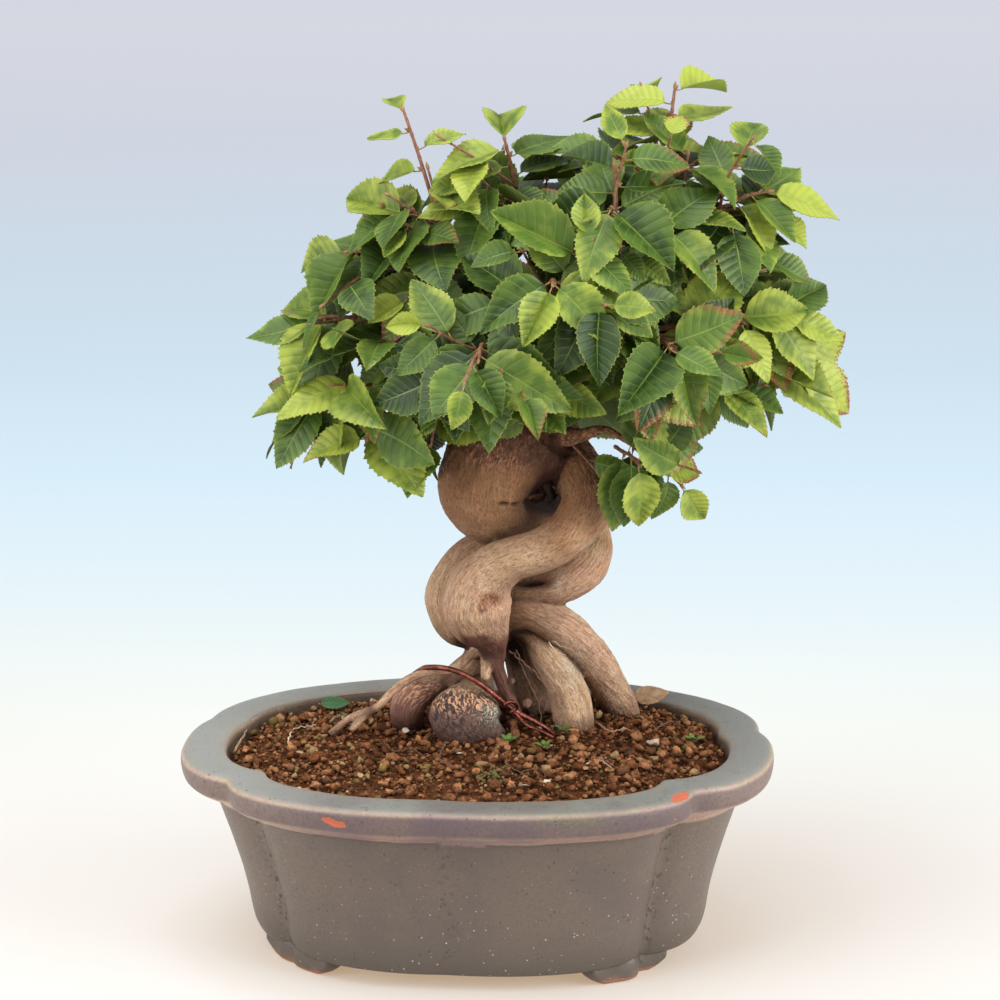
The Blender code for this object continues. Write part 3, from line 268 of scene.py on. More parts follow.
def join(pieces: list[bpy.types.Object]) -> bpy.types.Object:
    """Joins objects into the first one.

    Args:
        pieces: Mesh objects, at least one.

    Returns:
        The first object, which now holds all the meshes.
    """
    deselect_all()
    for piece in pieces:
        piece.select_set(True)
    bpy.context.view_layer.objects.active = pieces[0]
    bpy.ops.object.join()
    return bpy.context.view_layer.objects.active


def corners_of(piece: bpy.types.Object) -> np.ndarray:
    """A mesh's vertices as an array of points.

    Args:
        piece: The mesh object.

    Returns:
        One point a row.
    """
    flat = np.empty(len(piece.data.vertices) * 3)
    piece.data.vertices.foreach_get("co", flat)
    return flat.reshape(-1, 3)


def normals_of(piece: bpy.types.Object) -> np.ndarray:
    """A mesh's vertex normals as an array.

    Args:
        piece: The mesh object.

    Returns:
        One normal a row.
    """
    flat = np.empty(len(piece.data.vertices) * 3)
    piece.data.vertex_normals.foreach_get("vector", flat)
    return flat.reshape(-1, 3)


def place_corners(piece: bpy.types.Object, corners: np.ndarray) -> None:
    """Moves a mesh's vertices to new points."""
    piece.data.vertices.foreach_set("co", corners.ravel())
    piece.data.update()


def mark(piece: bpy.types.Object, **values: np.ndarray) -> None:
    """Stores named values, one number or three for each vertex, which a material reads.

    Args:
        piece: The mesh object.
        values: The values of each attribute.
    """
    for name, rows in values.items():
        kind, entry = ("FLOAT_VECTOR", "vector") if rows.ndim == 2 else ("FLOAT", "value")
        item = piece.data.attributes.new(name, kind, "POINT")
        item.data.foreach_set(entry, np.ascontiguousarray(rows, np.float32).ravel())


def search_tree(piece: bpy.types.Object) -> BVHTree:
    """A search tree over a mesh's faces.

    Args:
        piece: The mesh object.

    Returns:
        The search tree.
    """
    mesh = piece.data
    mesh.calc_loop_triangles()
    corners = [vert.co.copy() for vert in mesh.vertices]
    faces = [tuple(item.vertices) for item in mesh.loop_triangles]
    return BVHTree.FromPolygons(corners, faces)


def recalculate(piece: bpy.types.Object) -> None:
    """Merges doubles and turns every face outwards.

    Args:
        piece: The mesh object.
    """
    make_active(piece)
    bpy.ops.object.mode_set(mode="EDIT")
    bpy.ops.mesh.select_all(action="SELECT")
    bpy.ops.mesh.remove_doubles(threshold=1e-7)
    bpy.ops.mesh.normals_make_consistent(inside=False)
    bpy.ops.object.mode_set(mode="OBJECT")


def finish_piece(piece: bpy.types.Object, name: str, slot: Slot, paints: tuple,
                 *nodes: str) -> None:
    """Dresses a piece, names it, lets it ride on the plant and hides the frame's nodes that it
    replaces.

    Args:
        piece: The finished object.
        name: The piece's name.
        slot: The material slot named for it; not used.
        paints: Its materials, in the order of its faces' slots.
        nodes: The frame's nodes that it replaces.
    """
    for paint in paints:
        piece.data.materials.append(paint)
    piece.name = name
    piece.data.name = name
    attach(piece, "root")
    if nodes:
        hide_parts(*nodes)
    triangles = sum(len(face.vertices) - 2 for face in piece.data.polygons)
    log.info("%s: %d triangles", name, triangles)


@dataclass(frozen=True)
class FrontView:
    """The front view: where the eye stands, its tilt and its lens, in the pot's own frame."""

    stand: Vector
    turn: float = math.radians(-4.5)
    away: float = 1.257
    height: float = 0.4802
    right: float = 0.0092
    tilt: float = math.radians(13.93)
    roll: float = math.radians(-0.5)
    lens: float = 3573.0
    middle: float = 500.0

    def turned(self, right: float, away: float, up: float) -> Vector:
        """A direction of the front view, in the row frame."""
        c, s = math.cos(self.turn), math.sin(self.turn)
        return Vector((c * right + s * away, c * away - s * right, up))

    def _cast(self, across: float, down: float, away: float) -> tuple[Vector, float]:
        """The pot-frame point seen there and its distance along the eye's axis.

        Args:
            across: The place's distance from the view's left side.
            down: Its distance from the top.
            away: How far behind the pot's middle the point is, in metres.

        Returns:
            The point and the distance.
        """
        x = across - self.middle
        y = down - self.middle
        c, s = math.cos(self.roll), math.sin(self.roll)
        u = (c * x + s * y) / self.lens
        v = (c * y - s * x) / self.lens
        ct, st = math.cos(self.tilt), math.sin(self.tilt)
        reach = self.away + away
        drop = reach * (st + v * ct) / (ct - v * st)
        depth = reach * ct + drop * st
        return self.turned(u * depth + self.right, away, self.height - drop), depth

    def seen(self, across: float, down: float, away: float) -> Vector:
        """The point that the view shows there, so many metres behind the pot's middle."""
        return self._cast(across, down, away)[0] + self.stand

    def station(self, across: float, down: float, away: float, half: float) -> tuple:
        """A station of wood: its point and its radius."""
        point, depth = self._cast(across, down, away)
        return point + self.stand, half * depth / self.lens

    def project_all(self, points: np.ndarray) -> tuple[np.ndarray, ...]:
        """Where the view shows points.

        Args:
            points: One point a row, in the row frame.

        Returns:
            How far across and down, and how many metres behind the pot's middle.
        """
        own = points - np.array(self.stand)
        c, s = math.cos(self.turn), math.sin(self.turn)
        right = c * own[:, 0] - s * own[:, 1] - self.right
        away = s * own[:, 0] + c * own[:, 1]
        drop = self.height - own[:, 2]
        ct, st = math.cos(self.tilt), math.sin(self.tilt)
        reach = away + self.away
        depth = reach * ct + drop * st
        u = right / depth
        v = (drop * ct - reach * st) / depth
        c, s = math.cos(self.roll), math.sin(self.roll)
        return (self.middle + self.lens * (c * u - s * v),
                self.middle + self.lens * (s * u + c * v), away)

    def projected(self, point: Vector) -> tuple[float, float, float]:
        """Where the view shows one point, and how far behind the pot's middle it is."""
        across, down, away = self.project_all(np.array([point]))
        return float(across[0]), float(down[0]), float(away[0])

    def camera(self) -> bpy.types.Object:
        """The camera at the eye, with the view's lens on a 36 mm sensor.

        Returns:
            The camera.
        """
        bpy.ops.object.camera_add()
        camera = bpy.context.active_object
        camera.name = "front_camera"
        ct, st = math.cos(self.tilt), math.sin(self.tilt)
        c, s = math.cos(self.roll), math.sin(self.roll)
        right = self.turned(1.0, 0.0, 0.0)
        down = self.turned(0.0, -st, -ct)
        across = right * c - down * s
        below = right * s + down * c
        ahead = self.turned(0.0, ct, -st)
        axes = Matrix((across, -below, -ahead)).transposed().to_4x4()
        eye = self.turned(self.right, -self.away, self.height) + self.stand
        camera.matrix_world = Matrix.Translation(eye) @ axes
        camera.data.sensor_width = 36.0
        camera.data.lens = self.lens / 1000.0 * 36.0
        camera.data.clip_end = 50.0
        return camera


class Sketch:
    """A shader node tree being drawn: it adds nodes and links or sets their sockets."""

    def __init__(self, tree: bpy.types.NodeTree) -> None:
        """Takes the tree to draw in."""
        self.tree = tree

    def add(self, kind: str, inputs: dict | None = None, **settings: object) -> bpy.types.Node:
        """Adds a node.

        Args:
            kind: The node's type name without its ShaderNode start.
            inputs: Values or sockets for its inputs, by name or number.
            settings: The node's own properties.

        Returns:
            The new node.
        """
        node = self.tree.nodes.new("ShaderNode" + kind)
        for name, value in settings.items():
            setattr(node, name, value)
        for name, value in (inputs or {}).items():
            self.feed(node.inputs[name], value)
        return node

    def feed(self, socket: bpy.types.NodeSocket, value: object) -> None:
        """Links a socket to an output, or sets it to a value.

        Args:
            socket: The input.
            value: An output, a number, a colour or a vector.
        """
        if isinstance(value, bpy.types.NodeSocket):
            self.tree.links.new(value, socket)
        elif isinstance(value, tuple) and len(value) == 3 and socket.type == "RGBA":
            socket.default_value = (*value, 1.0)
        else:
            socket.default_value = value

    def maths(self, operation: str, a: object, b: object = 0.0) -> object:
        """The output of a Math node."""
        return self.add("Math", {0: a, 1: b}, operation=operation).outputs[0]

    def times(self, a: object, b: object) -> object:
        """The product of two values."""
        return self.maths("MULTIPLY", a, b)

    def plus(self, a: object, b: object) -> object:
        """The sum of two values."""
        return self.maths("ADD", a, b)

    def noise(self, vector: object, scale: object, detail: float, roughness: float = 0.5,
              distortion: float = 0.0) -> object:
        """A noise value from 0 to 1.

        Args:
            vector: What the pattern is laid on.
            scale: Its fineness.
            detail: How many finer layers it has.
            roughness: How strong these are.
            distortion: How much it is warped.

        Returns:
            The pattern's value.
        """
        return self.add("TexNoise", {"Vector": vector, "Scale": scale, "Detail": detail,
                                     "Roughness": roughness,
                                     "Distortion": distortion}).outputs["Fac"]

    def band(self, value: object, low: float, high: float, start: float = 0.0,
             end: float = 1.0) -> object:
        """A value mapped smoothly from low..high to start..end.

        Args:
            value: The value.
            low: Where the ramp starts.
            high: Where it ends.
            start: The result at its start.
            end: The result at its end.

        Returns:
            The result.
        """
        node = self.add("MapRange", {0: value, 1: low, 2: high, 3: start, 4: end},
                        interpolation_type="SMOOTHSTEP")
        return node.outputs[0]

    def mix(self, amount: object, a: object, b: object, blend: str = "MIX") -> object:
        """Two colours mixed by an amount.

        Args:
            amount: How much of the second there is.
            a: The first colour.
            b: The second colour.
            blend: The way of blending.

        Returns:
            The colour.
        """
        node = self.add("Mix", {0: amount}, data_type="RGBA", blend_type=blend)
        self.feed(node.inputs[6], a)
        self.feed(node.inputs[7], b)
        return node.outputs[2]

    def attribute(self, name: str, output: str = "Fac") -> object:
        """A value that the mesh holds for each vertex."""
        return self.add("Attribute", attribute_name=name).outputs[output]

    def bump(self, height: object, strength: float, distance: float) -> object:
        """A normal bent by a height."""
        return self.add("Bump", {"Height": height, "Strength": strength,
                                 "Distance": distance}).outputs[0]


class SharedEffects:
    """Effects that several finishes use, each a node group built once."""

    def __init__(self) -> None:
        """Builds the groups."""
        self.specks = self._specks()
        self.mottle = self._mottle()
        self.fibres = self._fibres()
        self.crumb = self._crumb()

    @staticmethod
    def _group(name: str, outputs: tuple[str, ...], **inputs: float) -> tuple:
        """A new group on a vector.

        Args:
            name: The group's name.
            outputs: The names of its outputs.
            inputs: The name and the default of each number that it takes.

        Returns:
            A sketch of it, its inputs and its outputs.
        """
        tree = bpy.data.node_groups.new(name, "ShaderNodeTree")
        tree.interface.new_socket("Vector", in_out="INPUT", socket_type="NodeSocketVector")
        for label, value in inputs.items():
            socket = tree.interface.new_socket(label, in_out="INPUT",
                                               socket_type="NodeSocketFloat")
            socket.default_value = value
        for label in outputs:
            tree.interface.new_socket(label, in_out="OUTPUT", socket_type="NodeSocketFloat")
        start = tree.nodes.new("NodeGroupInput").outputs
        return Sketch(tree), start, tree.nodes.new("NodeGroupOutput").inputs

    def _specks(self) -> bpy.types.NodeTree:
        """Small round spots, fewer where the share is low.

        Returns:
            The node group.
        """
        sketch, given, made = self._group("specks", ("Mask",), Scale=400.0, Size=0.25,
                                          Share=0.3)
        cells = sketch.add("TexVoronoi", {"Vector": given["Vector"],
                                          "Scale": given["Scale"]}).outputs
        pick = sketch.add("SeparateColor", {0: cells["Color"]}).outputs
        some = sketch.maths("LESS_THAN", pick[0], given["Share"])
        near = sketch.maths("LESS_THAN", cells["Distance"], sketch.times(pick[1], given["Size"]))
        sketch.feed(made["Mask"], sketch.times(some, near))
        return sketch.tree

    def _mottle(self) -> bpy.types.NodeTree:
        """Soft clouds at a scale, with a finer layer of the same.

        Returns:
            The node group.
        """
        sketch, given, made = self._group("mottle", ("Clouds", "Fine"), Scale=40.0)
        broad = sketch.noise(given["Vector"], given["Scale"], 3.0)
        fine = sketch.noise(given["Vector"], sketch.times(given["Scale"], 9.0), 4.0, 0.7)
        sketch.feed(made["Clouds"], sketch.band(broad, 0.35, 0.65))
        sketch.feed(made["Fine"], sketch.band(fine, 0.3, 0.7))
        return sketch.tree

    def _fibres(self) -> bpy.types.NodeTree:
        """Long streaks along the third axis of a straightened coordinate.

        Returns:
            The node group.
        """
        sketch, given, made = self._group("fibres", ("Streaks", "Threads"), Across=900.0,
                                          Stretch=0.14)
        squash = sketch.add("CombineXYZ", {0: 1.0, 1: 1.0, 2: given["Stretch"]}).outputs[0]
        straight = sketch.add("VectorMath", {0: given["Vector"], 1: squash},
                              operation="MULTIPLY").outputs[0]
        wide = sketch.noise(straight, given["Across"], 3.0, 0.6, 0.4)
        thin = sketch.noise(straight, sketch.times(given["Across"], 2.6), 2.0, 0.6)
        sketch.feed(made["Streaks"], sketch.band(wide, 0.36, 0.64))
        sketch.feed(made["Threads"], sketch.band(thin, 0.36, 0.66))
        return sketch.tree

    def _crumb(self) -> bpy.types.NodeTree:
        """The rough broken face of fired clay or of crumbling bark.

        Returns:
            The node group.
        """
        sketch, given, made = self._group("crumb", ("Height",), Scale=900.0)
        sketch.feed(made["Height"], sketch.noise(given["Vector"], given["Scale"], 6.0, 0.72))
        return sketch.tree


class Coat(Sketch):
    """A material being painted: its shader, and the colour that is laid on so far."""

    def __init__(self, name: str) -> None:
        """Starts the material.

        Args:
            name: The material's name.
        """
        self.material = bpy.data.materials.new(name)
        self.material.use_nodes = True
        super().__init__(self.material.node_tree)
        self.shader = self.tree.nodes["Principled BSDF"]
        self.place = self.add("TexCoord").outputs["Object"]
        self.colour: object = None

    def use(self, effect: bpy.types.NodeTree, vector: object = None,
            **values: float) -> bpy.types.NodeOutputs:
        """Places a shared effect.

        Args:
            effect: Its group.
            vector: The coordinates that it reads, or none for the object's own.
            values: Its numbers.

        Returns:
            Its outputs.
        """
        node = self.tree.nodes.new("ShaderNodeGroup")
        node.node_tree = effect
        self.feed(node.inputs["Vector"], vector or self.place)
        for name, value in values.items():
            self.feed(node.inputs[name], value)
        return node.outputs

    def lay(self, paint: object, *masks: object) -> None:
        """Lays a colour over the last one.

        Args:
            paint: The colour.
            masks: Where it lies: values that are multiplied.
        """
        amount = masks[0]
        for mask in masks[1:]:
            amount = self.times(amount, mask)
        self.colour = self.mix(amount, self.colour, paint)

    def finish(self, roughness: object, gloss: float, height: object, strength: float,
               depth: float) -> bpy.types.Material:
        """Feeds the shader.

        Args:
            roughness: The roughness, a number or a value that changes over the surface.
            gloss: The specular level.
            height: The height of the relief.
            strength: How strongly the relief shows.
            depth: How deep the relief is, in metres.

        Returns:
            The material.
        """
        self.feed(self.shader.inputs["Base Color"], self.colour)
        self.feed(self.shader.inputs["Roughness"], roughness)
        self.shader.inputs["Specular IOR Level"].default_value = gloss
        self.feed(self.shader.inputs["Normal"], self.bump(height, strength, depth))
        return self.material


@dataclass(frozen=True)
class StonewareGlaze:
    """Satin grey-violet glaze that breaks to ochre on edges and shows clay where chipped."""

    effects: SharedEffects
    violet: Point = (0.205, 0.126, 0.158)
    warm_grey: Point = (0.430, 0.275, 0.195)
    green_grey: Point = (0.120, 0.084, 0.064)
    side_light_grey: Point = (0.640, 0.440, 0.320)
    grain: Point = (0.085, 0.062, 0.062)
    lip_side_light: Point = (0.240, 0.246, 0.226)
    lip_grey: Point = (0.142, 0.132, 0.122)
    lip_green: Point = (0.180, 0.190, 0.165)
    lip_dark: Point = (0.090, 0.080, 0.082)
    face_violet: Point = (0.050, 0.038, 0.043)
    inside_grey: Point = (0.070, 0.058, 0.045)
    break_ochre: Point = (0.290, 0.250, 0.140)
    break_pink: Point = (0.260, 0.185, 0.140)
    clay: Point = (0.440, 0.105, 0.050)
    raw_clay: Point = (0.270, 0.115, 0.070)
    algae: Point = (0.115, 0.150, 0.045)
    dirt: Point = (0.040, 0.030, 0.027)
    speck: Point = (0.560, 0.520, 0.470)
    roughness: float = 0.42

    def paint(self) -> bpy.types.Material:
        """The glaze's material.

        Returns:
            The material.
        """
        coat = Coat("stoneware_glaze")
        mottle, specks = self.effects.mottle, self.effects.specks
        clouds = coat.use(mottle, Scale=30.0)
        speckle = coat.use(mottle, Scale=170.0)
        spot = coat.add("SeparateXYZ", {0: coat.place}).outputs
        coat.colour = coat.mix(coat.band(clouds["Clouds"], 0.0, 1.0, 0.25, 0.80), self.violet,
                               self.warm_grey)
        # Painted side light: the wall and the lip grow lighter towards the pot's curved ends.
        ends = coat.band(coat.maths("ABSOLUTE", spot[0]), 0.045, 0.100, 0.0, 0.75)
        coat.lay(self.side_light_grey, ends)
        coat.lay(self.green_grey, coat.band(spot[2], 0.030, 0.002))
        coat.lay(self.grain, coat.band(coat.use(mottle, Scale=90.0)["Fine"], 0.35, 0.95,
                                       0.0, 0.42))
        coat.lay(self.face_violet, coat.attribute("lip_face"), 0.75)
        coat.lay(self.inside_grey, coat.attribute("inside"), 0.85)
        lip = coat.mix(clouds["Clouds"], self.lip_grey, self.lip_green)
        lip = coat.mix(coat.band(clouds["Fine"], 0.50, 1.0, 0.0, 0.42), lip, self.lip_dark)
        coat.lay(coat.mix(ends, lip, self.lip_side_light), coat.attribute("lip_top"))
        coat.lay(coat.mix(speckle["Clouds"], self.break_ochre, self.break_pink),
                 coat.attribute("break_line"), coat.band(clouds["Fine"], 0.1, 0.8, 0.35, 0.80))
        coat.lay(self.algae, coat.attribute("algae"), coat.band(speckle["Fine"], 0.4, 0.9))
        white = coat.use(specks, Scale=900.0, Size=0.30, Share=0.15)["Mask"]
        coat.lay(self.speck, white, coat.band(spot[2], 0.070, 0.012, 0.10, 0.55))
        dark = coat.use(specks, Scale=620.0, Size=0.36, Share=0.16)["Mask"]
        coat.lay(self.dirt, dark, 0.6)
        pits = coat.use(specks, Scale=640.0, Size=0.70, Share=0.6)["Mask"]
        grime = coat.times(pits, coat.attribute("crease"))
        coat.lay(self.dirt, grime)
        raw, chip = coat.attribute("raw"), coat.attribute("chip")
        coat.lay(self.raw_clay, raw)
        coat.lay(self.clay, coat.band(chip, 0.35, 0.6))
        sheen = coat.band(speckle["Fine"], 0.0, 1.0, self.roughness - 0.08,
                          self.roughness + 0.10)
        sheen = coat.plus(sheen, coat.times(coat.maths("MAXIMUM", chip, raw), 0.4))
        height = coat.maths("SUBTRACT", coat.times(speckle["Fine"], 0.6), dark)
        return coat.finish(sheen, 0.5, coat.maths("SUBTRACT", height, grime), 0.30, 0.0004)


@dataclass(frozen=True)
class Bark:
    """Hornbeam bark: pinkish tan with fine short fibres, flaky and red-brown at the neck."""

    effects: SharedEffects
    tan: Point = (0.560, 0.365, 0.215)
    rose: Point = (0.520, 0.295, 0.195)
    pale: Point = (0.700, 0.540, 0.390)
    olive: Point = (0.330, 0.270, 0.120)
    stain: Point = (0.430, 0.190, 0.070)
    streak: Point = (0.170, 0.090, 0.052)
    crust: Point = (0.330, 0.135, 0.060)
    wet_and_shade: Point = (0.070, 0.027, 0.016)
    red: Point = (0.048, 0.014, 0.010)
    red_light: Point = (0.170, 0.060, 0.040)
    crown_shade_tint: Point = (0.56, 0.44, 0.32)
    knee_dark: Point = (0.026, 0.016, 0.018)
    knee_brown: Point = (0.120, 0.062, 0.050)
    mauve: Point = (0.260, 0.120, 0.090)
    shred: Point = (0.640, 0.350, 0.190)
    moss: Point = (0.120, 0.130, 0.022)
    lichen: Point = (0.520, 0.520, 0.400)
    cave_shade: Point = (0.016, 0.008, 0.005)

    def paint(self) -> bpy.types.Material:
        """The bark's material.

        Returns:
            The material.
        """
        coat = Coat("hornbeam_bark")
        grain = coat.attribute("grain", "Vector")
        clouds = coat.use(self.effects.mottle, grain, Scale=70.0)
        tufts = coat.use(self.effects.mottle, Scale=190.0)
        fibres = coat.use(self.effects.fibres, grain, Across=1250.0, Stretch=0.40)
        long = coat.use(self.effects.fibres, grain, Across=520.0, Stretch=0.17)
        flakes = coat.use(self.effects.crumb, Scale=560.0)["Height"]
        streaks = fibres["Streaks"]
        coat.colour = coat.mix(clouds["Clouds"], self.tan, self.rose)
        coat.lay(self.pale, coat.band(long["Threads"], 0.45, 1.0, 0.0, 0.45))
        coat.lay(self.olive, tufts["Clouds"], 0.20)
        coat.lay(self.stain, coat.band(clouds["Fine"], 0.55, 1.0, 0.0, 0.55))
        coat.lay(self.streak, coat.band(long["Streaks"], 0.55, 0.0), coat.attribute("streaky"))
        coat.lay(self.streak, coat.band(streaks, 0.45, 0.0, 0.0, 0.54))
        coat.lay(self.streak, coat.band(fibres["Threads"], 0.5, 0.0, 0.0, 0.34))
        # Painted shade: the upper trunk under the crown is multiplied darker and warmer.
        coat.lay(coat.mix(1.0, coat.colour, self.crown_shade_tint, "MULTIPLY"), coat.attribute("warm"))
        knee = coat.mix(coat.band(flakes, 0.40, 0.62), self.knee_dark, self.knee_brown)
        knee = coat.mix(coat.attribute("mauve"), knee, self.mauve)
        shred = coat.times(coat.band(streaks, 0.55, 0.85),
                           coat.band(coat.attribute("peel"), 0.0, 1.0, 0.12, 0.95))
        coat.lay(coat.mix(shred, knee, self.shred), coat.attribute("knee"))
        crust = coat.attribute("crust")
        rust = coat.mix(coat.band(flakes, 0.34, 0.66), self.wet_and_shade, self.crust)
        coat.lay(coat.mix(coat.band(streaks, 0.70, 1.0, 0.0, 0.50), rust, self.tan), crust)
        coat.lay(coat.mix(long["Streaks"], self.red, self.red_light), coat.attribute("red"))
        # Dark moist bark near the soil line, with painted shade on the low back roots; moss and
        # lichen are real.
        for paint, name, low, high, least, most in (
                (self.wet_and_shade, "damp", 0.0, 1.0, 0.25, 0.85), (self.moss, "moss", 0.35, 0.8, 0.0, 1.0),
                (self.lichen, "lichen", 0.50, 0.75, 0.0, 1.0)):
            coat.lay(paint, coat.attribute(name), coat.band(tufts["Fine"], low, high, least, most))
        # Painted shade in creases, dents, contact lines, undersides and hollows.
        coat.lay(self.wet_and_shade, coat.attribute("hollow"))
        # Near-black in the wound slits, and painted shade at the bottom of the hollows between
        # loops.
        coat.lay(self.cave_shade, coat.attribute("wound"))
        height = coat.plus(streaks, coat.times(fibres["Threads"], 0.6))
        height = coat.plus(height, coat.times(long["Streaks"], 0.8))
        rugged = coat.times(flakes, coat.plus(crust, 0.22))
        height = coat.plus(height, coat.times(rugged, 3.2))
        return coat.finish(0.72, 0.35, height, 0.60, 0.00042)


@dataclass(frozen=True)
class LeafFinish:
    """A hornbeam leaf: veins from its own map, tone and rust from each leaf's values."""

    effects: SharedEffects
    deep: Point = (0.019, 0.049, 0.008)
    middle: Point = (0.100, 0.178, 0.026)
    young: Point = (0.440, 0.510, 0.075)
    rust: Point = (0.270, 0.105, 0.040)
    vein: Point = (0.300, 0.400, 0.080)
    margin: Point = (0.430, 0.450, 0.090)
    back: Point = (0.300, 0.370, 0.130)
    lit: Point = (0.75, 0.95, 0.08)
    sap: Point = (0.56, 0.68, 0.045)
    see_through: float = 0.32
    veins: float = 9.0

    def paint(self, name: str) -> bpy.types.Material:
        """The leaf's material, whose lower side is paler and duller.

        Args:
            name: The material's name.

        Returns:
            The material.
        """
        coat = Coat(name)
        chart = coat.add("UVMap", uv_map="leaf").outputs[0]
        along, across = coat.add("SeparateXYZ", {0: chart}).outputs[:2]
        side = coat.maths("ABSOLUTE", coat.maths("SUBTRACT", across, 0.5))
        patches = coat.use(self.effects.mottle, Scale=150.0)
        shade = coat.plus(coat.attribute("tone"),
                          coat.band(patches["Clouds"], 0.0, 1.0, -0.10, 0.10))
        shade = coat.plus(shade, coat.band(side, 0.22, 0.50, -0.05, 0.14))
        coat.colour = coat.mix(coat.band(shade, 0.0, 0.5), self.deep, self.middle)
        coat.lay(self.young, coat.band(shade, 0.45, 1.0))
        wave = coat.maths("FRACT", coat.times(along, self.veins))
        wave = coat.maths("ABSOLUTE", coat.maths("SUBTRACT", wave, 0.5))
        lateral = coat.times(coat.band(wave, 0.42, 0.49), coat.band(side, 0.49, 0.30, 0.35, 1.0))
        rib = coat.band(side, 0.020, 0.006)
        coat.lay(self.vein, coat.maths("MAXIMUM", coat.times(lateral, 0.26),
                                       coat.times(rib, 0.75)))
        # Painted shade in the furrows beside each lateral vein.
        furrow_shade = coat.times(coat.band(wave, 0.20, 0.40), 0.10)
        coat.lay(self.deep, coat.maths("SUBTRACT", furrow_shade, coat.times(lateral, 0.22)))
        coat.lay(self.margin, coat.band(side, 0.470, 0.50), 0.50)
        browned = coat.attribute("rust")
        reach = coat.plus(coat.times(side, 1.3), coat.times(along, 0.40))
        reach = coat.plus(reach, coat.times(browned, 0.62))
        reach = coat.plus(reach, coat.band(patches["Fine"], 0.0, 1.0, -0.13, 0.13))
        coat.lay(self.rust, coat.band(reach, 1.02, 1.16), coat.band(browned, 0.05, 0.25))
        under = coat.attribute("under")
        coat.lay(self.back, under, 0.38)
        wave = coat.times(wave, 2.0)
        pleat = coat.maths("SUBTRACT", 1.0, coat.times(wave, wave))
        pleat = coat.times(pleat, coat.band(side, 0.02, 0.10))
        ridge = coat.times(pleat, coat.band(under, 0.0, 1.0, 1.0, 0.35))
        coat.finish(coat.band(under, 0.0, 1.0, 0.42, 0.66), 0.42,
                    coat.plus(ridge, coat.times(patches["Fine"], 0.10)), 0.60, 0.00030)
        lit = coat.mix(0.40, coat.mix(0.50, coat.colour, self.lit, "MULTIPLY"), self.sap)
        normal = coat.shader.inputs["Normal"].links[0].from_socket
        glow = coat.add("BsdfTranslucent", {"Color": lit, "Normal": normal})
        blend = coat.add("MixShader", {0: self.see_through, 1: coat.shader.outputs[0],
                                       2: glow.outputs[0]})
        coat.feed(coat.tree.nodes["Material Output"].inputs["Surface"], blend.outputs[0])
        return coat.material


@dataclass(frozen=True)
class TwigFinish:
    """Young hornbeam wood: red-brown, paler and greener towards a leaf's stalk."""

    effects: SharedEffects
    wood: Point = (0.165, 0.062, 0.030)
    warm: Point = (0.26, 0.115, 0.06)
    stalk: Point = (0.300, 0.230, 0.060)
    pore: Point = (0.36, 0.22, 0.13)

    def paint(self) -> bpy.types.Material:
        """The twigs' material.

        Returns:
            The material.
        """
        coat = Coat("young_twig")
        clouds = coat.use(self.effects.mottle, Scale=420.0)
        coat.colour = coat.mix(clouds["Clouds"], self.wood, self.warm)
        coat.lay(self.stalk, coat.attribute("tone"))
        coat.lay(self.pore, coat.use(self.effects.specks, Scale=1400.0, Size=0.5,
                                     Share=0.2)["Mask"])
        return coat.finish(0.55, 0.5, clouds["Fine"], 0.4, 0.0002)


@dataclass(frozen=True)
class ClayGrains:
    """Fired clay grains: red-brown, with tan, dark, white and mossy ones among them."""

    effects: SharedEffects
    red: Point = (0.210, 0.070, 0.024)
    light: Point = (0.530, 0.245, 0.108)
    tan: Point = (0.400, 0.280, 0.130)
    dark: Point = (0.026, 0.0085, 0.0030)
    white: Point = (0.640, 0.500, 0.360)
    brown: Point = (0.085, 0.028, 0.010)
    moss: Point = (0.150, 0.150, 0.035)
    dust: Point = (0.50, 0.27, 0.15)

    def paint(self) -> bpy.types.Material:
        """The grains' material.

        Returns:
            The material.
        """
        coat = Coat("fired_clay_grains")
        clouds = coat.use(self.effects.mottle, Scale=300.0)["Clouds"]
        rough = coat.use(self.effects.crumb, Scale=900.0)["Height"]
        patches = coat.use(self.effects.crumb, Scale=430.0)["Height"]
        coat.colour = coat.mix(coat.attribute("tint"), self.red, self.light)
        coat.lay(self.brown, coat.band(clouds, 0.2, 1.0, 0.0, 0.6))
        coat.lay(self.dark, coat.band(patches, 0.50, 0.36, 0.0, 0.80))
        for name in ("tan", "dark", "white", "moss"):
            coat.lay(getattr(self, name), coat.attribute(name))
        coat.lay(self.dust, coat.band(rough, 0.52, 0.72, 0.0, 0.38))
        # Painted shade in the pits of the fine relief.
        coat.lay(self.dark, coat.band(rough, 0.46, 0.30, 0.0, 0.65))
        coat.lay(self.dark, coat.attribute("shade"))
        return coat.finish(0.95, 0.12, coat.plus(rough, coat.times(patches, 0.8)), 1.0, 0.0010)


@dataclass(frozen=True)
class PlainFinish:
    """One colour with soft clouds and a fine bump, for the small pieces."""

    effects: SharedEffects
    name: str
    colour: Point
    second: Point
    roughness: float = 0.6
    metallic: float = 0.0
    scale: float = 300.0
    relief: float = 0.0002

    def paint(self) -> bpy.types.Material:
        """The material.

        Returns:
            The material.
        """
        coat = Coat(self.name)
        clouds = coat.use(self.effects.mottle, Scale=self.scale)
        coat.colour = coat.mix(clouds["Clouds"], self.colour, self.second)
        coat.shader.inputs["Metallic"].default_value = self.metallic
        sheen = coat.band(clouds["Fine"], 0.0, 1.0, self.roughness - 0.08,
                          self.roughness + 0.08)
        return coat.finish(sheen, 0.5, clouds["Fine"], 0.35, self.relief)


def limit(value: float, low: float = 0.0, high: float = 1.0) -> float:
    """A value kept between two others."""
    return min(max(value, low), high)


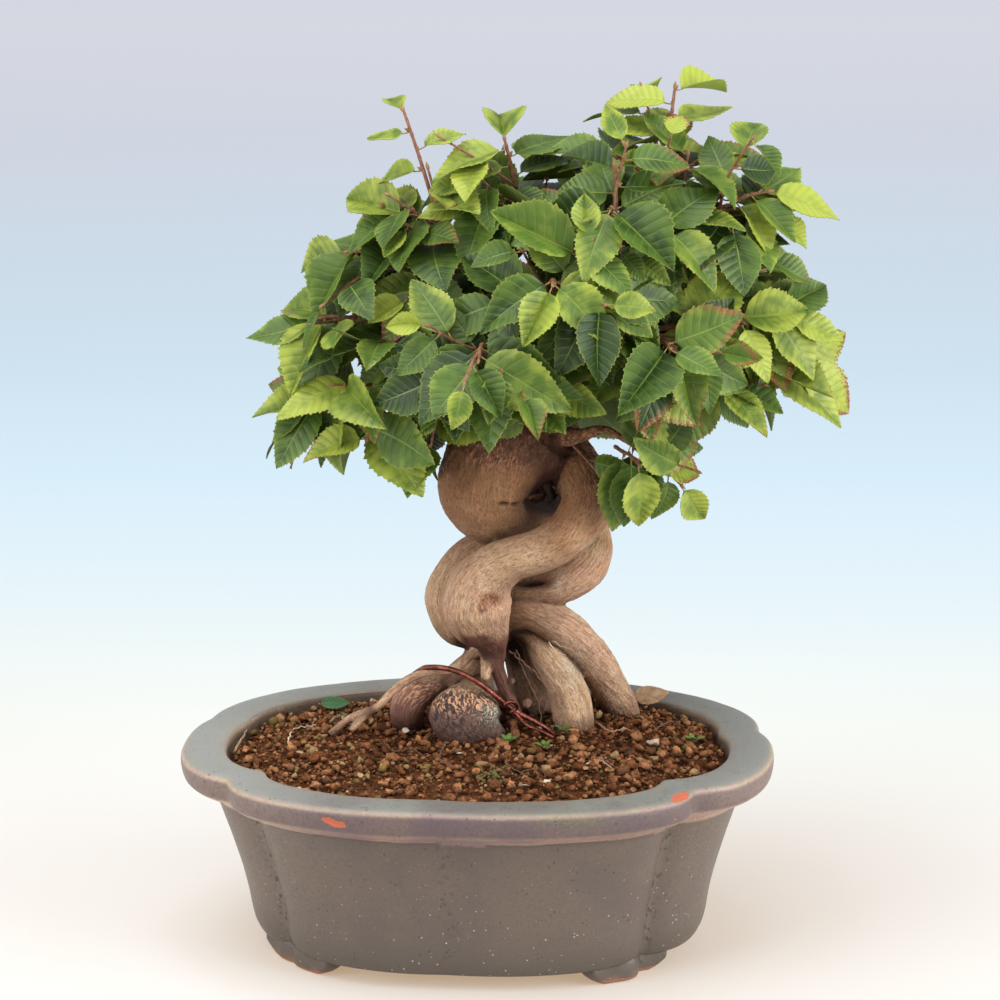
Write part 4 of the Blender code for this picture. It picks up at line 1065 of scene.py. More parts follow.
def curved(before: object, a: object, b: object, after: object, t: float) -> object:
    """The point at a fraction between two points of a smooth curve, or a row of numbers.

    Args:
        before: The point before the two.
        a: The first of the two.
        b: The second.
        after: The point after them.
        t: The fraction.

    Returns:
        The point.
    """
    tangent_a = (b - before) * 0.5
    tangent_b = (after - a) * 0.5
    return (a * (2 * t ** 3 - 3 * t ** 2 + 1) + tangent_a * (t ** 3 - 2 * t ** 2 + t)
            + b * (3 * t ** 2 - 2 * t ** 3) + tangent_b * (t ** 3 - t ** 2))


def bell(value: np.ndarray, middle: float, width: float) -> np.ndarray:
    """A bell curve of 1 at the middle value."""
    return np.exp(-((value - middle) / width) ** 2)


def smooth_path(rows: Rows, spacing: float) -> Rows:
    """A smooth curve through stations.

    Args:
        rows: The stations' points and radii.
        spacing: How far apart the curve's rows are, in metres.

    Returns:
        Points and radii along the curve.
    """
    fine = []
    last = len(rows) - 1
    for i in range(last):
        (a, start), (b, end) = rows[i], rows[i + 1]
        before, after = rows[max(i - 1, 0)][0], rows[min(i + 2, last)][0]
        for k in range(CURVE_STEPS):
            t = k / CURVE_STEPS
            fine.append((curved(before, a, b, after, t), start * (1 - t) + end * t))
    fine.append(rows[-1])
    lengths = [0.0]
    for (a, _), (b, _) in zip(fine, fine[1:]):
        lengths.append(lengths[-1] + (b - a).length)
    count = max(2, int(round(lengths[-1] / spacing)) + 1)
    result = []
    j = 0
    for i in range(count):
        want = lengths[-1] * i / (count - 1)
        while j < len(fine) - 2 and lengths[j + 1] < want:
            j += 1
        t = limit((want - lengths[j]) / max(lengths[j + 1] - lengths[j], 1e-9))
        result.append((fine[j][0].lerp(fine[j + 1][0], t),
                       fine[j][1] * (1 - t) + fine[j + 1][1] * t))
    return result


def along_path(path: Rows, fraction: float) -> tuple[Vector, float, Vector]:
    """A place on a path.

    Args:
        path: The path's points and radii.
        fraction: How far along it the place is, from 0 to 1.

    Returns:
        The point, the radius and the direction there.
    """
    place = fraction * (len(path) - 1)
    i = min(int(place), len(path) - 2)
    t = place - i
    point = path[i][0].lerp(path[i + 1][0], t)
    radius = path[i][1] * (1 - t) + path[i + 1][1] * t
    return point, radius, (path[i + 1][0] - path[i][0]).normalized()


def tube(name: str, rows: Rows, resolution: int) -> bpy.types.Object:
    """A closed tube along rows, from a curve with a round bevel.

    Args:
        name: The object's name.
        rows: Points and radii.
        resolution: The bevel's resolution; the tube has four sides and two more for each.

    Returns:
        A mesh object.
    """
    curve = bpy.data.curves.new(name, "CURVE")
    curve.dimensions = "3D"
    curve.bevel_depth = 1.0
    curve.bevel_resolution = resolution
    curve.resolution_u = 1
    curve.render_resolution_u = 0
    curve.use_fill_caps = True
    curve.twist_mode = "MINIMUM"
    spline = curve.splines.new("POLY")
    spline.points.add(len(rows) - 1)
    for item, (point, radius) in zip(spline.points, rows):
        item.co = (point.x, point.y, point.z, 1.0)
        item.radius = radius
    body = bpy.data.objects.new(name, curve)
    bpy.context.scene.collection.objects.link(body)
    make_active(body)
    bpy.ops.object.convert(target="MESH")
    body = bpy.context.active_object
    recalculate(body)
    return body


def noise_at(points: np.ndarray, scale: float, seed: int) -> np.ndarray:
    """Smooth noise from about -1 to 1 at many points.

    Args:
        points: One point a row.
        scale: How many noise cells there are to a metre.
        seed: Picks another stretch of the noise.

    Returns:
        One value for each point.
    """
    shift = Vector((seed * 17.3, seed * 5.1, seed * 9.7))
    return np.array([noise.noise(Vector(point) * scale + shift) for point in points])


def smooth_step(value: np.ndarray, low: float, high: float) -> np.ndarray:
    """A smooth ramp from 0 at the low value to 1 at the high one."""
    t = np.clip((value - low) / (high - low), 0.0, 1.0)
    return t * t * (3 - 2 * t)


def wrapped_grid(name: str, columns: int, rows: int, place: object) -> bpy.types.Object:
    """A primitive grid wrapped into a closed body.

    Args:
        name: The object's name.
        columns: Faces round the body.
        rows: Faces from its first pole to its last.
        place: A function of the fractions round and along that gives the points.

    Returns:
        The body, its seam and poles merged and its faces outwards.
    """
    deselect_all()
    bpy.ops.mesh.primitive_grid_add(x_subdivisions=columns, y_subdivisions=rows, size=2.0)
    body = bpy.context.active_object
    body.name = name
    flat = corners_of(body)
    place_corners(body, place((flat[:, 0] + 1) / 2, (flat[:, 1] + 1) / 2))
    recalculate(body)
    return body


def spread(rows: tuple[Point, ...], counts: tuple[int, ...]) -> np.ndarray:
    """Rows of numbers with smoothly curved rows put in between.

    Args:
        rows: The rows that the curve passes through.
        counts: How many steps each span gets.

    Returns:
        All the rows as an array.
    """
    table = np.array(rows)
    last = len(table) - 1
    made = []
    for i, count in enumerate(counts):
        span = (table[max(i - 1, 0)], table[i], table[i + 1], table[min(i + 2, last)])
        made += [curved(*span, k / count) for k in range(count)]
    return np.array(made + [table[-1]])


class ManyShells:
    """Many small closed shells gathered into one mesh, with their values and slots."""

    def __init__(self, *names: str) -> None:
        """Takes the names of the values that each shell brings.

        Args:
            names: The names.
        """
        self.corners: list[np.ndarray] = []
        self.faces: list[np.ndarray] = []
        self.charts: list[np.ndarray] = []
        self.slots: list[np.ndarray] = []
        self.values: dict[str, list[np.ndarray]] = {name: [] for name in names}
        self.count = 0

    def add(self, corners: np.ndarray, faces: np.ndarray, slot: int = 0,
            chart: np.ndarray | None = None, **values: object) -> None:
        """Adds a shell.

        Args:
            corners: Its points.
            faces: Its faces, all with the same number of corners.
            slot: Its material's place in the mesh.
            chart: Its map, one pair for each point.
            values: A number, or one for each point, for each named value.
        """
        size = len(corners)
        self.corners.append(corners)
        self.faces.append(faces + self.count)
        self.slots.append(np.full(len(faces), slot))
        self.charts.append(np.zeros((size, 2)) if chart is None else chart)
        for name, rows in self.values.items():
            rows.append(np.broadcast_to(np.asarray(values.get(name, 0.0), float), (size,)))
        self.count += size

    def add_tube(self, points: np.ndarray, radii: np.ndarray, sides: int, slot: int = 0,
                 **values: object) -> None:
        """Adds a closed tube.

        Args:
            points: The line that it follows, one point a row.
            radii: The radius at each point.
            sides: An even number of sides.
            slot: Its material's place in the mesh.
            values: A number for each named value.
        """
        ahead = np.gradient(points, axis=0)
        ahead /= np.linalg.norm(ahead, axis=1, keepdims=True) + 1e-12
        one = np.cross(ahead[0], ACROSS)
        turn = np.arange(sides) / sides * math.tau
        rings = []
        for point, radius, way in zip(points, radii, ahead):
            one = one - way * (one @ way)
            one = one / (np.linalg.norm(one) + 1e-12)
            ring = np.outer(np.cos(turn), one) + np.outer(np.sin(turn), np.cross(way, one))
            rings.append(point + ring * radius)
        faces = []
        for low in range(0, (len(points) - 1) * sides, sides):
            for i in range(sides):
                j = (i + 1) % sides
                faces.append((low + i, low + j, low + sides + j, low + sides + i))
        last = (len(points) - 1) * sides
        for i in range(1, sides - 2, 2):
            faces.append((0, i + 2, i + 1, i))
            faces.append((last, last + i, last + i + 1, last + i + 2))
        self.add(np.concatenate(rings), np.array(faces), slot, **values)

    def build(self, name: str, chart: str = "", sharp: float = 55.0) -> bpy.types.Object:
        """Makes the mesh object.

        Args:
            name: Its name.
            chart: The name of its map, or nothing.
            sharp: The angle in degrees past which an edge is shaded sharp.

        Returns:
            The object, at the origin.
        """
        mesh = bpy.data.meshes.new(name)
        corners = np.concatenate(self.corners)
        mesh.vertices.add(len(corners))
        mesh.vertices.foreach_set("co", corners.astype(np.float32).ravel())
        loops = np.concatenate([faces.ravel() for faces in self.faces])
        sizes = np.concatenate([np.full(len(faces), faces.shape[1]) for faces in self.faces])
        mesh.loops.add(len(loops))
        mesh.loops.foreach_set("vertex_index", loops.astype(np.int32))
        mesh.polygons.add(len(sizes))
        starts = np.concatenate([[0], np.cumsum(sizes)[:-1]])
        mesh.polygons.foreach_set("loop_start", starts.astype(np.int32))
        mesh.update(calc_edges=True)
        slots = np.concatenate(self.slots).astype(np.int32)
        mesh.polygons.foreach_set("material_index", slots)
        if chart:
            places = np.concatenate(self.charts)[loops]
            layer = mesh.uv_layers.new(name=chart)
            layer.data.foreach_set("uv", places.astype(np.float32).ravel())
        body = bpy.data.objects.new(name, mesh)
        bpy.context.scene.collection.objects.link(body)
        mark(body, **{label: np.concatenate(rows) for label, rows in self.values.items()})
        mesh.validate()
        mesh.shade_smooth()
        mesh.set_sharp_from_angle(angle=math.radians(sharp))
        return body


class SeenSkin:
    """A mesh's points and normals, and where the front view shows each point."""

    def __init__(self, body: bpy.types.Object, view: FrontView, shift: Vector,
                 tilt: float) -> None:
        """Reads the mesh.

        Args:
            body: The mesh object.
            view: The front view.
            shift: What leads from the mesh's own frame to the row frame.
            tilt: How far up the way to the front points.
        """
        self.points = corners_of(body)
        self.normals = normals_of(body)
        self.across, self.down, self.away = view.project_all(self.points + np.array(shift))
        self.front = self.normals @ np.array(view.turned(0.0, -1.0, tilt))

    def oval(self, spot: Point) -> np.ndarray:
        """How far each point is seen from an oval's middle, in the oval's half sizes."""
        x, y, wide, tall = spot
        return np.hypot((self.across - x) / wide, (self.down - y) / tall)

    def cover(self, spots: tuple, outer: float, inner: float, here: np.ndarray,
              ragged: object = 0.0) -> np.ndarray:
        """How strongly ovals of the front view cover each point.

        Args:
            spots: The ovals: across, down, half width and half height.
            outer: Where the cover starts, in half sizes from the middle.
            inner: Where it is full.
            here: Which points may be covered at all.
            ragged: What is added to each point's distance.

        Returns:
            Values from 0 to 1.
        """
        ramps = [smooth_step(self.oval(spot) + ragged, outer, inner) for spot in spots]
        return np.where(here, np.max(ramps, axis=0), 0.0)


@dataclass
class GlazedPot:
    """The six-lobed stoneware pot: lip, wall, cloud feet, drain holes and wire holes."""

    view: FrontView
    half_length: float = 0.110
    half_depth: float = 0.0848
    middle_back: float = 0.0045
    squareness: float = 2.3
    rim_height: float = 0.0756
    lip_width: float = 0.0165
    front_steepness: float = 0.62
    floor_under: float = 0.0062
    floor_top: float = 0.0125
    lobes: tuple = ((12.0, .034), (89.0, .014), (165.0, .020), (214.5, .060), (266.0, .018),
                    (321.5, .075))
    lobe_width: float = 0.11
    crease_width: float = 0.035
    around: int = 380
    foot_spans: tuple = ((196.0, 234.0), (300.0, 332.0), (16.0, 49.0), (131.0, 166.0))
    foot_height: float = 0.0088
    foot_thick: float = 0.0100
    foot_inset: float = 0.0280
    foot_bulge: float = 0.0016
    foot_curl: float = 0.62
    drain_x: float = 0.038
    drain_radius: float = 0.0065
    wire_hole_x: float = 0.060
    wire_hole_radius: float = 0.0022
    waves: tuple = ((38.0, .00028), (160.0, .00007))
    chip_depth: float = 0.00055
    chips: tuple = ((326, 820, 4.4, 3.2), (331, 822.5, 4.6, 3.4), (336, 825, 4.6, 3.4),
                    (341, 825.5, 3.6, 3.0), (675.5, 798, 3.6, 4.4), (680, 797, 4.2, 4.7),
                    (685, 795.5, 4.0, 4.4), (676, 819, 2.4, 1.2))
    algae: Point = (575, 822, 38, 5.5)

    def lobed(self, angle: np.ndarray, inset: np.ndarray,
              strength: np.ndarray) -> tuple[np.ndarray, np.ndarray]:
        """The pot's lobed outline, moved in from the rim.

        Args:
            angle: Angles round the pot.
            inset: How far in from the rim, in metres.
            strength: How deep the creases are.

        Returns:
            The two level coordinates.
        """
        radius = np.ones_like(angle)
        for degrees, depth in self.lobes:
            away = np.sqrt(self.turned_from(angle, degrees) ** 2 + 0.0009) - 0.03
            radius = radius - strength * depth * np.exp(-away / self.lobe_width)
        c, s = np.cos(angle), np.sin(angle)
        power = 2.0 / self.squareness
        x = (self.half_length - inset) * radius * np.copysign(np.abs(c) ** power, c)
        steep = np.minimum(inset, self.lip_width)
        steep = steep + np.maximum(inset - self.lip_width, 0.0) * self.front_steepness
        y = (self.half_depth - steep) * radius * np.copysign(np.abs(s) ** power, s)
        return x, y + self.middle_back

    @staticmethod
    def turned_from(angle: np.ndarray, degrees: float) -> np.ndarray:
        """How far angles are turned from a lobe's crease, from minus pi to pi."""
        return (angle - math.radians(degrees) + math.pi) % math.tau - math.pi

    def profile(self) -> np.ndarray:
        """Rows of inset, height and crease strength, from the inner floor to the base.

        Returns:
            The rows, with finer ones between them.
        """
        top = self.rim_height
        rows = ((.0400, self.floor_top, .9), (.0322, self.floor_top + .0040, 1.0),
                (.0272, .0360, 1.0), (.0205, top - .0200, 1.0), (.0168, top - .0026, 1.0),
                (.0164, top - .0010, 1.0), (.0152, top - .0002, 1.0), (.0095, top + .0002, 1.0),
                (.0045, top, 1.0), (.0020, top - .0005, 1.0), (.0007, top - .0016, 1.0),
                (.0004, top - .0034, 1.0), (.0006, top - .0058, 1.0),
                (.0012, top - .0082, 1.0), (.0026, top - .0100, 1.0),
                (.0050, top - .0115, 1.0), (.0078, top - .0127, 1.0),
                (.0096, top - .0140, 1.04), (.0126, top - .0166, 1.1),
                (.0160, top - .0262, 1.1), (.0192, .0395, 1.1), (.0218, .0306, 1.1),
                (.0238, .0222, 1.1), (.0252, .0140, 1.0), (.0268, .0092, 1.0),
                (.0300, self.floor_under, 1.0), (.0420, self.floor_under, .9))
        counts = (3, 4, 6, 6, 3, 3, 5, 5, 4, 3, 3, 3, 3, 4, 3, 3, 3, 3, 6, 6, 6, 6, 6, 4, 3, 2)
        return spread(rows, counts)

    def wall(self) -> bpy.types.Object:
        """The bowl with its lip, before its feet and holes.

        Returns:
            The wall with its floor.
        """
        rows = self.profile()
        count = len(rows) + 1

        def place(around: np.ndarray, along: np.ndarray) -> np.ndarray:
            """The point at a fraction round the pot and along its profile."""
            index = np.rint(along * count).astype(int)
            row = rows[np.clip(index - 1, 0, len(rows) - 1)]
            x, y = self.lobed(around * math.tau, row[:, 0], row[:, 2])
            pole = (index == 0) | (index == count)
            x[pole], y[pole] = 0.0, self.middle_back
            return np.stack((x, y, row[:, 1]), axis=1)

        return wrapped_grid("pot", self.around, count, place)

    def foot(self, start: float, end: float) -> bpy.types.Object:
        """A cloud foot under the pot's edge, its ends curled up.

        Args:
            start: The angle in degrees where it starts.
            end: The angle where it ends.

        Returns:
            The foot's closed body.
        """
        def squared(value: np.ndarray) -> np.ndarray:
            """A sine or cosine bent so that the section is nearly square."""
            return np.sign(value) * np.abs(value) ** 0.45

        def place(around: np.ndarray, along: np.ndarray) -> np.ndarray:
            """The point at a fraction round the foot's section and along the foot."""
            curl = np.abs(2 * along - 1)
            rise = np.maximum(0.0, (curl - self.foot_curl) / (1 - self.foot_curl))
            low = self.foot_height * 0.55 * rise ** 1.6
            bulge = self.foot_bulge * np.cos(3 * math.pi * (along - 0.5))
            whole = np.where((along < 0.001) | (along > 0.999), 0.0, 1.0)
            shrink = whole * np.sqrt(np.clip((1 - curl) / 0.06, 0.0, 1.0))
            inset = (self.foot_inset + (self.foot_thick - bulge) / 2
                     + squared(np.cos(around * math.tau)) * (self.foot_thick + bulge) / 2
                     * (0.25 + 0.75 * shrink) * whole)
            x, y = self.lobed(np.radians(start + (end - start) * along), inset,
                              np.ones_like(inset))
            z = ((low + self.foot_height) / 2 + squared(np.sin(around * math.tau))
                 * (self.foot_height - low) / 2 * whole * (0.35 + 0.65 * shrink))
            return np.stack((x, y, z), axis=1)

        return wrapped_grid("foot", 24, 48, place)

    def hole(self, x: float, radius: float) -> bpy.types.Object:
        """A round cutter for a hole in the floor.

        Args:
            x: Where the hole is along the pot.
            radius: Its radius.

        Returns:
            The cutter.
        """
        deselect_all()
        top = self.floor_top + 0.004
        bpy.ops.mesh.primitive_cylinder_add(vertices=40, radius=radius, depth=top,
                                            location=(x, self.middle_back, top / 2))
        bpy.ops.object.transform_apply(location=True, rotation=True, scale=True)
        return bpy.context.active_object

    def combine(self, pot: bpy.types.Object, others: list[bpy.types.Object],
                operation: str) -> None:
        """Joins bodies to the pot, or cuts them out of it, and removes them.

        Args:
            pot: The pot's body.
            others: The other bodies.
            operation: The Boolean's operation.
        """
        for other in others:
            apply_modifier(pot, "BOOLEAN", operation=operation, object=other,
                           solver="MANIFOLD")
            bpy.data.objects.remove(other, do_unlink=True)

    def weather(self, pot: bpy.types.Object) -> None:
        """Works the handmade unevenness and the chips into the pot and marks its glaze.

        Args:
            pot: The pot's body, still centred on its own axis.
        """
        seen = SeenSkin(pot, self.view, self.view.stand, 0.25)
        points = seen.points
        soft = sum(noise_at(points, scale, seed) * rise
                   for seed, (scale, rise) in enumerate(self.waves, 1))
        ragged = noise_at(points, 900.0, 3)
        chip = seen.cover(self.chips, 1.25, 0.75, seen.front > 0.0, ragged * 0.25)
        shift = (soft * smooth_step(points[:, 2], 0.004, 0.014)
                 - chip * (self.chip_depth + 0.0002 * ragged))
        place_corners(pot, points + seen.normals * shift[:, None])
        angle = np.arctan2((points[:, 1] - self.middle_back) / self.half_depth,
                           points[:, 0] / self.half_length)
        below = self.rim_height - points[:, 2]
        crease = np.zeros(len(points))
        for degrees, depth in self.lobes:
            near = bell(self.turned_from(angle, degrees), 0.0, self.crease_width)
            crease = np.maximum(crease, near * min(depth / 0.03, 1.0))
        x, y = self.lobed(angle, np.zeros(len(points)), np.ones(len(points)))
        inset = (np.hypot(x, y - self.middle_back)
                 - np.hypot(points[:, 0], points[:, 1] - self.middle_back))
        edge = bell(below, 0.0012, 0.0008) * (np.abs(inset) < 0.0035)
        under = bell(below, 0.0096, 0.0008) * (inset < 0.007)
        inner = bell(below, 0.0014, 0.0012) * (inset > 0.011)
        foot = points[:, 2] + noise_at(points, 240.0, 9) * 0.0008
        mark(pot, lip_top=smooth_step(below, 0.0016, 0.0004) * (seen.normals[:, 2] > 0.55),
             break_line=np.clip(edge * 0.8 + under * 0.35 + inner, 0.0, 1.0),
             lip_face=(smooth_step(below, 0.0105, 0.0088) * (inset < 0.008)
                       * smooth_step(below, 0.0010, 0.0024)),
             inside=smooth_step(below, 0.0010, 0.0026) * (inset > 0.012),
             raw=smooth_step(foot, 0.0024, 0.0010),
             crease=crease * smooth_step(below, 0.010, 0.016),
             algae=bell(seen.oval(self.algae), 0.0, 1.0) * (seen.front > 0), chip=chip)

    def build(self) -> bpy.types.Object:
        """The whole pot at its place in the row frame.

        Returns:
            The finished object, at the origin.
        """
        pot = self.wall()
        self.combine(pot, [self.foot(start, end) for start, end in self.foot_spans], "UNION")
        cutters = [self.hole(side * x, radius)
                   for x, radius in ((self.drain_x, self.drain_radius),
                                     (self.wire_hole_x, self.wire_hole_radius))
                   for side in (-1, 1)]
        self.combine(pot, cutters, "DIFFERENCE")
        self.weather(pot)
        pot.data.transform(Matrix.Translation(self.view.stand))
        return pot

    def dress(self, pot: bpy.types.Object, glaze: StonewareGlaze) -> None:
        """Gives the pot its glaze, in place of the empty slot that the Booleans leave.

        Args:
            pot: The pot's object.
            glaze: Its finish.
        """
        pot.data.materials.clear()
        pot.data.shade_smooth()
        pot.data.set_sharp_from_angle(angle=math.radians(50))
        finish_piece(pot, "glazed_pot", Slot.POT, (glaze.paint(),), "pot")


@dataclass
class TwistedTrunk:
    """The tree's wood: looped strands, roots, stem and limbs in one skin of bark."""

    view: FrontView
    voxel: float = 0.00094
    row_spacing: float = 0.0018
    strand_sides: int = 6
    limb_sides: int = 4
    limb_taper: float = 0.52
    spiral: float = 14.0
    portion: int = 3000
    knee_spread: float = 0.22
    wounds: tuple = ((504, 503.5, 6.2, 2.1), (515, 504.2, 5.2, 2.0))
    # Hollows between the loops: across, down, half width, half height, depth and the stretches
    # left out; each is dented in and painted dark as shade.
    caves: tuple = ((556, 499, 35, 27, .0042, ("front_loop",)),
                    (530, 581, 26, 10, .0036, ("front_loop",)),
                    (516, 652, 17, 30, .0014, ("front_loop", "left_loop", "red_root")),
                    (448, 532, 12, 14, .0010, ("bulb", "front_loop")),
                    (462, 640, 10, 20, .0008, ("front_loop", "red_root")))
    knob_scar: tuple = ((489, 600, 15, 8), (482, 608, 8, 10))
    peels: tuple = ((462, 697, 36, 15), (414, 690, 22, 16))
    moss_spots: tuple = ((505, 575, 26, 16), (545, 655, 18, 26), (575, 668, 8, 28),
                         (470, 690, 14, 8), (440, 590, 12, 16), (590, 545, 12, 10))
    lichen_spots: tuple = ((490, 714, 12, 12), (573, 664, 13, 17), (556, 582, 6, 9))

    def tables(self) -> list[tuple[str, Rows, int]]:
        """Every stretch of wood: its name, its fine rows and its bevel's resolution.

        Returns:
            Each stretch's name, rows and resolution.
        """
        rows = []
        for table, sides in ((STRANDS, self.strand_sides), (ROOTS, self.limb_sides),
                             (LIMBS, self.limb_sides)):
            for name, picks in table.items():
                stations = [self.view.station(*pick) for pick in picks]
                if table is LIMBS:
                    last = len(stations) - 1
                    stations = [(point, radius * (1 - self.limb_taper * i / last))
                                for i, (point, radius) in enumerate(stations)]
                rows.append((name, smooth_path(stations, self.row_spacing), sides))
        return rows

    def samples(self) -> tuple[np.ndarray, ...]:
        """The rows' points, radii, frames, lengths and stretch numbers, for the whole tree.

        Returns:
            The samples' arrays.
        """
        points, radii, ahead, ones, lengths, owners = [], [], [], [], [], []
        for index, (_, rows, _) in enumerate(self.tables()):
            line = np.array([row[0] for row in rows])
            step = np.gradient(line, axis=0)
            step /= np.linalg.norm(step, axis=1, keepdims=True)
            one = np.cross(step[0], ACROSS)
            run = 0.0
            for k, way in enumerate(step):
                one = one - way * (one @ way)
                one = one / np.linalg.norm(one)
                if k:
                    run += float(np.linalg.norm(line[k] - line[k - 1]))
                ones.append(one)
                lengths.append(run)
                owners.append(index)
            points.append(line)
            radii += [row[1] for row in rows]
            ahead.append(step)
        return (np.concatenate(points), np.array(radii), np.concatenate(ahead),
                np.array(ones), np.array(lengths), np.array(owners))

    def straightened(self, corners: np.ndarray) -> tuple[np.ndarray, np.ndarray, np.ndarray]:
        """Each point's place on its own stretch of wood.

        Args:
            corners: The skin's points.

        Returns:
            The straightened coordinates, the stretch's number, and how near the next
            stretch's skin is.
        """
        points, radii, ahead, ones, lengths, owners = self.samples()
        grain = np.zeros_like(corners)
        owner = np.zeros(len(corners), int)
        near = np.zeros(len(corners))
        starts = [int(np.argmax(owners == i)) for i in range(owners.max() + 1)]
        for begin in range(0, len(corners), self.portion):
            span = slice(begin, begin + self.portion)
            part = corners[span]
            gap = np.sqrt(np.maximum(
                (part ** 2).sum(1)[:, None] + (points ** 2).sum(1)[None, :]
                - 2 * part @ points.T, 0.0)) - radii[None, :]
            best = gap.argmin(1)
            least = np.minimum.reduceat(gap, starts, axis=1)
            first = owners[best]
            least[np.arange(len(part)), first] = 1.0
            away = part - points[best]
            run = lengths[best] + (away * ahead[best]).sum(1)
            a = (away * ones[best]).sum(1)
            b = (away * np.cross(ahead[best], ones[best])).sum(1)
            c, s = np.cos(run * self.spiral), np.sin(run * self.spiral)
            grain[span] = np.stack((a * c - b * s, a * s + b * c, run + first * 0.37), axis=1)
            near[span] = least.min(1)
            owner[span] = first
        return grain, owner, near

    def skin(self) -> bpy.types.Object:
        """The fused skin before its bark is worked.

        Returns:
            The skin.
        """
        body = join([tube(name, rows, sides) for name, rows, sides in self.tables()])
        apply_modifier(body, "REMESH", mode="VOXEL", voxel_size=self.voxel)
        apply_modifier(body, "SMOOTH", factor=0.5, iterations=3)
        return body

    @staticmethod
    def hollowness(body: bpy.types.Object, rounds: int) -> np.ndarray:
        """How far each point lies under the mean of its surroundings.

        Args:
            body: The skin.
            rounds: How many times the surroundings are averaged.

        Returns:
            The depths, in metres.
        """
        points = corners_of(body)
        size = len(points)
        ends = np.empty(len(body.data.edges) * 2, np.int32)
        body.data.edges.foreach_get("vertices", ends)
        one, two = ends.reshape(-1, 2).T
        links = np.maximum(np.bincount(ends, minlength=size).astype(float), 1.0)
        smooth = points.copy()
        for _ in range(rounds):
            total = [np.bincount(one, smooth[two, k], size)
                     + np.bincount(two, smooth[one, k], size) for k in range(3)]
            smooth = np.stack(total, axis=1) / links[:, None]
        return ((smooth - points) * normals_of(body)).sum(1)

    @staticmethod
    def relief(points: np.ndarray, grain: np.ndarray, crust: np.ndarray) -> np.ndarray:
        """How far the bark's own relief moves each point out.

        Args:
            points: The skin's points.
            grain: Their straightened coordinates.
            crust: How crusty the bark is there.

        Returns:
            The shifts, in metres.
        """
        thin = smooth_step(np.hypot(grain[:, 0], grain[:, 1]), 0.0010, 0.0050)
        lumps = noise_at(points, 95.0, 1) * 0.00050
        ridges = noise_at(grain * np.array((1.0, 1.0, 0.20)), 300.0, 2)
        ridges = (0.5 - np.abs(ridges)) * 0.00034
        fibres = noise_at(grain * np.array((1.0, 1.0, 0.26)), 800.0, 3) * 0.00016
        pores = noise_at(points, 700.0, 4) * 0.00011
        plates = 0.5 - np.abs(noise_at(points * np.array((1.0, 1.0, 0.75)), 230.0, 6))
        flakes = noise_at(points, 480.0, 7)
        return ((lumps + ridges + fibres + pores) * (0.25 + 0.75 * thin)
                + crust * (plates * 0.0011 + flakes * 0.00040) * thin)

    def work_bark(self, body: bpy.types.Object) -> None:
        """Works flutes, fibres, crust and wounds into the skin and marks its tints and its painted
        shade.

        Args:
            body: The fused skin.
        """
        seen = SeenSkin(body, self.view, Vector(), 0.2)
        points, down, away, front = seen.points, seen.down, seen.away, seen.front
        grain, owner, near = self.straightened(points)
        names = [name for table in (STRANDS, ROOTS, LIMBS) for name in table]

        def on(*kept: str) -> np.ndarray:
            """Which points belong to the named stretches."""
            return np.isin(owner, [names.index(name) for name in kept])

        wander = noise_at(points, 120.0, 5)
        crust = smooth_step(down + wander * 26 - (seen.across > 520) * 6, 486.0, 452.0)
        shift = self.relief(points, grain, crust)
        here = (front > 0.25) & (away < 0.05)
        for spot in self.wounds:
            lip = np.where(here, bell(seen.oval(spot), 1.6, 0.4), 0.0)
            shift += lip * 0.00035 - seen.cover((spot,), 1.15, 0.5, here) * 0.0012
        wound = seen.cover(self.wounds, 1.15, 0.5, here)
        bowl = np.zeros(len(points))
        here = (front > -0.4) & (away < 0.065)
        # Each hollow is dented in, and its cover paints shade there, near-black at its deepest.
        for *spot, depth, kept in self.caves:
            cave_shade = seen.cover((spot,), 1.25, 0.12, here & ~on(*kept), wander * 0.15)
            shift -= cave_shade * depth
            bowl = np.maximum(bowl, cave_shade)
        knee = on("front_knee") * smooth_step(down, 676.0, 704.0)
        middle = self.view.seen(466, 716, 0.010).x
        points[:, 0] += (points[:, 0] - middle) * knee * self.knee_spread
        scar = seen.cover(self.knob_scar, 1.2, 0.5, (front > 0.2) & (away < 0.04), wander * 0.5)
        shift -= scar * 0.0008
        place_corners(body, points + seen.normals * shift[:, None])
        # Painted shade: dark lines where two stretches meet, the undersides of the lower wood and
        # dents, summed below with the hollows' cover.
        fold = 0.6 * smooth_step(near, 0.0011, -0.0002) + 0.4 * smooth_step(near, 0.0034, 0.0004)
        low = smooth_step(-seen.normals[:, 2], -0.15, 0.85) * smooth_step(down, 430.0, 480.0)
        dent = smooth_step(self.hollowness(body, 24), 0.00022, 0.00095)

        def blots(spots: tuple) -> np.ndarray:
            """How strongly round spots of the front view cover each point."""
            cover = [bell(seen.oval(spot), 0.0, 1.0) for spot in spots]
            return np.max(cover, axis=0) * (front > -0.2)

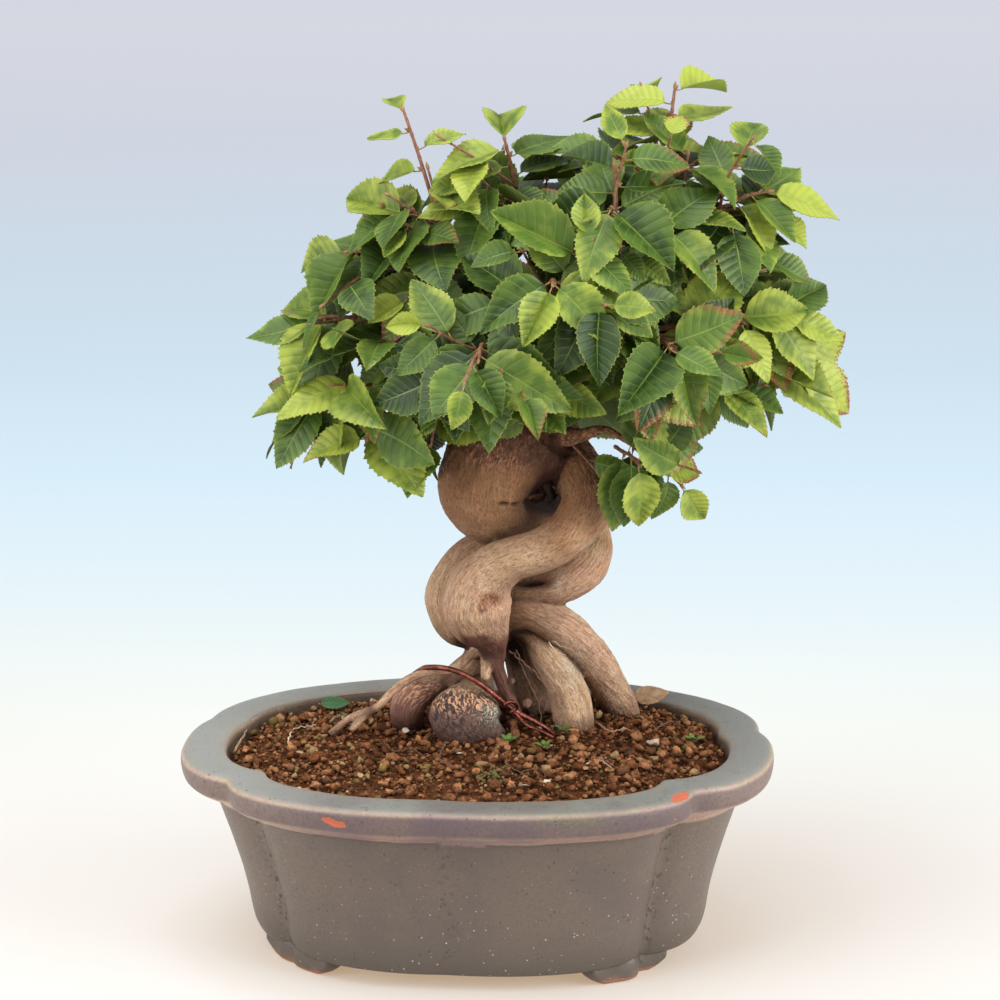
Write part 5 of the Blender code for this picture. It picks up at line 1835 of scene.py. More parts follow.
        # Moist bark near the soil line; the back roots' darkening is painted shade.
        damp = smooth_step(points[:, 2] + noise_at(points, 200.0, 8) * 0.004, 0.085, 0.0755)
        behind = smooth_step(away, 0.030, 0.040) * smooth_step(down, 610.0, 640.0)
        ragged = 1.0 + 0.5 * noise_at(points, 420.0, 10)
        left_knee = on("left_knee") * smooth_step(down, 672.0, 690.0)
        neck = on("front_loop") * smooth_step(down + wander * 10, 632.0, 648.0)
        neck = np.maximum(neck, on("red_root")) * (0.75 + 0.5 * ragged)
        hollow = 0.62 * dent + 0.75 * fold + 0.30 * low + bowl * 0.97
        mark(body, grain=grain, crust=np.clip(np.maximum(crust, scar), 0.0, 1.0),
             knee=np.clip(np.maximum(knee, left_knee) * 1.3 * ragged, 0.0, 1.0),
             mauve=left_knee * 0.85, streaky=0.12 + 0.34 * smooth_step(down, 585.0, 640.0),
             peel=np.clip(blots(self.peels) * 1.4, 0.0, 1.0),
             # Painted shade on the upper trunk under the crown.
             warm=smooth_step(down + wander * 30, 585.0, 500.0),
             # Painted shade in creases, dents, undersides and hollows.
             hollow=np.clip(hollow, 0.0, 1.0),
             moss=blots(self.moss_spots) * (0.25 + 0.6 * dent),
             lichen=blots(self.lichen_spots), red=np.clip(neck, 0.0, 0.95),
             # Moist bark near the soil, with painted shade on the back roots.
             damp=np.clip(damp + behind * 0.8, 0.0, 1.0),
             # Wound slits, and painted near-black shade deepest in the hollows.
             wound=np.maximum(wound, smooth_step(bowl, 0.55, 1.0) * 0.80))

    def build(self) -> bpy.types.Object:
        """The whole wood, worked.

        Returns:
            The finished object, at the origin.
        """
        body = self.skin()
        self.work_bark(body)
        return body

    def dress(self, body: bpy.types.Object, bark: Bark) -> None:
        """Gives the wood its bark."""
        body.data.shade_smooth()
        finish_piece(body, "trunk_and_limbs", Slot.TRUNK, (bark.paint(),), "trunk")


# One leaf's outline in the frame's solids: fractions of the length and of the half width
LARGE_EDGE = ((0.04, 0.50), (0.24, 0.98), (0.36, 0.90), (0.52, 0.96), (0.62, 0.74), (0.76, 0.62),
              (0.84, 0.36))
# How long a leaf is that gets the large outline, in metres
LARGE_LEAF = 0.0310
SMALL_EDGE = ((0.04, 0.52), (0.32, 1.00), (0.46, 0.86), (0.64, 0.76), (0.76, 0.46))


@dataclass
class Leaf:
    """One leaf: where its stalk starts, how it lies, its sizes and its colours."""

    spot: Vector
    along: Vector
    face: Vector
    length: float
    stalk: float
    width: float
    curl: float
    fold: float
    tone: float = 0.5
    rust: float = 0.0
    sway: float = 0.0
    twist: float = 0.0
    ripple: float = 0.0
    phase: float = 0.0

    def centre(self) -> Vector:
        """About the middle of the leaf."""
        return self.spot + self.along * (self.length * 0.6)

    def frame(self) -> tuple[np.ndarray, np.ndarray, np.ndarray]:
        """The leaf's own directions: along it, across it and up from its face.

        Returns:
            The three directions.
        """
        along = np.array(self.along)
        flat = np.array(self.face.cross(self.along).normalized())
        return along, flat, np.cross(along, flat)

    def rough_shape(self, grow: float, root: float) -> tuple[list[Vector], list[tuple]]:
        """The leaf's coarse solid, for keeping leaves clear of each other.

        Args:
            grow: How much larger than the leaf it is.
            root: How much of the stalk is left out of it.

        Returns:
            Its corners and faces.
        """
        base = self.spot + self.along * root
        side = self.face.cross(self.along).normalized()
        up = self.along.cross(side).normalized()
        edge = LARGE_EDGE if self.length > LARGE_LEAF else SMALL_EDGE
        half = self.length * self.width / 2 + grow
        stalk = 0.00055 + grow
        neck = base + self.along * (self.stalk - root)

        def place(t: float, w: float, z: float = 0.0) -> Vector:
            """A point of the blade."""
            bend = -self.curl * self.length * t * t + self.fold * abs(w) * half
            return (neck + self.along * (t * (self.length + grow)) + side * (w * half)
                    + up * (bend + z))

        corners = [base - self.along * 0.0004, neck + side * stalk, neck - side * stalk,
                   neck - up * stalk * 1.5]
        corners += [place(t, w) for t, w in edge]
        corners.append(place(1.0, 0.0))
        corners += [place(t, -w) for t, w in reversed(edge)]
        rib = 0.00035 + grow
        top = len(corners)
        low = top + 1
        corners += [place(0.42, 0.0, rib), place(0.42, 0.0, -rib)]
        ring = [1, *range(4, top), 2]
        faces = [(0, 2, 1), (0, 3, 2), (0, 1, 3)]
        for a, b in zip(ring, ring[1:]):
            faces += [(b, a, top), (a, b, low)]
        faces += [(1, 2, top), (3, 1, low), (2, 3, low)]
        return corners, faces


@dataclass
class LeafPattern:
    """The master blade: a grid of rows that follow the veins, doubled into a thin shell."""

    veins: int = 9
    thick: float = 0.00026
    pleat: float = 0.0100
    teeth: tuple = (0.065, -0.055, 0.005, -0.035)
    leads: tuple = (0.014, -0.004, 0.006, 0.0)
    stalk_radii: tuple = (0.00040, 0.00028, 0.00026, 0.00020)
    rows: np.ndarray = field(default_factory=lambda: np.zeros(0))
    across: np.ndarray = field(default_factory=lambda: np.zeros(0))
    side: np.ndarray = field(default_factory=lambda: np.zeros(0))
    faces: np.ndarray = field(default_factory=lambda: np.zeros((0, 3), int))

    def model(self) -> None:
        """Models the master once: a grid with finer edges, made a shell by Solidify."""
        deselect_all()
        bpy.ops.mesh.primitive_grid_add(x_subdivisions=2 * self.veins, y_subdivisions=4,
                                        size=2.0)
        master = bpy.context.active_object
        points = corners_of(master)
        bpy.ops.object.mode_set(mode="EDIT")
        bpy.ops.mesh.select_mode(type="EDGE")
        bpy.ops.mesh.select_all(action="DESELECT")
        bpy.ops.object.mode_set(mode="OBJECT")
        for edge in master.data.edges:
            edge.select = all(abs(points[i, 1]) > 0.99 for i in edge.vertices)
        bpy.ops.object.mode_set(mode="EDIT")
        bpy.ops.mesh.subdivide(number_cuts=1)
        bpy.ops.object.mode_set(mode="OBJECT")
        apply_modifier(master, "SOLIDIFY", thickness=0.2, offset=0.0)
        apply_modifier(master, "TRIANGULATE")
        points = corners_of(master)
        self.rows = (points[:, 0] + 1) / 2
        self.across = np.sign(points[:, 1]) * np.abs(points[:, 1]) ** 0.9
        self.side = np.sign(points[:, 2])
        self.faces = np.array([tuple(face.vertices) for face in master.data.polygons])
        bpy.data.objects.remove(master, do_unlink=True)

    def blade(self, leaf: Leaf) -> tuple[np.ndarray, np.ndarray]:
        """A leaf's blade, bent as it lies.

        Args:
            leaf: The leaf.

        Returns:
            Its points and their map.
        """
        s, w, side = self.rows, self.across, self.side
        lean = 0.62 * s ** 0.75 * (1 - s) ** 1.1
        edge_t = np.clip(s + lean, 0.0, 1.0)
        edge = np.abs(w) > 0.9
        rib = np.abs(w) < 0.1
        step = np.rint(s * self.veins * 4).astype(int) % 4
        strong = smooth_step(edge_t, 0.04, 0.20) * np.where(edge, 1.0, 0.0)
        t = s + lean * np.abs(w) ** 1.1 + np.array(self.leads)[step] * strong * (s < 0.99)
        half = np.maximum(np.sin(math.pi * edge_t ** 0.75), 0.0) ** 0.75
        half = np.minimum(half, 1.9 * (1 - edge_t) ** 0.85)
        half = half * (1.0 + np.array(self.teeth)[step] * strong)
        half = half * (1.0 + 0.07 * math.sin(leaf.phase) * np.sign(w))
        out = w * np.maximum(half, 0.020) * leaf.length * leaf.width / 2
        between = 0.5 - 0.5 * np.cos(s * self.veins * math.tau)
        swell = between * np.sin(math.pi * np.clip(s, 0.02, 0.98)) ** 0.6
        swell *= np.where(rib, 0.10, np.where(edge, 0.45, 1.0))
        wave = np.sin(leaf.phase + t * 8.0 + np.sign(w) * 1.3) * np.abs(w) ** 1.5
        bend = (-leaf.curl * leaf.length * t * t + leaf.fold * np.abs(out)
                + swell * self.pleat * leaf.length + leaf.ripple * leaf.length * wave)
        c, sn = np.cos(leaf.twist * t), np.sin(leaf.twist * t)
        level = out * c - bend * sn + leaf.sway * leaf.length * t * t
        rise = out * sn + bend * c + side * self.thick / 2 * np.where(rib & (side < 0), 1.9, 1.0)
        along, flat, up = leaf.frame()
        neck = np.array(leaf.spot) + along * leaf.stalk
        points = (neck + np.outer(t * leaf.length, along) + np.outer(level, flat)
                  + np.outer(rise, up))
        return points, np.stack((s, 0.5 + 0.5 * w), axis=1)

    def add_to(self, shells: ManyShells, leaf: Leaf) -> None:
        """Adds a leaf's blade and its stalk to a shoot.

        Args:
            shells: The shoot's shells.
            leaf: The leaf.
        """
        points, chart = self.blade(leaf)
        shells.add(points, self.faces, 0, chart, tone=leaf.tone, rust=leaf.rust,
                   under=np.where(self.side < 0, 1.0, 0.0))
        steps = np.linspace(0.0, 1.0, len(self.stalk_radii))
        along, _, up = leaf.frame()
        line = np.array(leaf.spot) + np.outer(steps * (leaf.stalk + 0.0012), along)
        line -= np.outer(np.sin(steps * math.pi) * 0.00035 + 0.00018, up)
        shells.add_tube(line, np.array(self.stalk_radii), 4, 1, tone=0.8)


@dataclass
class Crown:
    """The leafy shoots: the frame's own, and more of them where the crown is dense."""

    view: FrontView
    wood: BVHTree
    solid: list[BVHTree]
    box: list
    pattern: LeafPattern
    seed: int = 31
    gap: float = 0.00035
    leaf_long: float = 0.0262
    leaf_stalk: float = 0.0032
    leaf_root: float = 0.0020
    twig_radius: float = 0.00075
    twig_tip_radius: float = 0.00055
    spray_radii: Point = (0.00065, 0.00052, 0.00042)
    bud_radii: Point = (0.30, 0.52, 0.60, 0.46, 0.26, 0.06)
    tip_bud_radii: Point = (0.45, 0.66, 0.72, 0.55, 0.30, 0.06)
    facet_allowance: float = 1.06
    strand_spacing: float = 0.0104
    limb_spacing: float = 0.0340
    tries: int = 18
    spray_tries: int = 7
    reach_for_leaves: float = 0.034
    folds: tuple = (0.06, 0.16, 0.28, 0.45, 0.80)
    widening: float = 1.16
    middle_pick: Point = (560, 310, .024)
    lowest_tip: float = 425.0
    trunk_window: Point = (600.0, 720.0)
    # Ramps of the leaves' tone, partly painted light: a bright corner, lighter leaves high up, at
    # the sides, at the front and round the crown's edge.
    bright_corner: Point = (480.0, 215.0)
    foot_of_crown: float = 470.0
    tall: float = 400.0
    left_ramp: Point = (520.0, 260.0)
    right_ramp: Point = (600.0, 200.0)
    depth_ramp: Point = (0.03, 0.09)
    oval: Point = (550.0, 285.0, 285.0, 205.0)
    oval_ramp: Point = (0.62, 0.38)
    outline: tuple = ((248, 452), (262, 398), (254, 372), (292, 350), (284, 318), (300, 290),
                      (328, 280), (330, 255), (362, 238), (362, 205), (400, 190), (440, 185),
                      (480, 150), (520, 118), (545, 100), (600, 95), (640, 100), (632, 84),
                      (650, 72), (690, 78), (714, 85), (720, 115), (775, 118), (785, 145),
                      (812, 178), (804, 225), (808, 300), (790, 330), (835, 335), (853, 365),
                      (810, 372), (812, 424), (780, 400), (740, 405), (700, 418), (690, 440),
                      (685, 480), (640, 490), (620, 528), (606, 468), (560, 436), (500, 430),
                      (450, 432), (437, 470), (433, 482), (412, 495), (385, 495), (372, 465),
                      (320, 462), (290, 465), (262, 450))
    placed: list = field(default_factory=list)
    centres: list = field(default_factory=list)

    def paths(self) -> dict[str, Rows]:
        """The limbs' paths as the frame has them.

        Returns:
            Each limb's points and radii.
        """
        made = {}
        for table, spacing in ((STRANDS, self.strand_spacing), (LIMBS, self.limb_spacing)):
            for name, picks in table.items():
                rows = [self.view.station(*pick) for pick in picks]
                rows = [(point, radius * self.facet_allowance) for point, radius in rows]
                made[name] = smooth_path(rows, spacing)
        return made

    @staticmethod
    def prism(rows: Rows, grow: float = 0.0002) -> BVHTree:
        """A search tree over a four-sided prism along a twig.

        Args:
            rows: The twig's points and radii.
            grow: How much thicker than the twig it is.

        Returns:
            The search tree.
        """
        corners = []
        faces = []
        for k, (point, radius) in enumerate(rows):
            a = rows[min(k + 1, len(rows) - 1)][0] - rows[max(k - 1, 0)][0]
            one = a.cross(Vector((0.3, 0.2, 1.0))).normalized()
            two = a.cross(one).normalized()
            for u, v in ((1, 0), (0, 1), (-1, 0), (0, -1)):
                corners.append(point + (one * u + two * v) * (radius + grow))
            if k:
                for i in range(4):
                    j = (i + 1) % 4
                    faces.append((k * 4 - 4 + i, k * 4 - 4 + j, k * 4 + j, k * 4 + i))
        last = len(corners)
        faces += [(3, 2, 1, 0), (last - 4, last - 3, last - 2, last - 1)]
        return BVHTree.FromPolygons(corners, faces)

    def twig(self, path: Rows, place: float, heading: Vector, length: float) -> Rows | None:
        """A twig's rows: it starts a hair off its limb's bark, or off the limb's cut end.

        Args:
            path: The limb's path.
            place: How far along the limb.
            heading: The twig's direction.
            length: Its length.

        Returns:
            Its three rows, or nothing where there is no room.
        """
        point, radius, _ = along_path(path, place)
        start_gap = self.gap if place > 0.99 else radius * 0.6
        rise = Vector((0, 0, 0.0006))
        middle = (self.twig_radius + self.twig_tip_radius) / 2
        for push in range(60):
            start = point + heading * (start_gap + push * 0.0002)
            rows = [(start, self.twig_radius), (start + heading * length * 0.5 + rise, middle),
                    (start + heading * length - rise, self.twig_tip_radius)]
            near, normal, _, distance = self.wood.find_nearest(start)
            outside = (start - near).dot(normal) > 0 and distance > self.gap * 0.5
            tree = self.prism(rows)
            if outside and not tree.overlap(self.wood):
                return None if any(tree.overlap(item) for item in self.placed) else rows
        return None

    def heading(self, rng: random.Random, i: int, leaves: int, spot: Vector, heading: Vector,
                middle: Vector, shake: float) -> tuple[Vector, Vector]:
        """The way that a leaf points and faces: out, up and to the front.

        Args:
            rng: The leaf's own random numbers.
            i: Its number on the twig.
            leaves: The twig's number of leaves.
            spot: Where its stalk starts.
            heading: The twig's direction.
            middle: The crown's middle.
            shake: How much chance there is in it.

        Returns:
            The two directions.
        """
        outward = (spot - middle).normalized()
        front = self.view.turned(0.0, -1.0, 0.0)
        nearness = limit(0.5 + (spot - middle).dot(front) / 0.06)
        level = limit((spot.z - middle.z) / 0.07, -1.0)
        wobble = Vector([rng.uniform(-1, 1) * shake for _ in range(3)])
        face = (outward * 0.55 + front * (0.75 * nearness)
                + Vector((0, 0, 0.62 + 0.25 * level)) + wobble).normalized()
        flat = heading.cross(face)
        if flat.length < 0.15:
            flat = Vector((1.0, 0.2, 0.0)).cross(face)
        flat.normalize()
        turn = 1 if i % 2 == 0 else -1
        last = i == leaves - 1
        swing = 0.2 if last else 0.95
        droop = 0.36 - 0.16 * level
        along = (heading * (1.0 if last else 0.55) + flat * turn * swing + outward * 0.35
                 + Vector((0, 0, -droop)) + wobble.cross(face) * 0.9)
        return (along - face * along.dot(face)).normalized(), face

    def plan_frame(self) -> list[tuple[str, Rows, list[Leaf]]]:
        """The frame's shoots: each twig's rows, from inside its limb, and its leaves.

        Returns:
            The shoots that have room: name, rows and leaves.
        """
        paths = self.paths()
        middle = self.view.seen(*self.middle_pick)
        plan = []
        for name, (limb, place, aim, length, leaves, size) in SHOOTS.items():
            heading = self.view.turned(aim[0], aim[2], aim[1]).normalized()
            rows = self.twig(paths[limb], place, heading, length)
            if rows is None:
                continue
            own = []
            made = []
            for i in range(leaves):
                spot = along_path(rows, 0.14 + 0.84 * i / (leaves - 1))[0]
                for attempt in range(self.tries):
                    rng = random.Random("%s %d %d %d" % (name, i, attempt, self.seed))
                    along, face = self.heading(rng, i, leaves, spot, heading, middle,
                                               0.14 + 0.06 * attempt)
                    long = self.leaf_long * size * rng.uniform(0.84, 1.20)
                    long *= 0.88 if i == leaves - 1 else 1.0
                    long *= 0.85 if attempt > 8 else 1.0
                    leaf = Leaf(spot, along, face, long, self.leaf_stalk,
                                rng.uniform(0.52, 0.62), rng.uniform(0.02, 0.22),
                                rng.uniform(0.02, 0.22))
                    tree = BVHTree.FromPolygons(*leaf.rough_shape(0.00022, self.leaf_root))
                    if not any(tree.overlap(item) for item in self.solid + self.placed + own):
                        made.append(leaf)
                        own.append(tree)
                        break
            if made:
                self.placed += own + [self.prism(rows)]
                inner = along_path(paths[limb], place)[0]
                plan.append((name, [(inner, self.twig_radius)] + rows, made))
        return plan

    def inside(self, across: float, down: float) -> bool:
        """Whether the front view's crown outline holds a place.

        Args:
            across: The place's distance from the view's left side.
            down: Its distance from the top.

        Returns:
            Whether it is inside.
        """
        odd = False
        last = self.outline[-1]
        for spot in self.outline:
            if (spot[1] > down) != (last[1] > down):
                cut = (last[0] - spot[0]) * (down - spot[1]) / (last[1] - spot[1]) + spot[0]
                odd ^= across < cut
            last = spot
        return odd

    def has_room(self, leaf: Leaf, tree: BVHTree, corners: list[Vector]) -> bool:
        """Whether a further leaf stays in the crown and clear of what stands there.

        Args:
            leaf: The leaf.
            tree: The search tree of its rough shape.
            corners: Its rough shape's corners.

        Returns:
            Whether it may stay.
        """
        for corner in corners[4::3]:
            if not self.inside(*self.view.projected(corner)[:2]):
                return False
        low = [min(corner[k] for corner in corners) for k in range(3)]
        high = [max(corner[k] for corner in corners) for k in range(3)]
        if any(low[k] < self.box[0][k] or high[k] > self.box[1][k] for k in range(3)):
            return False
        if tree.overlap(self.wood):
            return False
        away = np.linalg.norm(np.array(self.centres) - np.array(leaf.centre()), axis=1)
        close = np.nonzero(away < self.reach_for_leaves)[0]
        return not any(tree.overlap(self.placed[i]) for i in close)

    def lift_clear(self, leaf: Leaf) -> None:
        """Turns up a leaf that hangs below the crown, but not in front of the right twig.

        Args:
            leaf: The leaf.
        """
        least, most = self.trunk_window
        for _ in range(4):
            across, down, _ = self.view.projected(leaf.spot + leaf.along * leaf.length)
            if down < self.lowest_tip or least < across < most or self.inside(across, down):
                break
            leaf.along = (leaf.along + Vector((0.0, 0.0, 0.55))).normalized()
            leaf.face = (leaf.face - leaf.along * leaf.face.dot(leaf.along)).normalized()
            leaf.length *= 0.95

    def colour(self, leaf: Leaf, rng: random.Random, offset: float) -> None:
        """Sets a leaf's tone, rust and bends by its place in the crown; the tone is partly the
        leaf's own colour and chance, partly painted light.

        Args:
            leaf: The leaf.
            rng: Its random numbers.
            offset: What its spray adds to its tone.
        """
        across, down, away = self.view.projected(leaf.spot + leaf.along * leaf.length)
        height = limit((self.foot_of_crown - down) / self.tall)
        left = limit((self.left_ramp[0] - across) / self.left_ramp[1])
        depth = limit((self.depth_ramp[0] - away) / self.depth_ramp[1], -0.5)
        right = limit((across - self.right_ramp[0]) / self.right_ramp[1])
        x, y, wide, tall = self.oval
        reach = math.hypot((across - x) / wide, (down - y) / tall)
        outer = limit((reach - self.oval_ramp[0]) / self.oval_ramp[1]) ** 2
        # Painted light: leaves high up, at the sides, at the front and round the crown's edge are
        # lighter and inner ones darker; the spray's offset and the chance are the leaves' own.
        tone = (0.08 + 0.42 * height ** 1.7 + 0.18 * left ** 2 + 0.15 * right
                + 0.18 * depth + 0.24 * outer + offset + rng.gauss(0.0, 0.17))
        if across < self.bright_corner[0] and down < self.bright_corner[1]:
            tone = max(tone, 0.72)
        leaf.tone = limit(tone)
        self.lift_clear(leaf)
        if rng.random() < 0.12 + 0.42 * right:
            leaf.rust = rng.uniform(0.15, 0.70)
        leaf.width *= self.widening
        leaf.fold = rng.choice(self.folds) + rng.uniform(-0.06, 0.10)
        leaf.curl += rng.gauss(0.05, 0.12)
        leaf.sway = rng.gauss(0.0, 0.08)
        leaf.twist = rng.gauss(0.0, 0.28)
        leaf.ripple = rng.uniform(0.006, 0.030)
        leaf.phase = rng.uniform(0.0, math.tau)

    def spray(self, name: str, base: Vector, heading: Vector, length: float, leaves: int,
              size: float, rng: random.Random) -> tuple[Rows, list[Leaf]]:
        """A further twig with leaves where there is room for them.

        Args:
            name: Its name, for its random numbers.
            base: Where it leaves its limb.
            heading: Its direction.
            length: Its length.
            leaves: How many leaves it may bear.
            size: Their size.
            rng: Random numbers for its bends.

        Returns:
            The twig's rows and its leaves.
        """
        middle = self.view.seen(*self.middle_pick)
        sag = Vector((rng.gauss(0, 0.1), rng.gauss(0, 0.1), rng.uniform(-0.1, 0.1))) * length
        line = (base, base + heading * length * 0.5 + sag * 0.5, base + heading * length)
        rows = list(zip(line, self.spray_radii))
        made = []
        for i in range(leaves):
            spot = along_path(rows, 0.20 + 0.80 * i / max(leaves - 1, 1))[0]
            for attempt in range(self.spray_tries):
                draw = random.Random("%s %d %d" % (name, i, attempt))
                along, face = self.heading(draw, i, leaves, spot, heading, middle,
                                           0.42 + 0.08 * attempt)
                small = 0.92 if attempt > 3 else 1.0
                small *= 0.74 if i == leaves - 1 else 1.0
                long = self.leaf_long * size * draw.uniform(0.74, 1.20) * small
                leaf = Leaf(spot, along, face, long, self.leaf_stalk, draw.uniform(0.50, 0.62),
                            draw.uniform(0.02, 0.26), draw.uniform(0.02, 0.26))
                corners, faces = leaf.rough_shape(0.0001, self.leaf_root)
                tree = BVHTree.FromPolygons(corners, faces)
                if self.has_room(leaf, tree, corners):
                    self.placed.append(tree)
                    self.centres.append(np.array(leaf.centre()))
                    made.append(leaf)
                    break
        return rows, made

    def plan_more(self) -> dict[str, list[tuple[Rows, list[Leaf]]]]:
        """Further sprays along every limb, where the photographed crown is dense.

        Returns:
            For each limb its sprays' rows and leaves.
        """
        middle = self.view.seen(*self.middle_pick)
        more = {}
        for limb in [*LIMBS, "stem"]:
            table = LIMBS.get(limb) or STRANDS[limb]
            path = smooth_path([self.view.station(*pick) for pick in table], 0.002)
            rng = random.Random("sprays on " + limb)
            more[limb] = []
            start = 0.38 if limb == "stem" else 0.24
            count = int(len(path) * (1 - start) / 2.6)
            for k in range(count):
                place = start + (1 - start) * (k + rng.random()) / count
                point, _, ahead = along_path(path, min(place, 1.0))
                outward = (point - middle).normalized()
                aim = Vector((rng.gauss(0, 1), rng.gauss(0, 1), rng.gauss(0.2, 0.8)))
                aim = (aim - ahead * aim.dot(ahead) * 0.5).normalized()
                heading = (aim + outward * 0.9 + ahead * 0.35).normalized()
                rows, leaves = self.spray("%s %d" % (limb, k), point, heading,
                                          rng.uniform(0.014, 0.034), rng.randint(3, 6),
                                          rng.uniform(0.78, 1.08), rng)
                if leaves:
                    more[limb].append((rows, leaves))
        return more

    def twig_shells(self, shells: ManyShells, rows: Rows, leaves: list[Leaf],
                    rng: random.Random) -> None:
        """Adds a twig with its swollen nodes and its buds.

        Args:
            shells: The shoot's shells.
            rows: The twig's rows.
            leaves: Its leaves, at whose stalks the buds sit.
            rng: Random numbers for the buds.
        """
        fine = smooth_path(rows, 0.0010)
        radii = np.array([row[1] for row in fine])
        steps = np.arange(len(fine))
        radii = radii * (1.0 + 0.22 * np.maximum(0.0, np.sin(steps * 1.35)) ** 6)
        radii[-1] *= 0.4
        shells.add_tube(np.array([row[0] for row in fine]), radii, 6, 1, tone=0.0)
        for leaf in leaves:
            lift = np.array((leaf.along + leaf.face * 0.8).normalized())
            long = rng.uniform(0.0012, 0.0024)
            bud = np.array(leaf.spot) + np.outer(np.linspace(0.0, 1.0, 6) * long, lift)
            girth = np.array(self.bud_radii) * 0.001 * long / 0.0018
            shells.add_tube(bud, girth, 4, 1, tone=rng.uniform(0.0, 0.5))
        ahead = np.array((rows[-1][0] - rows[-2][0]).normalized())
        bud = np.array(rows[-1][0]) + np.outer(np.linspace(-0.2, 1.0, 6) * 0.0026, ahead)
        shells.add_tube(bud, np.array(self.tip_bud_radii) * 0.001, 6, 1, tone=0.3)

    def piece(self, name: str, sprays: list[tuple[Rows, list[Leaf]]]) -> bpy.types.Object:
        """One piece made of sprays.

        Args:
            name: The piece's name.
            sprays: Twigs' rows with their leaves.

        Returns:
            The piece's object.
        """
        shells = ManyShells("tone", "rust", "under")
        for rows, leaves in sprays:
            rng = random.Random("%s %.5f" % (name, rows[0][0].x))
            self.twig_shells(shells, rows, leaves, rng)
            offset = rng.gauss(0.0, 0.12)
            for leaf in leaves:
                self.colour(leaf, rng, offset + (0.16 if leaf is leaves[-1] else 0.0))
                self.pattern.add_to(shells, leaf)
        return shells.build(name, "leaf")

    def build(self) -> dict[str, tuple[bpy.types.Object, str]]:
        """Every leafy piece, each with the frame's node that it stands for, if any.

        Returns:
            The pieces and their nodes, by name.
        """
        plan = self.plan_frame()
        for _, rows, leaves in plan:
            self.centres += [np.array(leaf.centre()) for leaf in leaves]
            self.centres.append(np.array(rows[2][0]))
        made = {}
        for name, rows, leaves in plan:
            made["leaves_" + name] = (self.piece("leaves_" + name, [(rows, leaves)]),
                                      "shoot_" + name)
        for limb, sprays in self.plan_more().items():
            if sprays:
                made["sprays_" + limb] = (self.piece("sprays_" + limb, sprays), "")
        return made

    def dress(self, pieces: dict[str, tuple[bpy.types.Object, str]], leaf: LeafFinish,
              twig: TwigFinish) -> None:
        """Gives the leaves and the twigs their finishes.

        Args:
            pieces: The pieces and their nodes.
            leaf: The leaves' finish.
            twig: The twigs' finish.
        """
        paints = (leaf.paint("hornbeam_leaf"), twig.paint())
        for name, (body, node) in pieces.items():
            finish_piece(body, name, Slot.FOLIAGE, paints, *([node] if node else []))


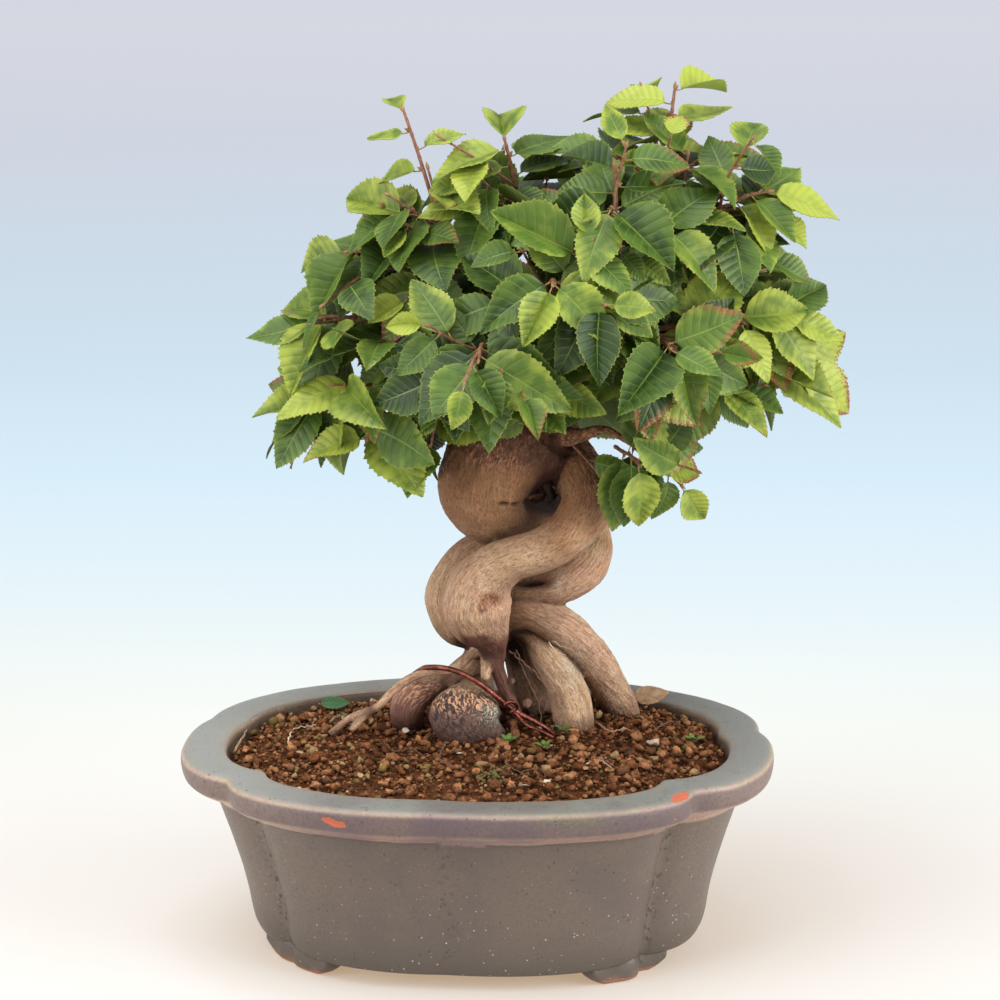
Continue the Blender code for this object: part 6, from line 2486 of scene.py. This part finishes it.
@dataclass
class GrainSoil:
    """The fired clay soil: a closed bed that fills the pot, and the loose grains on it."""

    view: FrontView
    pot: GlazedPot
    wood: BVHTree
    edge: float = 0.0738
    mound: float = 0.0034
    gap: float = 0.00035
    masters: int = 9
    large_count: int = 400
    medium_count: int = 1150
    small_count: int = 3000
    sunk: float = 0.0030
    bed_levels: dict = field(default_factory=lambda: {"shade": 0.36, "tint": 0.12})
    around: int = 170
    top_rows: int = 42
    cuts: int = 13
    cut_reach: Point = (0.46, 0.88)
    kinds: tuple = (("tan", 0.0, 0.07, 0.65), ("dark", 0.10, 0.26, 0.62),
                    ("white", 0.26, 0.266, 0.8), ("moss", 0.27, 0.32, 0.55))

    def height(self, x: np.ndarray, y: np.ndarray) -> np.ndarray:
        """The soil's height, lower along the wall.

        Args:
            x: The places' distances to the right on the pot's own axes.
            y: Their distances to the back.

        Returns:
            The heights.
        """
        wide = self.pot.half_length - self.pot.lip_width
        deep = self.pot.half_depth - self.pot.lip_width
        reach = np.hypot(x / wide, (y - self.pot.middle_back) / deep)
        root = np.hypot((x - 0.020) / 0.060, (y - 0.022) / 0.045)
        swell = noise_at(np.stack((x, y, x * 0.0), axis=1), 75.0, 9) * 0.0022
        return (self.edge + self.mound * np.exp(-root * root) + swell
                - self.sunk * smooth_step(reach, 0.74, 1.0))

    def bed(self) -> bpy.types.Object:
        """The bed: a finely crumbled top over the frame's own sides and floor.

        Returns:
            The bed.
        """
        wall = self.pot.lip_width + 0.0012 + self.gap
        top = self.pot.rim_height
        sides = ((wall, self.edge, 1.0), (0.0205 + self.gap * 1.6, top - 0.0200, 1.0),
                 (0.0272 + self.gap * 2.2, 0.0360, 1.0),
                 (0.0322 + self.gap * 2.6, self.pot.floor_top + 0.0040 + self.gap, 1.0),
                 (0.0400 + self.gap * 2, self.pot.floor_top + self.gap, 0.9))
        count = self.top_rows + len(sides)

        def place(around: np.ndarray, along: np.ndarray) -> np.ndarray:
            """The point at a fraction round the bed and from its middle to its underside."""
            index = np.rint(along * count).astype(int)
            angle = around * math.tau
            rim_x, rim_y = self.pot.lobed(angle, np.full(len(angle), wall), np.ones(len(angle)))
            reach = np.minimum(index / self.top_rows, 1.0)
            x = rim_x * reach
            y = self.pot.middle_back + (rim_y - self.pot.middle_back) * reach
            z = self.height(x, y)
            spots = np.stack((x, y, np.zeros(len(x))), axis=1)
            z = z + noise_at(spots, 210.0, 1) * 0.0007 + noise_at(spots, 700.0, 2) * 0.0004
            z = z - 0.0012 - 0.0008 * (reach > 0.97)
            for k, (inset, height, strength) in enumerate(sides):
                row = index == self.top_rows + k
                if k and row.any():
                    x[row], y[row] = self.pot.lobed(angle[row], np.full(row.sum(), inset),
                                                    np.full(row.sum(), strength))
                    z[row] = height
            last = index == count
            x[last], y[last], z[last] = 0.0, self.pot.middle_back, sides[-1][1]
            return np.stack((x, y, z), axis=1)

        body = wrapped_grid("bed", self.around, count, place)
        body.data.transform(Matrix.Translation(self.view.stand))
        return body

    def master(self, seed: int, fineness: int) -> tuple[np.ndarray, np.ndarray]:
        """One angular grain, modelled from an ico sphere by flat cuts and crumbling.

        Args:
            seed: Its number.
            fineness: The ico sphere's subdivisions.

        Returns:
            Its points, about one unit in radius, and its faces.
        """
        deselect_all()
        bpy.ops.mesh.primitive_ico_sphere_add(subdivisions=fineness, radius=1.0)
        body = bpy.context.active_object
        points = corners_of(body)
        rng = np.random.default_rng(seed)
        for _ in range(self.cuts):
            normal = rng.normal(size=3)
            normal /= np.linalg.norm(normal)
            reach = rng.uniform(*self.cut_reach)
            out = points @ normal - reach
            points = points - np.outer(np.maximum(out, 0.0) * 0.95, normal)
        rough = noise_at(points, 1.6, seed) * 0.30 + noise_at(points, 3.8, seed + 50) * 0.18
        rough += noise_at(points, 8.0, seed + 90) * 0.10
        points = points * (1.0 + rough)[:, None]
        faces = np.array([tuple(face.vertices) for face in body.data.polygons])
        bpy.data.objects.remove(body, do_unlink=True)
        return points, faces

    def spots(self, count: int, radius: tuple[float, float], spacing: float, seed: int,
              taken: list[np.ndarray]) -> list[tuple[np.ndarray, float]]:
        """Places for grains, clear of the wood and of larger grains.

        Args:
            count: How many are tried for.
            radius: The least and the greatest radius.
            spacing: How close two may be, as a part of their radii's sum.
            seed: Picks the random numbers.
            taken: The places already held, as arrays of point and radius.

        Returns:
            Each grain's middle and radius, in the row frame.
        """
        rng = random.Random(seed)
        stand = np.array(self.view.stand)
        wall = self.pot.lip_width + 0.0016
        made = []
        held = [np.array(item) for item in taken]
        for _ in range(count * 14):
            if len(made) >= count:
                break
            size = rng.uniform(*radius)
            angle = rng.uniform(0.0, math.tau)
            reach = math.sqrt(rng.random())
            x, y = self.pot.lobed(np.array([angle]), np.array([wall + size]), np.ones(1))
            x = x[0] * reach
            y = self.pot.middle_back + (y[0] - self.pot.middle_back) * reach
            z = float(self.height(np.array([x]), np.array([y]))[0])
            spot = np.array((x, y, z)) + stand
            if held:
                others = np.array(held)
                room = np.hypot(others[:, 0] - spot[0], others[:, 1] - spot[1])
                if (room < (others[:, 3] + size) * spacing).any():
                    continue
            near, normal, _, distance = self.wood.find_nearest(Vector(spot))
            if distance < size * 0.9 or (Vector(spot) - near).dot(normal) < 0:
                continue
            held.append(np.array((*spot, size)))
            made.append((spot, size))
        taken[:] = held
        return made

    def grains(self, shells: ManyShells, spots: list[tuple[np.ndarray, float]],
               masters: list[tuple[np.ndarray, np.ndarray]], seed: int, rise: float) -> None:
        """Adds grains to a mesh, each turned and tinted in its own way.

        Args:
            shells: The mesh's shells.
            spots: The grains' places and radii.
            masters: The grains that they are copies of.
            seed: Picks the random numbers.
            rise: How far a grain's middle stands over the bed, as a part of its radius.
        """
        rng = random.Random(seed)
        for spot, size in spots:
            points, faces = masters[rng.randrange(len(masters))]
            turn = Matrix.Rotation(rng.uniform(0, math.tau), 3,
                                   Vector((rng.gauss(0, 1), rng.gauss(0, 1), rng.gauss(0, 1))))
            stretch = np.array((rng.uniform(0.85, 1.25), rng.uniform(0.8, 1.1),
                                rng.uniform(0.65, 0.95)))
            body = (points * stretch) @ np.array(turn).T * size
            place = spot + np.array((0.0, 0.0, size * (rise + rng.uniform(-0.25, 0.30))))
            kind = rng.random()
            shares = {name: share for name, low, high, share in self.kinds if low < kind < high}
            shells.add(body + place, faces, tint=rng.random() ** 1.3,
                       shade=smooth_step(body[:, 2] / size, 0.45, -0.50) * 0.92, **shares)

    def build(self) -> tuple[bpy.types.Object, bpy.types.Object]:
        """The bed with its small and middling grains, and the large grains on it.

        Returns:
            The two objects.
        """
        names = ("tint", "tan", "dark", "white", "moss", "shade")
        fine = [self.master(seed, 2) for seed in range(self.masters)]
        middling = [self.master(seed + 20, 2) for seed in range(self.masters)]
        small = [self.master(seed + 40, 1) for seed in range(self.masters)]
        taken: list[np.ndarray] = []
        large = ManyShells(*names)
        self.grains(large, self.spots(self.large_count, (0.0014, 0.0028), 0.80, 1, taken),
                    fine, 2, 0.42)
        rest = ManyShells(*names)
        self.grains(rest, self.spots(self.medium_count, (0.0008, 0.0016), 0.70, 3, taken),
                    middling, 4, 0.30)
        self.grains(rest, self.spots(self.small_count, (0.0004, 0.0009), 0.52, 5, taken),
                    small, 6, 0.15)
        bed = self.bed()
        size = len(bed.data.vertices)
        mark(bed, **{name: np.full(size, self.bed_levels.get(name, 0.0)) for name in names})
        bed.data.shade_smooth()
        loose = rest.build("loose_grains", sharp=24.0)
        return join([bed, loose]), large.build("large_grains", sharp=24.0)

    def dress(self, pieces: tuple[bpy.types.Object, bpy.types.Object],
              finish: ClayGrains) -> None:
        """Gives the soil its clay.

        Args:
            pieces: The bed and the large grains.
            finish: The clay's finish.
        """
        clay = finish.paint()
        for body, name, nodes in zip(pieces, ("soil_bed", "large_grains"), (("soil",), ())):
            finish_piece(body, name, Slot.SOIL, (clay,), *nodes)


@dataclass
class TieWire:
    """The soft copper wire over the roots, with its twisted ends."""

    view: FrontView
    wood: BVHTree
    pot: GlazedPot
    radius: float = 0.00075
    bend: float = 0.0006
    tail: float = 0.0260
    turns: int = 60
    gap: float = 0.00035
    shown: float = 0.00104
    second_end: tuple = ((505, 706, .004), (512, 703, .003), (517, 709, .006),
                         (511, 714, .006), (516, 716, .009), (526, 726, .008),
                         (540, 732, .006), (553, 739, .005))

    def line(self) -> Rows:
        """The wire's line, eased until it rests on the wood.

        Returns:
            Its points and radii.
        """
        over = [self.view.seen(*pick) for pick in WIRE_OVER]
        stand = self.view.stand
        run = self.pot.floor_under - self.radius - self.gap
        back = self.pot.middle_back
        hole = self.pot.wire_hole_x
        under = [(hole, self.pot.floor_under + 4 * self.bend),
                 (hole - self.bend, run + self.bend), (hole - 3 * self.bend, run)]
        hidden = [Vector((hole, back, self.tail))]
        hidden += [Vector((x, back, z)) for x, z in under]
        hidden += [Vector((0.0, back, run))]
        hidden += [Vector((-x, back, z)) for x, z in reversed(under)]
        hidden = [point + stand for point in hidden]
        floor = self.pot.floor_top
        rise = [Vector((-hole, back, floor + 0.008)) + stand,
                Vector((-hole, back, floor + 0.020)) + stand,
                Vector((over[0].x - 0.010, over[0].y - 0.004, 0.052))]
        rows = [(point, self.radius) for point in hidden]
        rows += smooth_path([(point, self.radius) for point in rise + over], 0.0020)
        points = [row[0].copy() for row in rows]
        first = len(hidden) + 6
        want = self.radius * 1.05
        for turn in range(self.turns):
            if turn < self.turns - 10:
                for i in range(first + 1, len(points) - 1):
                    points[i] = points[i].lerp((points[i - 1] + points[i + 1]) / 2, 0.30)
            for i in range(first, len(points)):
                near, normal, _, distance = self.wood.find_nearest(points[i])
                if (points[i] - near).dot(normal) < 0:
                    points[i] = points[i] + normal * (distance + want)
                elif distance < want:
                    push = (points[i] - near).normalized()
                    points[i] = points[i] + push * (want - distance + 0.00002)
        return [(point, self.radius) for point in points]

    def build(self) -> bpy.types.Object:
        """The wire's body: the long wire and the second end twisted round it.

        Returns:
            The finished object, at the origin.
        """
        second = [(self.view.seen(*pick) + Vector((0, 0, 0.0006)), self.radius)
                  for pick in self.second_end]
        shells = ManyShells()
        for line, radius in ((self.line(), self.shown), (second, self.radius * 0.95)):
            rows = smooth_path(line, 0.0010)
            shells.add_tube(np.array([row[0] for row in rows]), np.full(len(rows), radius), 10)
        return shells.build("copper_wire")

    def dress(self, body: bpy.types.Object, finish: PlainFinish) -> None:
        """Gives the wire its copper."""
        finish_piece(body, "copper_wire", Slot.WIRE, (finish.paint(),), "tie_wire")


@dataclass
class LooseLeaves:
    """The green leaf and the dry leaf that lie on the soil."""

    view: FrontView
    pattern: LeafPattern
    lift: float = 0.0009

    def build(self) -> dict[str, bpy.types.Object]:
        """Both leaves, each where the frame's leaf lies.

        Returns:
            The objects, by the name of the frame's node.
        """
        made = {}
        for name, heading, face, length, width, curl, tone in (
                ("fallen_leaf", (1.0, 0.1, 0.0), (0.0, -0.25, 1.0), 0.0110, 0.86, 0.05, 0.15),
                ("dry_leaf", (0.9, 0.3, 0.35), (-0.5, -0.8, 0.9), 0.0140, 0.70, 0.30, 0.5)):
            low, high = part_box(name)
            along = self.view.turned(*heading).normalized()
            up = self.view.turned(*face).normalized()
            up = (up - along * up.dot(along)).normalized()
            middle = (low + high) / 2 + Vector((0.0, 0.0, self.lift))
            base = middle - along * (length * 0.5)
            leaf = Leaf(base, along, up, length, 0.001, width, curl, 0.05, tone=tone,
                        ripple=0.01)
            shells = ManyShells("tone", "rust", "under")
            self.pattern.add_to(shells, leaf)
            made[name] = shells.build(name + "_blade", "leaf")
        return made

    def dress(self, pieces: dict[str, bpy.types.Object], green: bpy.types.Material,
              dry: bpy.types.Material, stalk: bpy.types.Material) -> None:
        """Gives each leaf its finish.

        Args:
            pieces: The leaves, by the name of the frame's node.
            green: The fresh leaf's material.
            dry: The dry leaf's material.
            stalk: The stalks' material.
        """
        for name, slot, paint in (("fallen_leaf", Slot.FALLEN_LEAF, green),
                                  ("dry_leaf", Slot.DRY_LEAF, dry)):
            finish_piece(pieces[name], name + "_blade", slot, (paint, stalk), name)


@dataclass(frozen=True)
class LitterFinish:
    """The small things on the soil: each has its own colour, with soft clouds over it."""

    effects: SharedEffects
    shade: Point = (0.06, 0.03, 0.02)

    def paint(self) -> bpy.types.Material:
        """The material.

        Returns:
            The material.
        """
        coat = Coat("soil_litter")
        fine = coat.use(self.effects.mottle, Scale=420.0)["Fine"]
        parts = {name.capitalize(): coat.attribute(name) for name in ("red", "green", "blue")}
        coat.colour = coat.add("CombineColor", parts).outputs[0]
        coat.lay(self.shade, coat.band(fine, 0.2, 0.9, 0.45, 0.0))
        return coat.finish(0.75, 0.5, fine, 0.5, 0.0003)


@dataclass
class SoilLitter:
    """What lies on the soil and hangs at the roots: fine roots, weeds, moss and flakes."""

    view: FrontView
    soil: GrainSoil
    pattern: LeafPattern
    tan: Point = (0.46, 0.29, 0.15)
    brown: Point = (0.16, 0.075, 0.04)
    pale: Point = (0.75, 0.62, 0.47)
    orange: Point = (0.62, 0.27, 0.11)
    green: Point = (0.13, 0.24, 0.035)
    moss: Point = (0.10, 0.13, 0.025)
    soil_roots: tuple = (
        ("tan", .00042, ((235, 750), (248, 729), (262, 717))),
        ("pale", .00030, ((288, 743), (292, 730), (304, 727), (316, 725))),
        ("tan", .00060, ((330, 722), (341, 716), (352, 724), (366, 712))),
        ("tan", .00034, ((353, 694), (368, 688), (380, 692), (395, 690))),
        ("brown", .00030, ((384, 742), (396, 752), (411, 748), (424, 757))),
        ("brown", .00034, ((446, 742), (440, 758), (452, 768))),
        ("tan", .00028, ((596, 722), (610, 731), (628, 728), (640, 736))),
        ("brown", .00030, ((655, 730), (668, 722), (684, 727))),
        ("pale", .00022, ((586, 764), (600, 760), (612, 768))),
        ("brown", .00028, ((505, 762), (520, 772), (538, 768), (546, 776))))
    hanging: tuple = (
        ("brown", .00040, ((509, 651, .016), (530, 668, .012), (547, 689, .010),
                           (554, 722, .009))),
        ("brown", .00028, ((516, 650, .016), (526, 676, .012), (538, 702, .010),
                           (541, 724, .008))),
        ("pale", .00018, ((549, 642, .000), (556, 652, -.003), (566, 655, -.004))),
        ("pale", .00016, ((553, 641, .001), (561, 646, -.003), (572, 650, -.003))),
        ("brown", .00032, ((478, 690, .000), (470, 712, -.006), (462, 738, -.006))))
    weeds: tuple = ((508, 743), (545, 748), (565, 732), (350, 722), (694, 742))
    mosses: tuple = ((490, 775, 26, 9), (536, 716, 20, 12), (640, 700, 14, 5))
    flakes: tuple = (("orange", 574, 730, .0034), ("orange", 579, 745, .0024),
                     ("pale", 405, 730, .0022), ("pale", 547, 783, .0024),
                     ("pale", 525, 785, .0018), ("pale", 460, 753, .0018),
                     ("orange", 628, 703, .0030), ("tan", 300, 752, .0022),
                     ("tan", 586, 768, .0020), ("tan", 692, 738, .0020),
                     ("orange", 425, 768, .0018), ("tan", 360, 775, .0018))
    balls: tuple = ((527, 703, .0019, .004), (512, 681, .0012, .012))

    def spot(self, across: float, down: float, lift: float) -> np.ndarray:
        """The point over the soil that the front view shows at a place.

        Args:
            across: The place's distance from the view's left side.
            down: Its distance from the top.
            lift: How far over the soil the point is.

        Returns:
            The point.
        """
        near, far = -0.09, 0.09
        for _ in range(24):
            away = (near + far) / 2
            own = self.view.seen(across, down, away) - self.view.stand
            level = float(self.soil.height(np.array([own.x]), np.array([own.y]))[0])
            if own.z > level + lift:
                near = away
            else:
                far = away
        return np.array(own + self.view.stand)

    def tint(self, paint: str) -> dict[str, float]:
        """A colour as the values that a shell brings."""
        return dict(zip(("red", "green", "blue"), getattr(self, paint)))

    def strand(self, shells: ManyShells, points: list[np.ndarray], radius: float, paint: str,
               rng: random.Random) -> None:
        """Adds one fine root, a little crooked and thinner at its end.

        Args:
            shells: The litter's shells.
            points: What it runs through.
            radius: Its radius at its start.
            paint: The name of its colour.
            rng: Random numbers for its bends.
        """
        rows = smooth_path([(Vector(point), radius) for point in points], 0.0012)
        line = np.array([row[0] for row in rows])
        line[1:-1] += np.array([[rng.gauss(0, 0.00022) for _ in range(3)]
                                for _ in range(len(line) - 2)])
        radii = radius * np.linspace(1.0, 0.45, len(line))
        shells.add_tube(line, radii, 6, **self.tint(paint))

    def weed(self, shells: ManyShells, root: np.ndarray, rng: random.Random) -> None:
        """Adds a seedling: short stalks with tiny leaves.

        Args:
            shells: The litter's shells.
            root: Where it stands.
            rng: Random numbers for its leaves.
        """
        green = self.tint("green")
        for k in range(5):
            turn = k / 5 * math.tau + rng.uniform(0, 1)
            lean = Vector((math.cos(turn), math.sin(turn), rng.uniform(0.5, 1.3))).normalized()
            face = Vector((-lean.x * lean.z, -lean.y * lean.z, 1 - lean.z ** 2)).normalized()
            leaf = Leaf(Vector(root), lean, face, rng.uniform(0.0022, 0.0036), 0.0014,
                        0.62, 0.25, 0.2, phase=rng.uniform(0, 6))
            corners, _ = self.pattern.blade(leaf)
            shells.add(corners, self.pattern.faces, **green)
            stem = root + np.outer(np.linspace(0.0, 1.0, 3) * 0.0016, np.array(lean))
            shells.add_tube(stem, np.full(3, 0.00016), 4, **green)

    def build(self) -> bpy.types.Object:
        """All of it in one mesh.

        Returns:
            The finished object, at the origin.
        """
        rng = random.Random(77)
        shells = ManyShells("red", "green", "blue")
        for paint, radius, picks in self.soil_roots:
            points = [self.spot(x, y, 0.0016 + rng.uniform(-0.0004, 0.0008)) for x, y in picks]
            self.strand(shells, points, radius, paint, rng)
        for paint, radius, picks in self.hanging:
            points = [np.array(self.view.seen(*pick)) for pick in picks]
            self.strand(shells, points, radius, paint, rng)
        for x, y in self.weeds:
            self.weed(shells, self.spot(x, y, 0.0012), rng)
        tuft, tuft_faces = self.soil.master(61, 1)
        for x, y, wide, tall in self.mosses:
            for _ in range(46):
                place = self.spot(x + rng.gauss(0, wide / 2), y + rng.gauss(0, tall / 2), 0.0012)
                shells.add(tuft * rng.uniform(0.0003, 0.0008) + place, tuft_faces,
                           **self.tint("moss"))
        chip, chip_faces = self.soil.master(63, 2)
        for paint, x, y, size in self.flakes:
            turn = Matrix.Rotation(rng.uniform(0, math.tau), 3, "Z")
            turn = Matrix.Rotation(rng.uniform(-0.5, 0.5), 3, "X") @ turn
            plate = (chip * np.array((1.0, 0.62, 0.16))) @ np.array(turn).T * size
            shells.add(plate + self.spot(x, y, 0.0026), chip_faces, **self.tint(paint))
        ball, ball_faces = self.soil.master(65, 3)
        for x, y, size, away in self.balls:
            place = np.array(self.view.seen(x, y, away))
            shells.add(ball * size + place, ball_faces, **self.tint("brown"))
        return shells.build("soil_litter")

    def dress(self, body: bpy.types.Object, finish: LitterFinish) -> None:
        """Gives the litter its colours."""
        finish_piece(body, "soil_litter", Slot.SOIL, (finish.paint(),))


@dataclass
class Studio:
    """The pale floor, the soft lights, the world and the camera."""

    view: FrontView
    floor_size: float = 24.0
    lamps: tuple = (("overhead_softbox", (-0.35, -0.25, 1.7), 1.5, 27.0),
                    ("left_softbox", (-1.5, -1.1, 0.75), 1.2, 26.0),
                    ("right_softbox", (1.6, -0.7, 0.65), 1.2, 42.0))
    world_strength: float = 0.60
    lit_share: Point = (0.50, 0.62, 0.74)
    glow_share: Point = (0.50, 0.38, 0.26)
    glow: float = 1.30
    aim_height: float = 0.14
    world_tint: Point = (0.98, 0.98, 1.0)
    tints: tuple = ((0.0, (0.665, 0.600, 0.530)), (0.08, (0.680, 0.645, 0.605)),
                    (0.118, (0.630, 0.633, 0.590)), (0.17, (0.555, 0.618, 0.632)),
                    (0.25, (0.500, 0.617, 0.694)), (0.36, (0.482, 0.602, 0.692)),
                    (0.53, (0.515, 0.622, 0.737)), (0.77, (0.580, 0.658, 0.790)),
                    (0.99, (0.657, 0.730, 0.878)))

    def floor(self) -> None:
        """A pale floor: warm white near the eye, pale blue further away."""
        deselect_all()
        bpy.ops.mesh.primitive_plane_add(size=self.floor_size)
        plane = bpy.context.active_object
        plane.name = "studio_floor"
        material = bpy.data.materials.new("studio_floor")
        material.use_nodes = True
        sketch = Sketch(material.node_tree)
        shader = material.node_tree.nodes["Principled BSDF"]
        far = sketch.add("SeparateXYZ", {0: sketch.add("TexCoord").outputs["Object"]})
        ramp = sketch.add("ValToRGB", {0: sketch.band(far.outputs[1], -0.6, 3.4)})
        steps = ramp.color_ramp
        for element, (spot, tint) in zip(list(steps.elements), (self.tints[0], self.tints[-1])):
            element.position = spot
            element.color = (*tint, 1.0)
        for spot, tint in self.tints[1:-1]:
            steps.elements.new(spot).color = (*tint, 1.0)
        lit = sketch.mix(1.0, ramp.outputs[0], self.lit_share, "MULTIPLY")
        sketch.feed(shader.inputs["Base Color"], lit)
        own = sketch.mix(1.0, ramp.outputs[0], self.glow_share, "MULTIPLY")
        sketch.feed(shader.inputs["Emission Color"], own)
        shader.inputs["Emission Strength"].default_value = self.glow
        shader.inputs["Roughness"].default_value = 0.75
        shader.inputs["Specular IOR Level"].default_value = 0.2
        plane.data.materials.append(material)
        plane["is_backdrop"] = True

    def lamp(self, name: str, place: Point, size: float, power: float) -> None:
        """A square soft light that faces the crown.

        Args:
            name: Its name.
            place: Where it stands.
            size: Its side.
            power: Its power in watts.
        """
        deselect_all()
        bpy.ops.object.light_add(type="AREA", location=place)
        lamp = bpy.context.active_object
        lamp.name = name
        lamp.data.size = size
        lamp.data.energy = power
        aim = Vector((0.0, 0.0, self.aim_height)) - Vector(place)
        lamp.rotation_euler = aim.to_track_quat("-Z", "Y").to_euler()

    def build(self) -> None:
        """Sets up everything round the plant."""
        self.floor()
        for name, place, size, power in self.lamps:
            self.lamp(name, place, size, power)
        world = bpy.data.worlds.new("white_room")
        world.use_nodes = True
        back = world.node_tree.nodes["Background"]
        back.inputs[0].default_value = (*self.world_tint, 1.0)
        back.inputs[1].default_value = self.world_strength
        bpy.context.scene.world = world
        bpy.context.scene.camera = self.view.camera()
        bpy.context.scene.view_settings.view_transform = "Standard"


def write_sizes() -> None:
    """Works out the frame's box and the dressed model's box, and keeps neither."""
    for name, box in (("cad", CAD_BOX), ("visual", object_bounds())):
        [[float(value) for value in corner] for corner in box]


def main() -> None:
    """Builds every piece round the frame and dresses it."""
    logging.basicConfig(level=logging.INFO, format="%(message)s")
    effects = SharedEffects()
    left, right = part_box("drain_screen_left"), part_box("drain_screen_right")
    pot_maker = GlazedPot(FrontView(Vector((0.0, 0.0, 0.0))))
    middle = (left[0] + left[1] + right[0] + right[1]) / 4
    view = FrontView(Vector((middle.x, middle.y - pot_maker.middle_back, 0.0)))
    pot_maker.view = view
    Studio(view).build()
    pot_maker.dress(pot_maker.build(), StonewareGlaze(effects))
    nodes = frame["nodes"]
    cad_wood = search_tree(nodes["trunk"])
    trunk_maker = TwistedTrunk(view)
    trunk = trunk_maker.build()
    trunk_maker.dress(trunk, Bark(effects))
    wood = search_tree(trunk)
    soil_maker = GrainSoil(view, pot_maker, wood)
    soil_maker.dress(soil_maker.build(), ClayGrains(effects))
    wire_maker = TieWire(view, wood, pot_maker)
    wire_maker.dress(wire_maker.build(), PlainFinish(effects, "bare_copper", (.27, .085, .058),
                                                     (.12, .036, .027), 0.23, 0.9, 500.0))
    pattern = LeafPattern()
    pattern.model()
    leaf = LeafFinish(effects)
    twig = TwigFinish(effects)
    solid = [cad_wood, search_tree(nodes["soil"]), search_tree(nodes["tie_wire"])]
    crown = Crown(view, cad_wood, solid, CAD_BOX, pattern)
    crown.dress(crown.build(), leaf, twig)
    loose = LooseLeaves(view, pattern)
    dry = PlainFinish(effects, "dry_leaf", (.40, .27, .15), (.25, .14, .07), 0.7)
    shed = LeafFinish(effects, deep=(0.045, 0.150, 0.060), middle=(0.075, 0.230, 0.095))
    loose.dress(loose.build(), shed.paint("fallen_leaf"), dry.paint(),
                bpy.data.materials["young_twig"])
    litter = SoilLitter(view, soil_maker, pattern)
    litter.dress(litter.build(), LitterFinish(effects))
    plastic = PlainFinish(effects, "black_plastic", (.03, .03, .03), (.05, .05, .05), 0.6)
    screen = plastic.paint()
    for name in ("drain_screen_left", "drain_screen_right"):
        nodes[name].data.materials.clear()
        nodes[name].data.materials.append(screen)
    write_sizes()


if __name__ == "__main__":
    main()
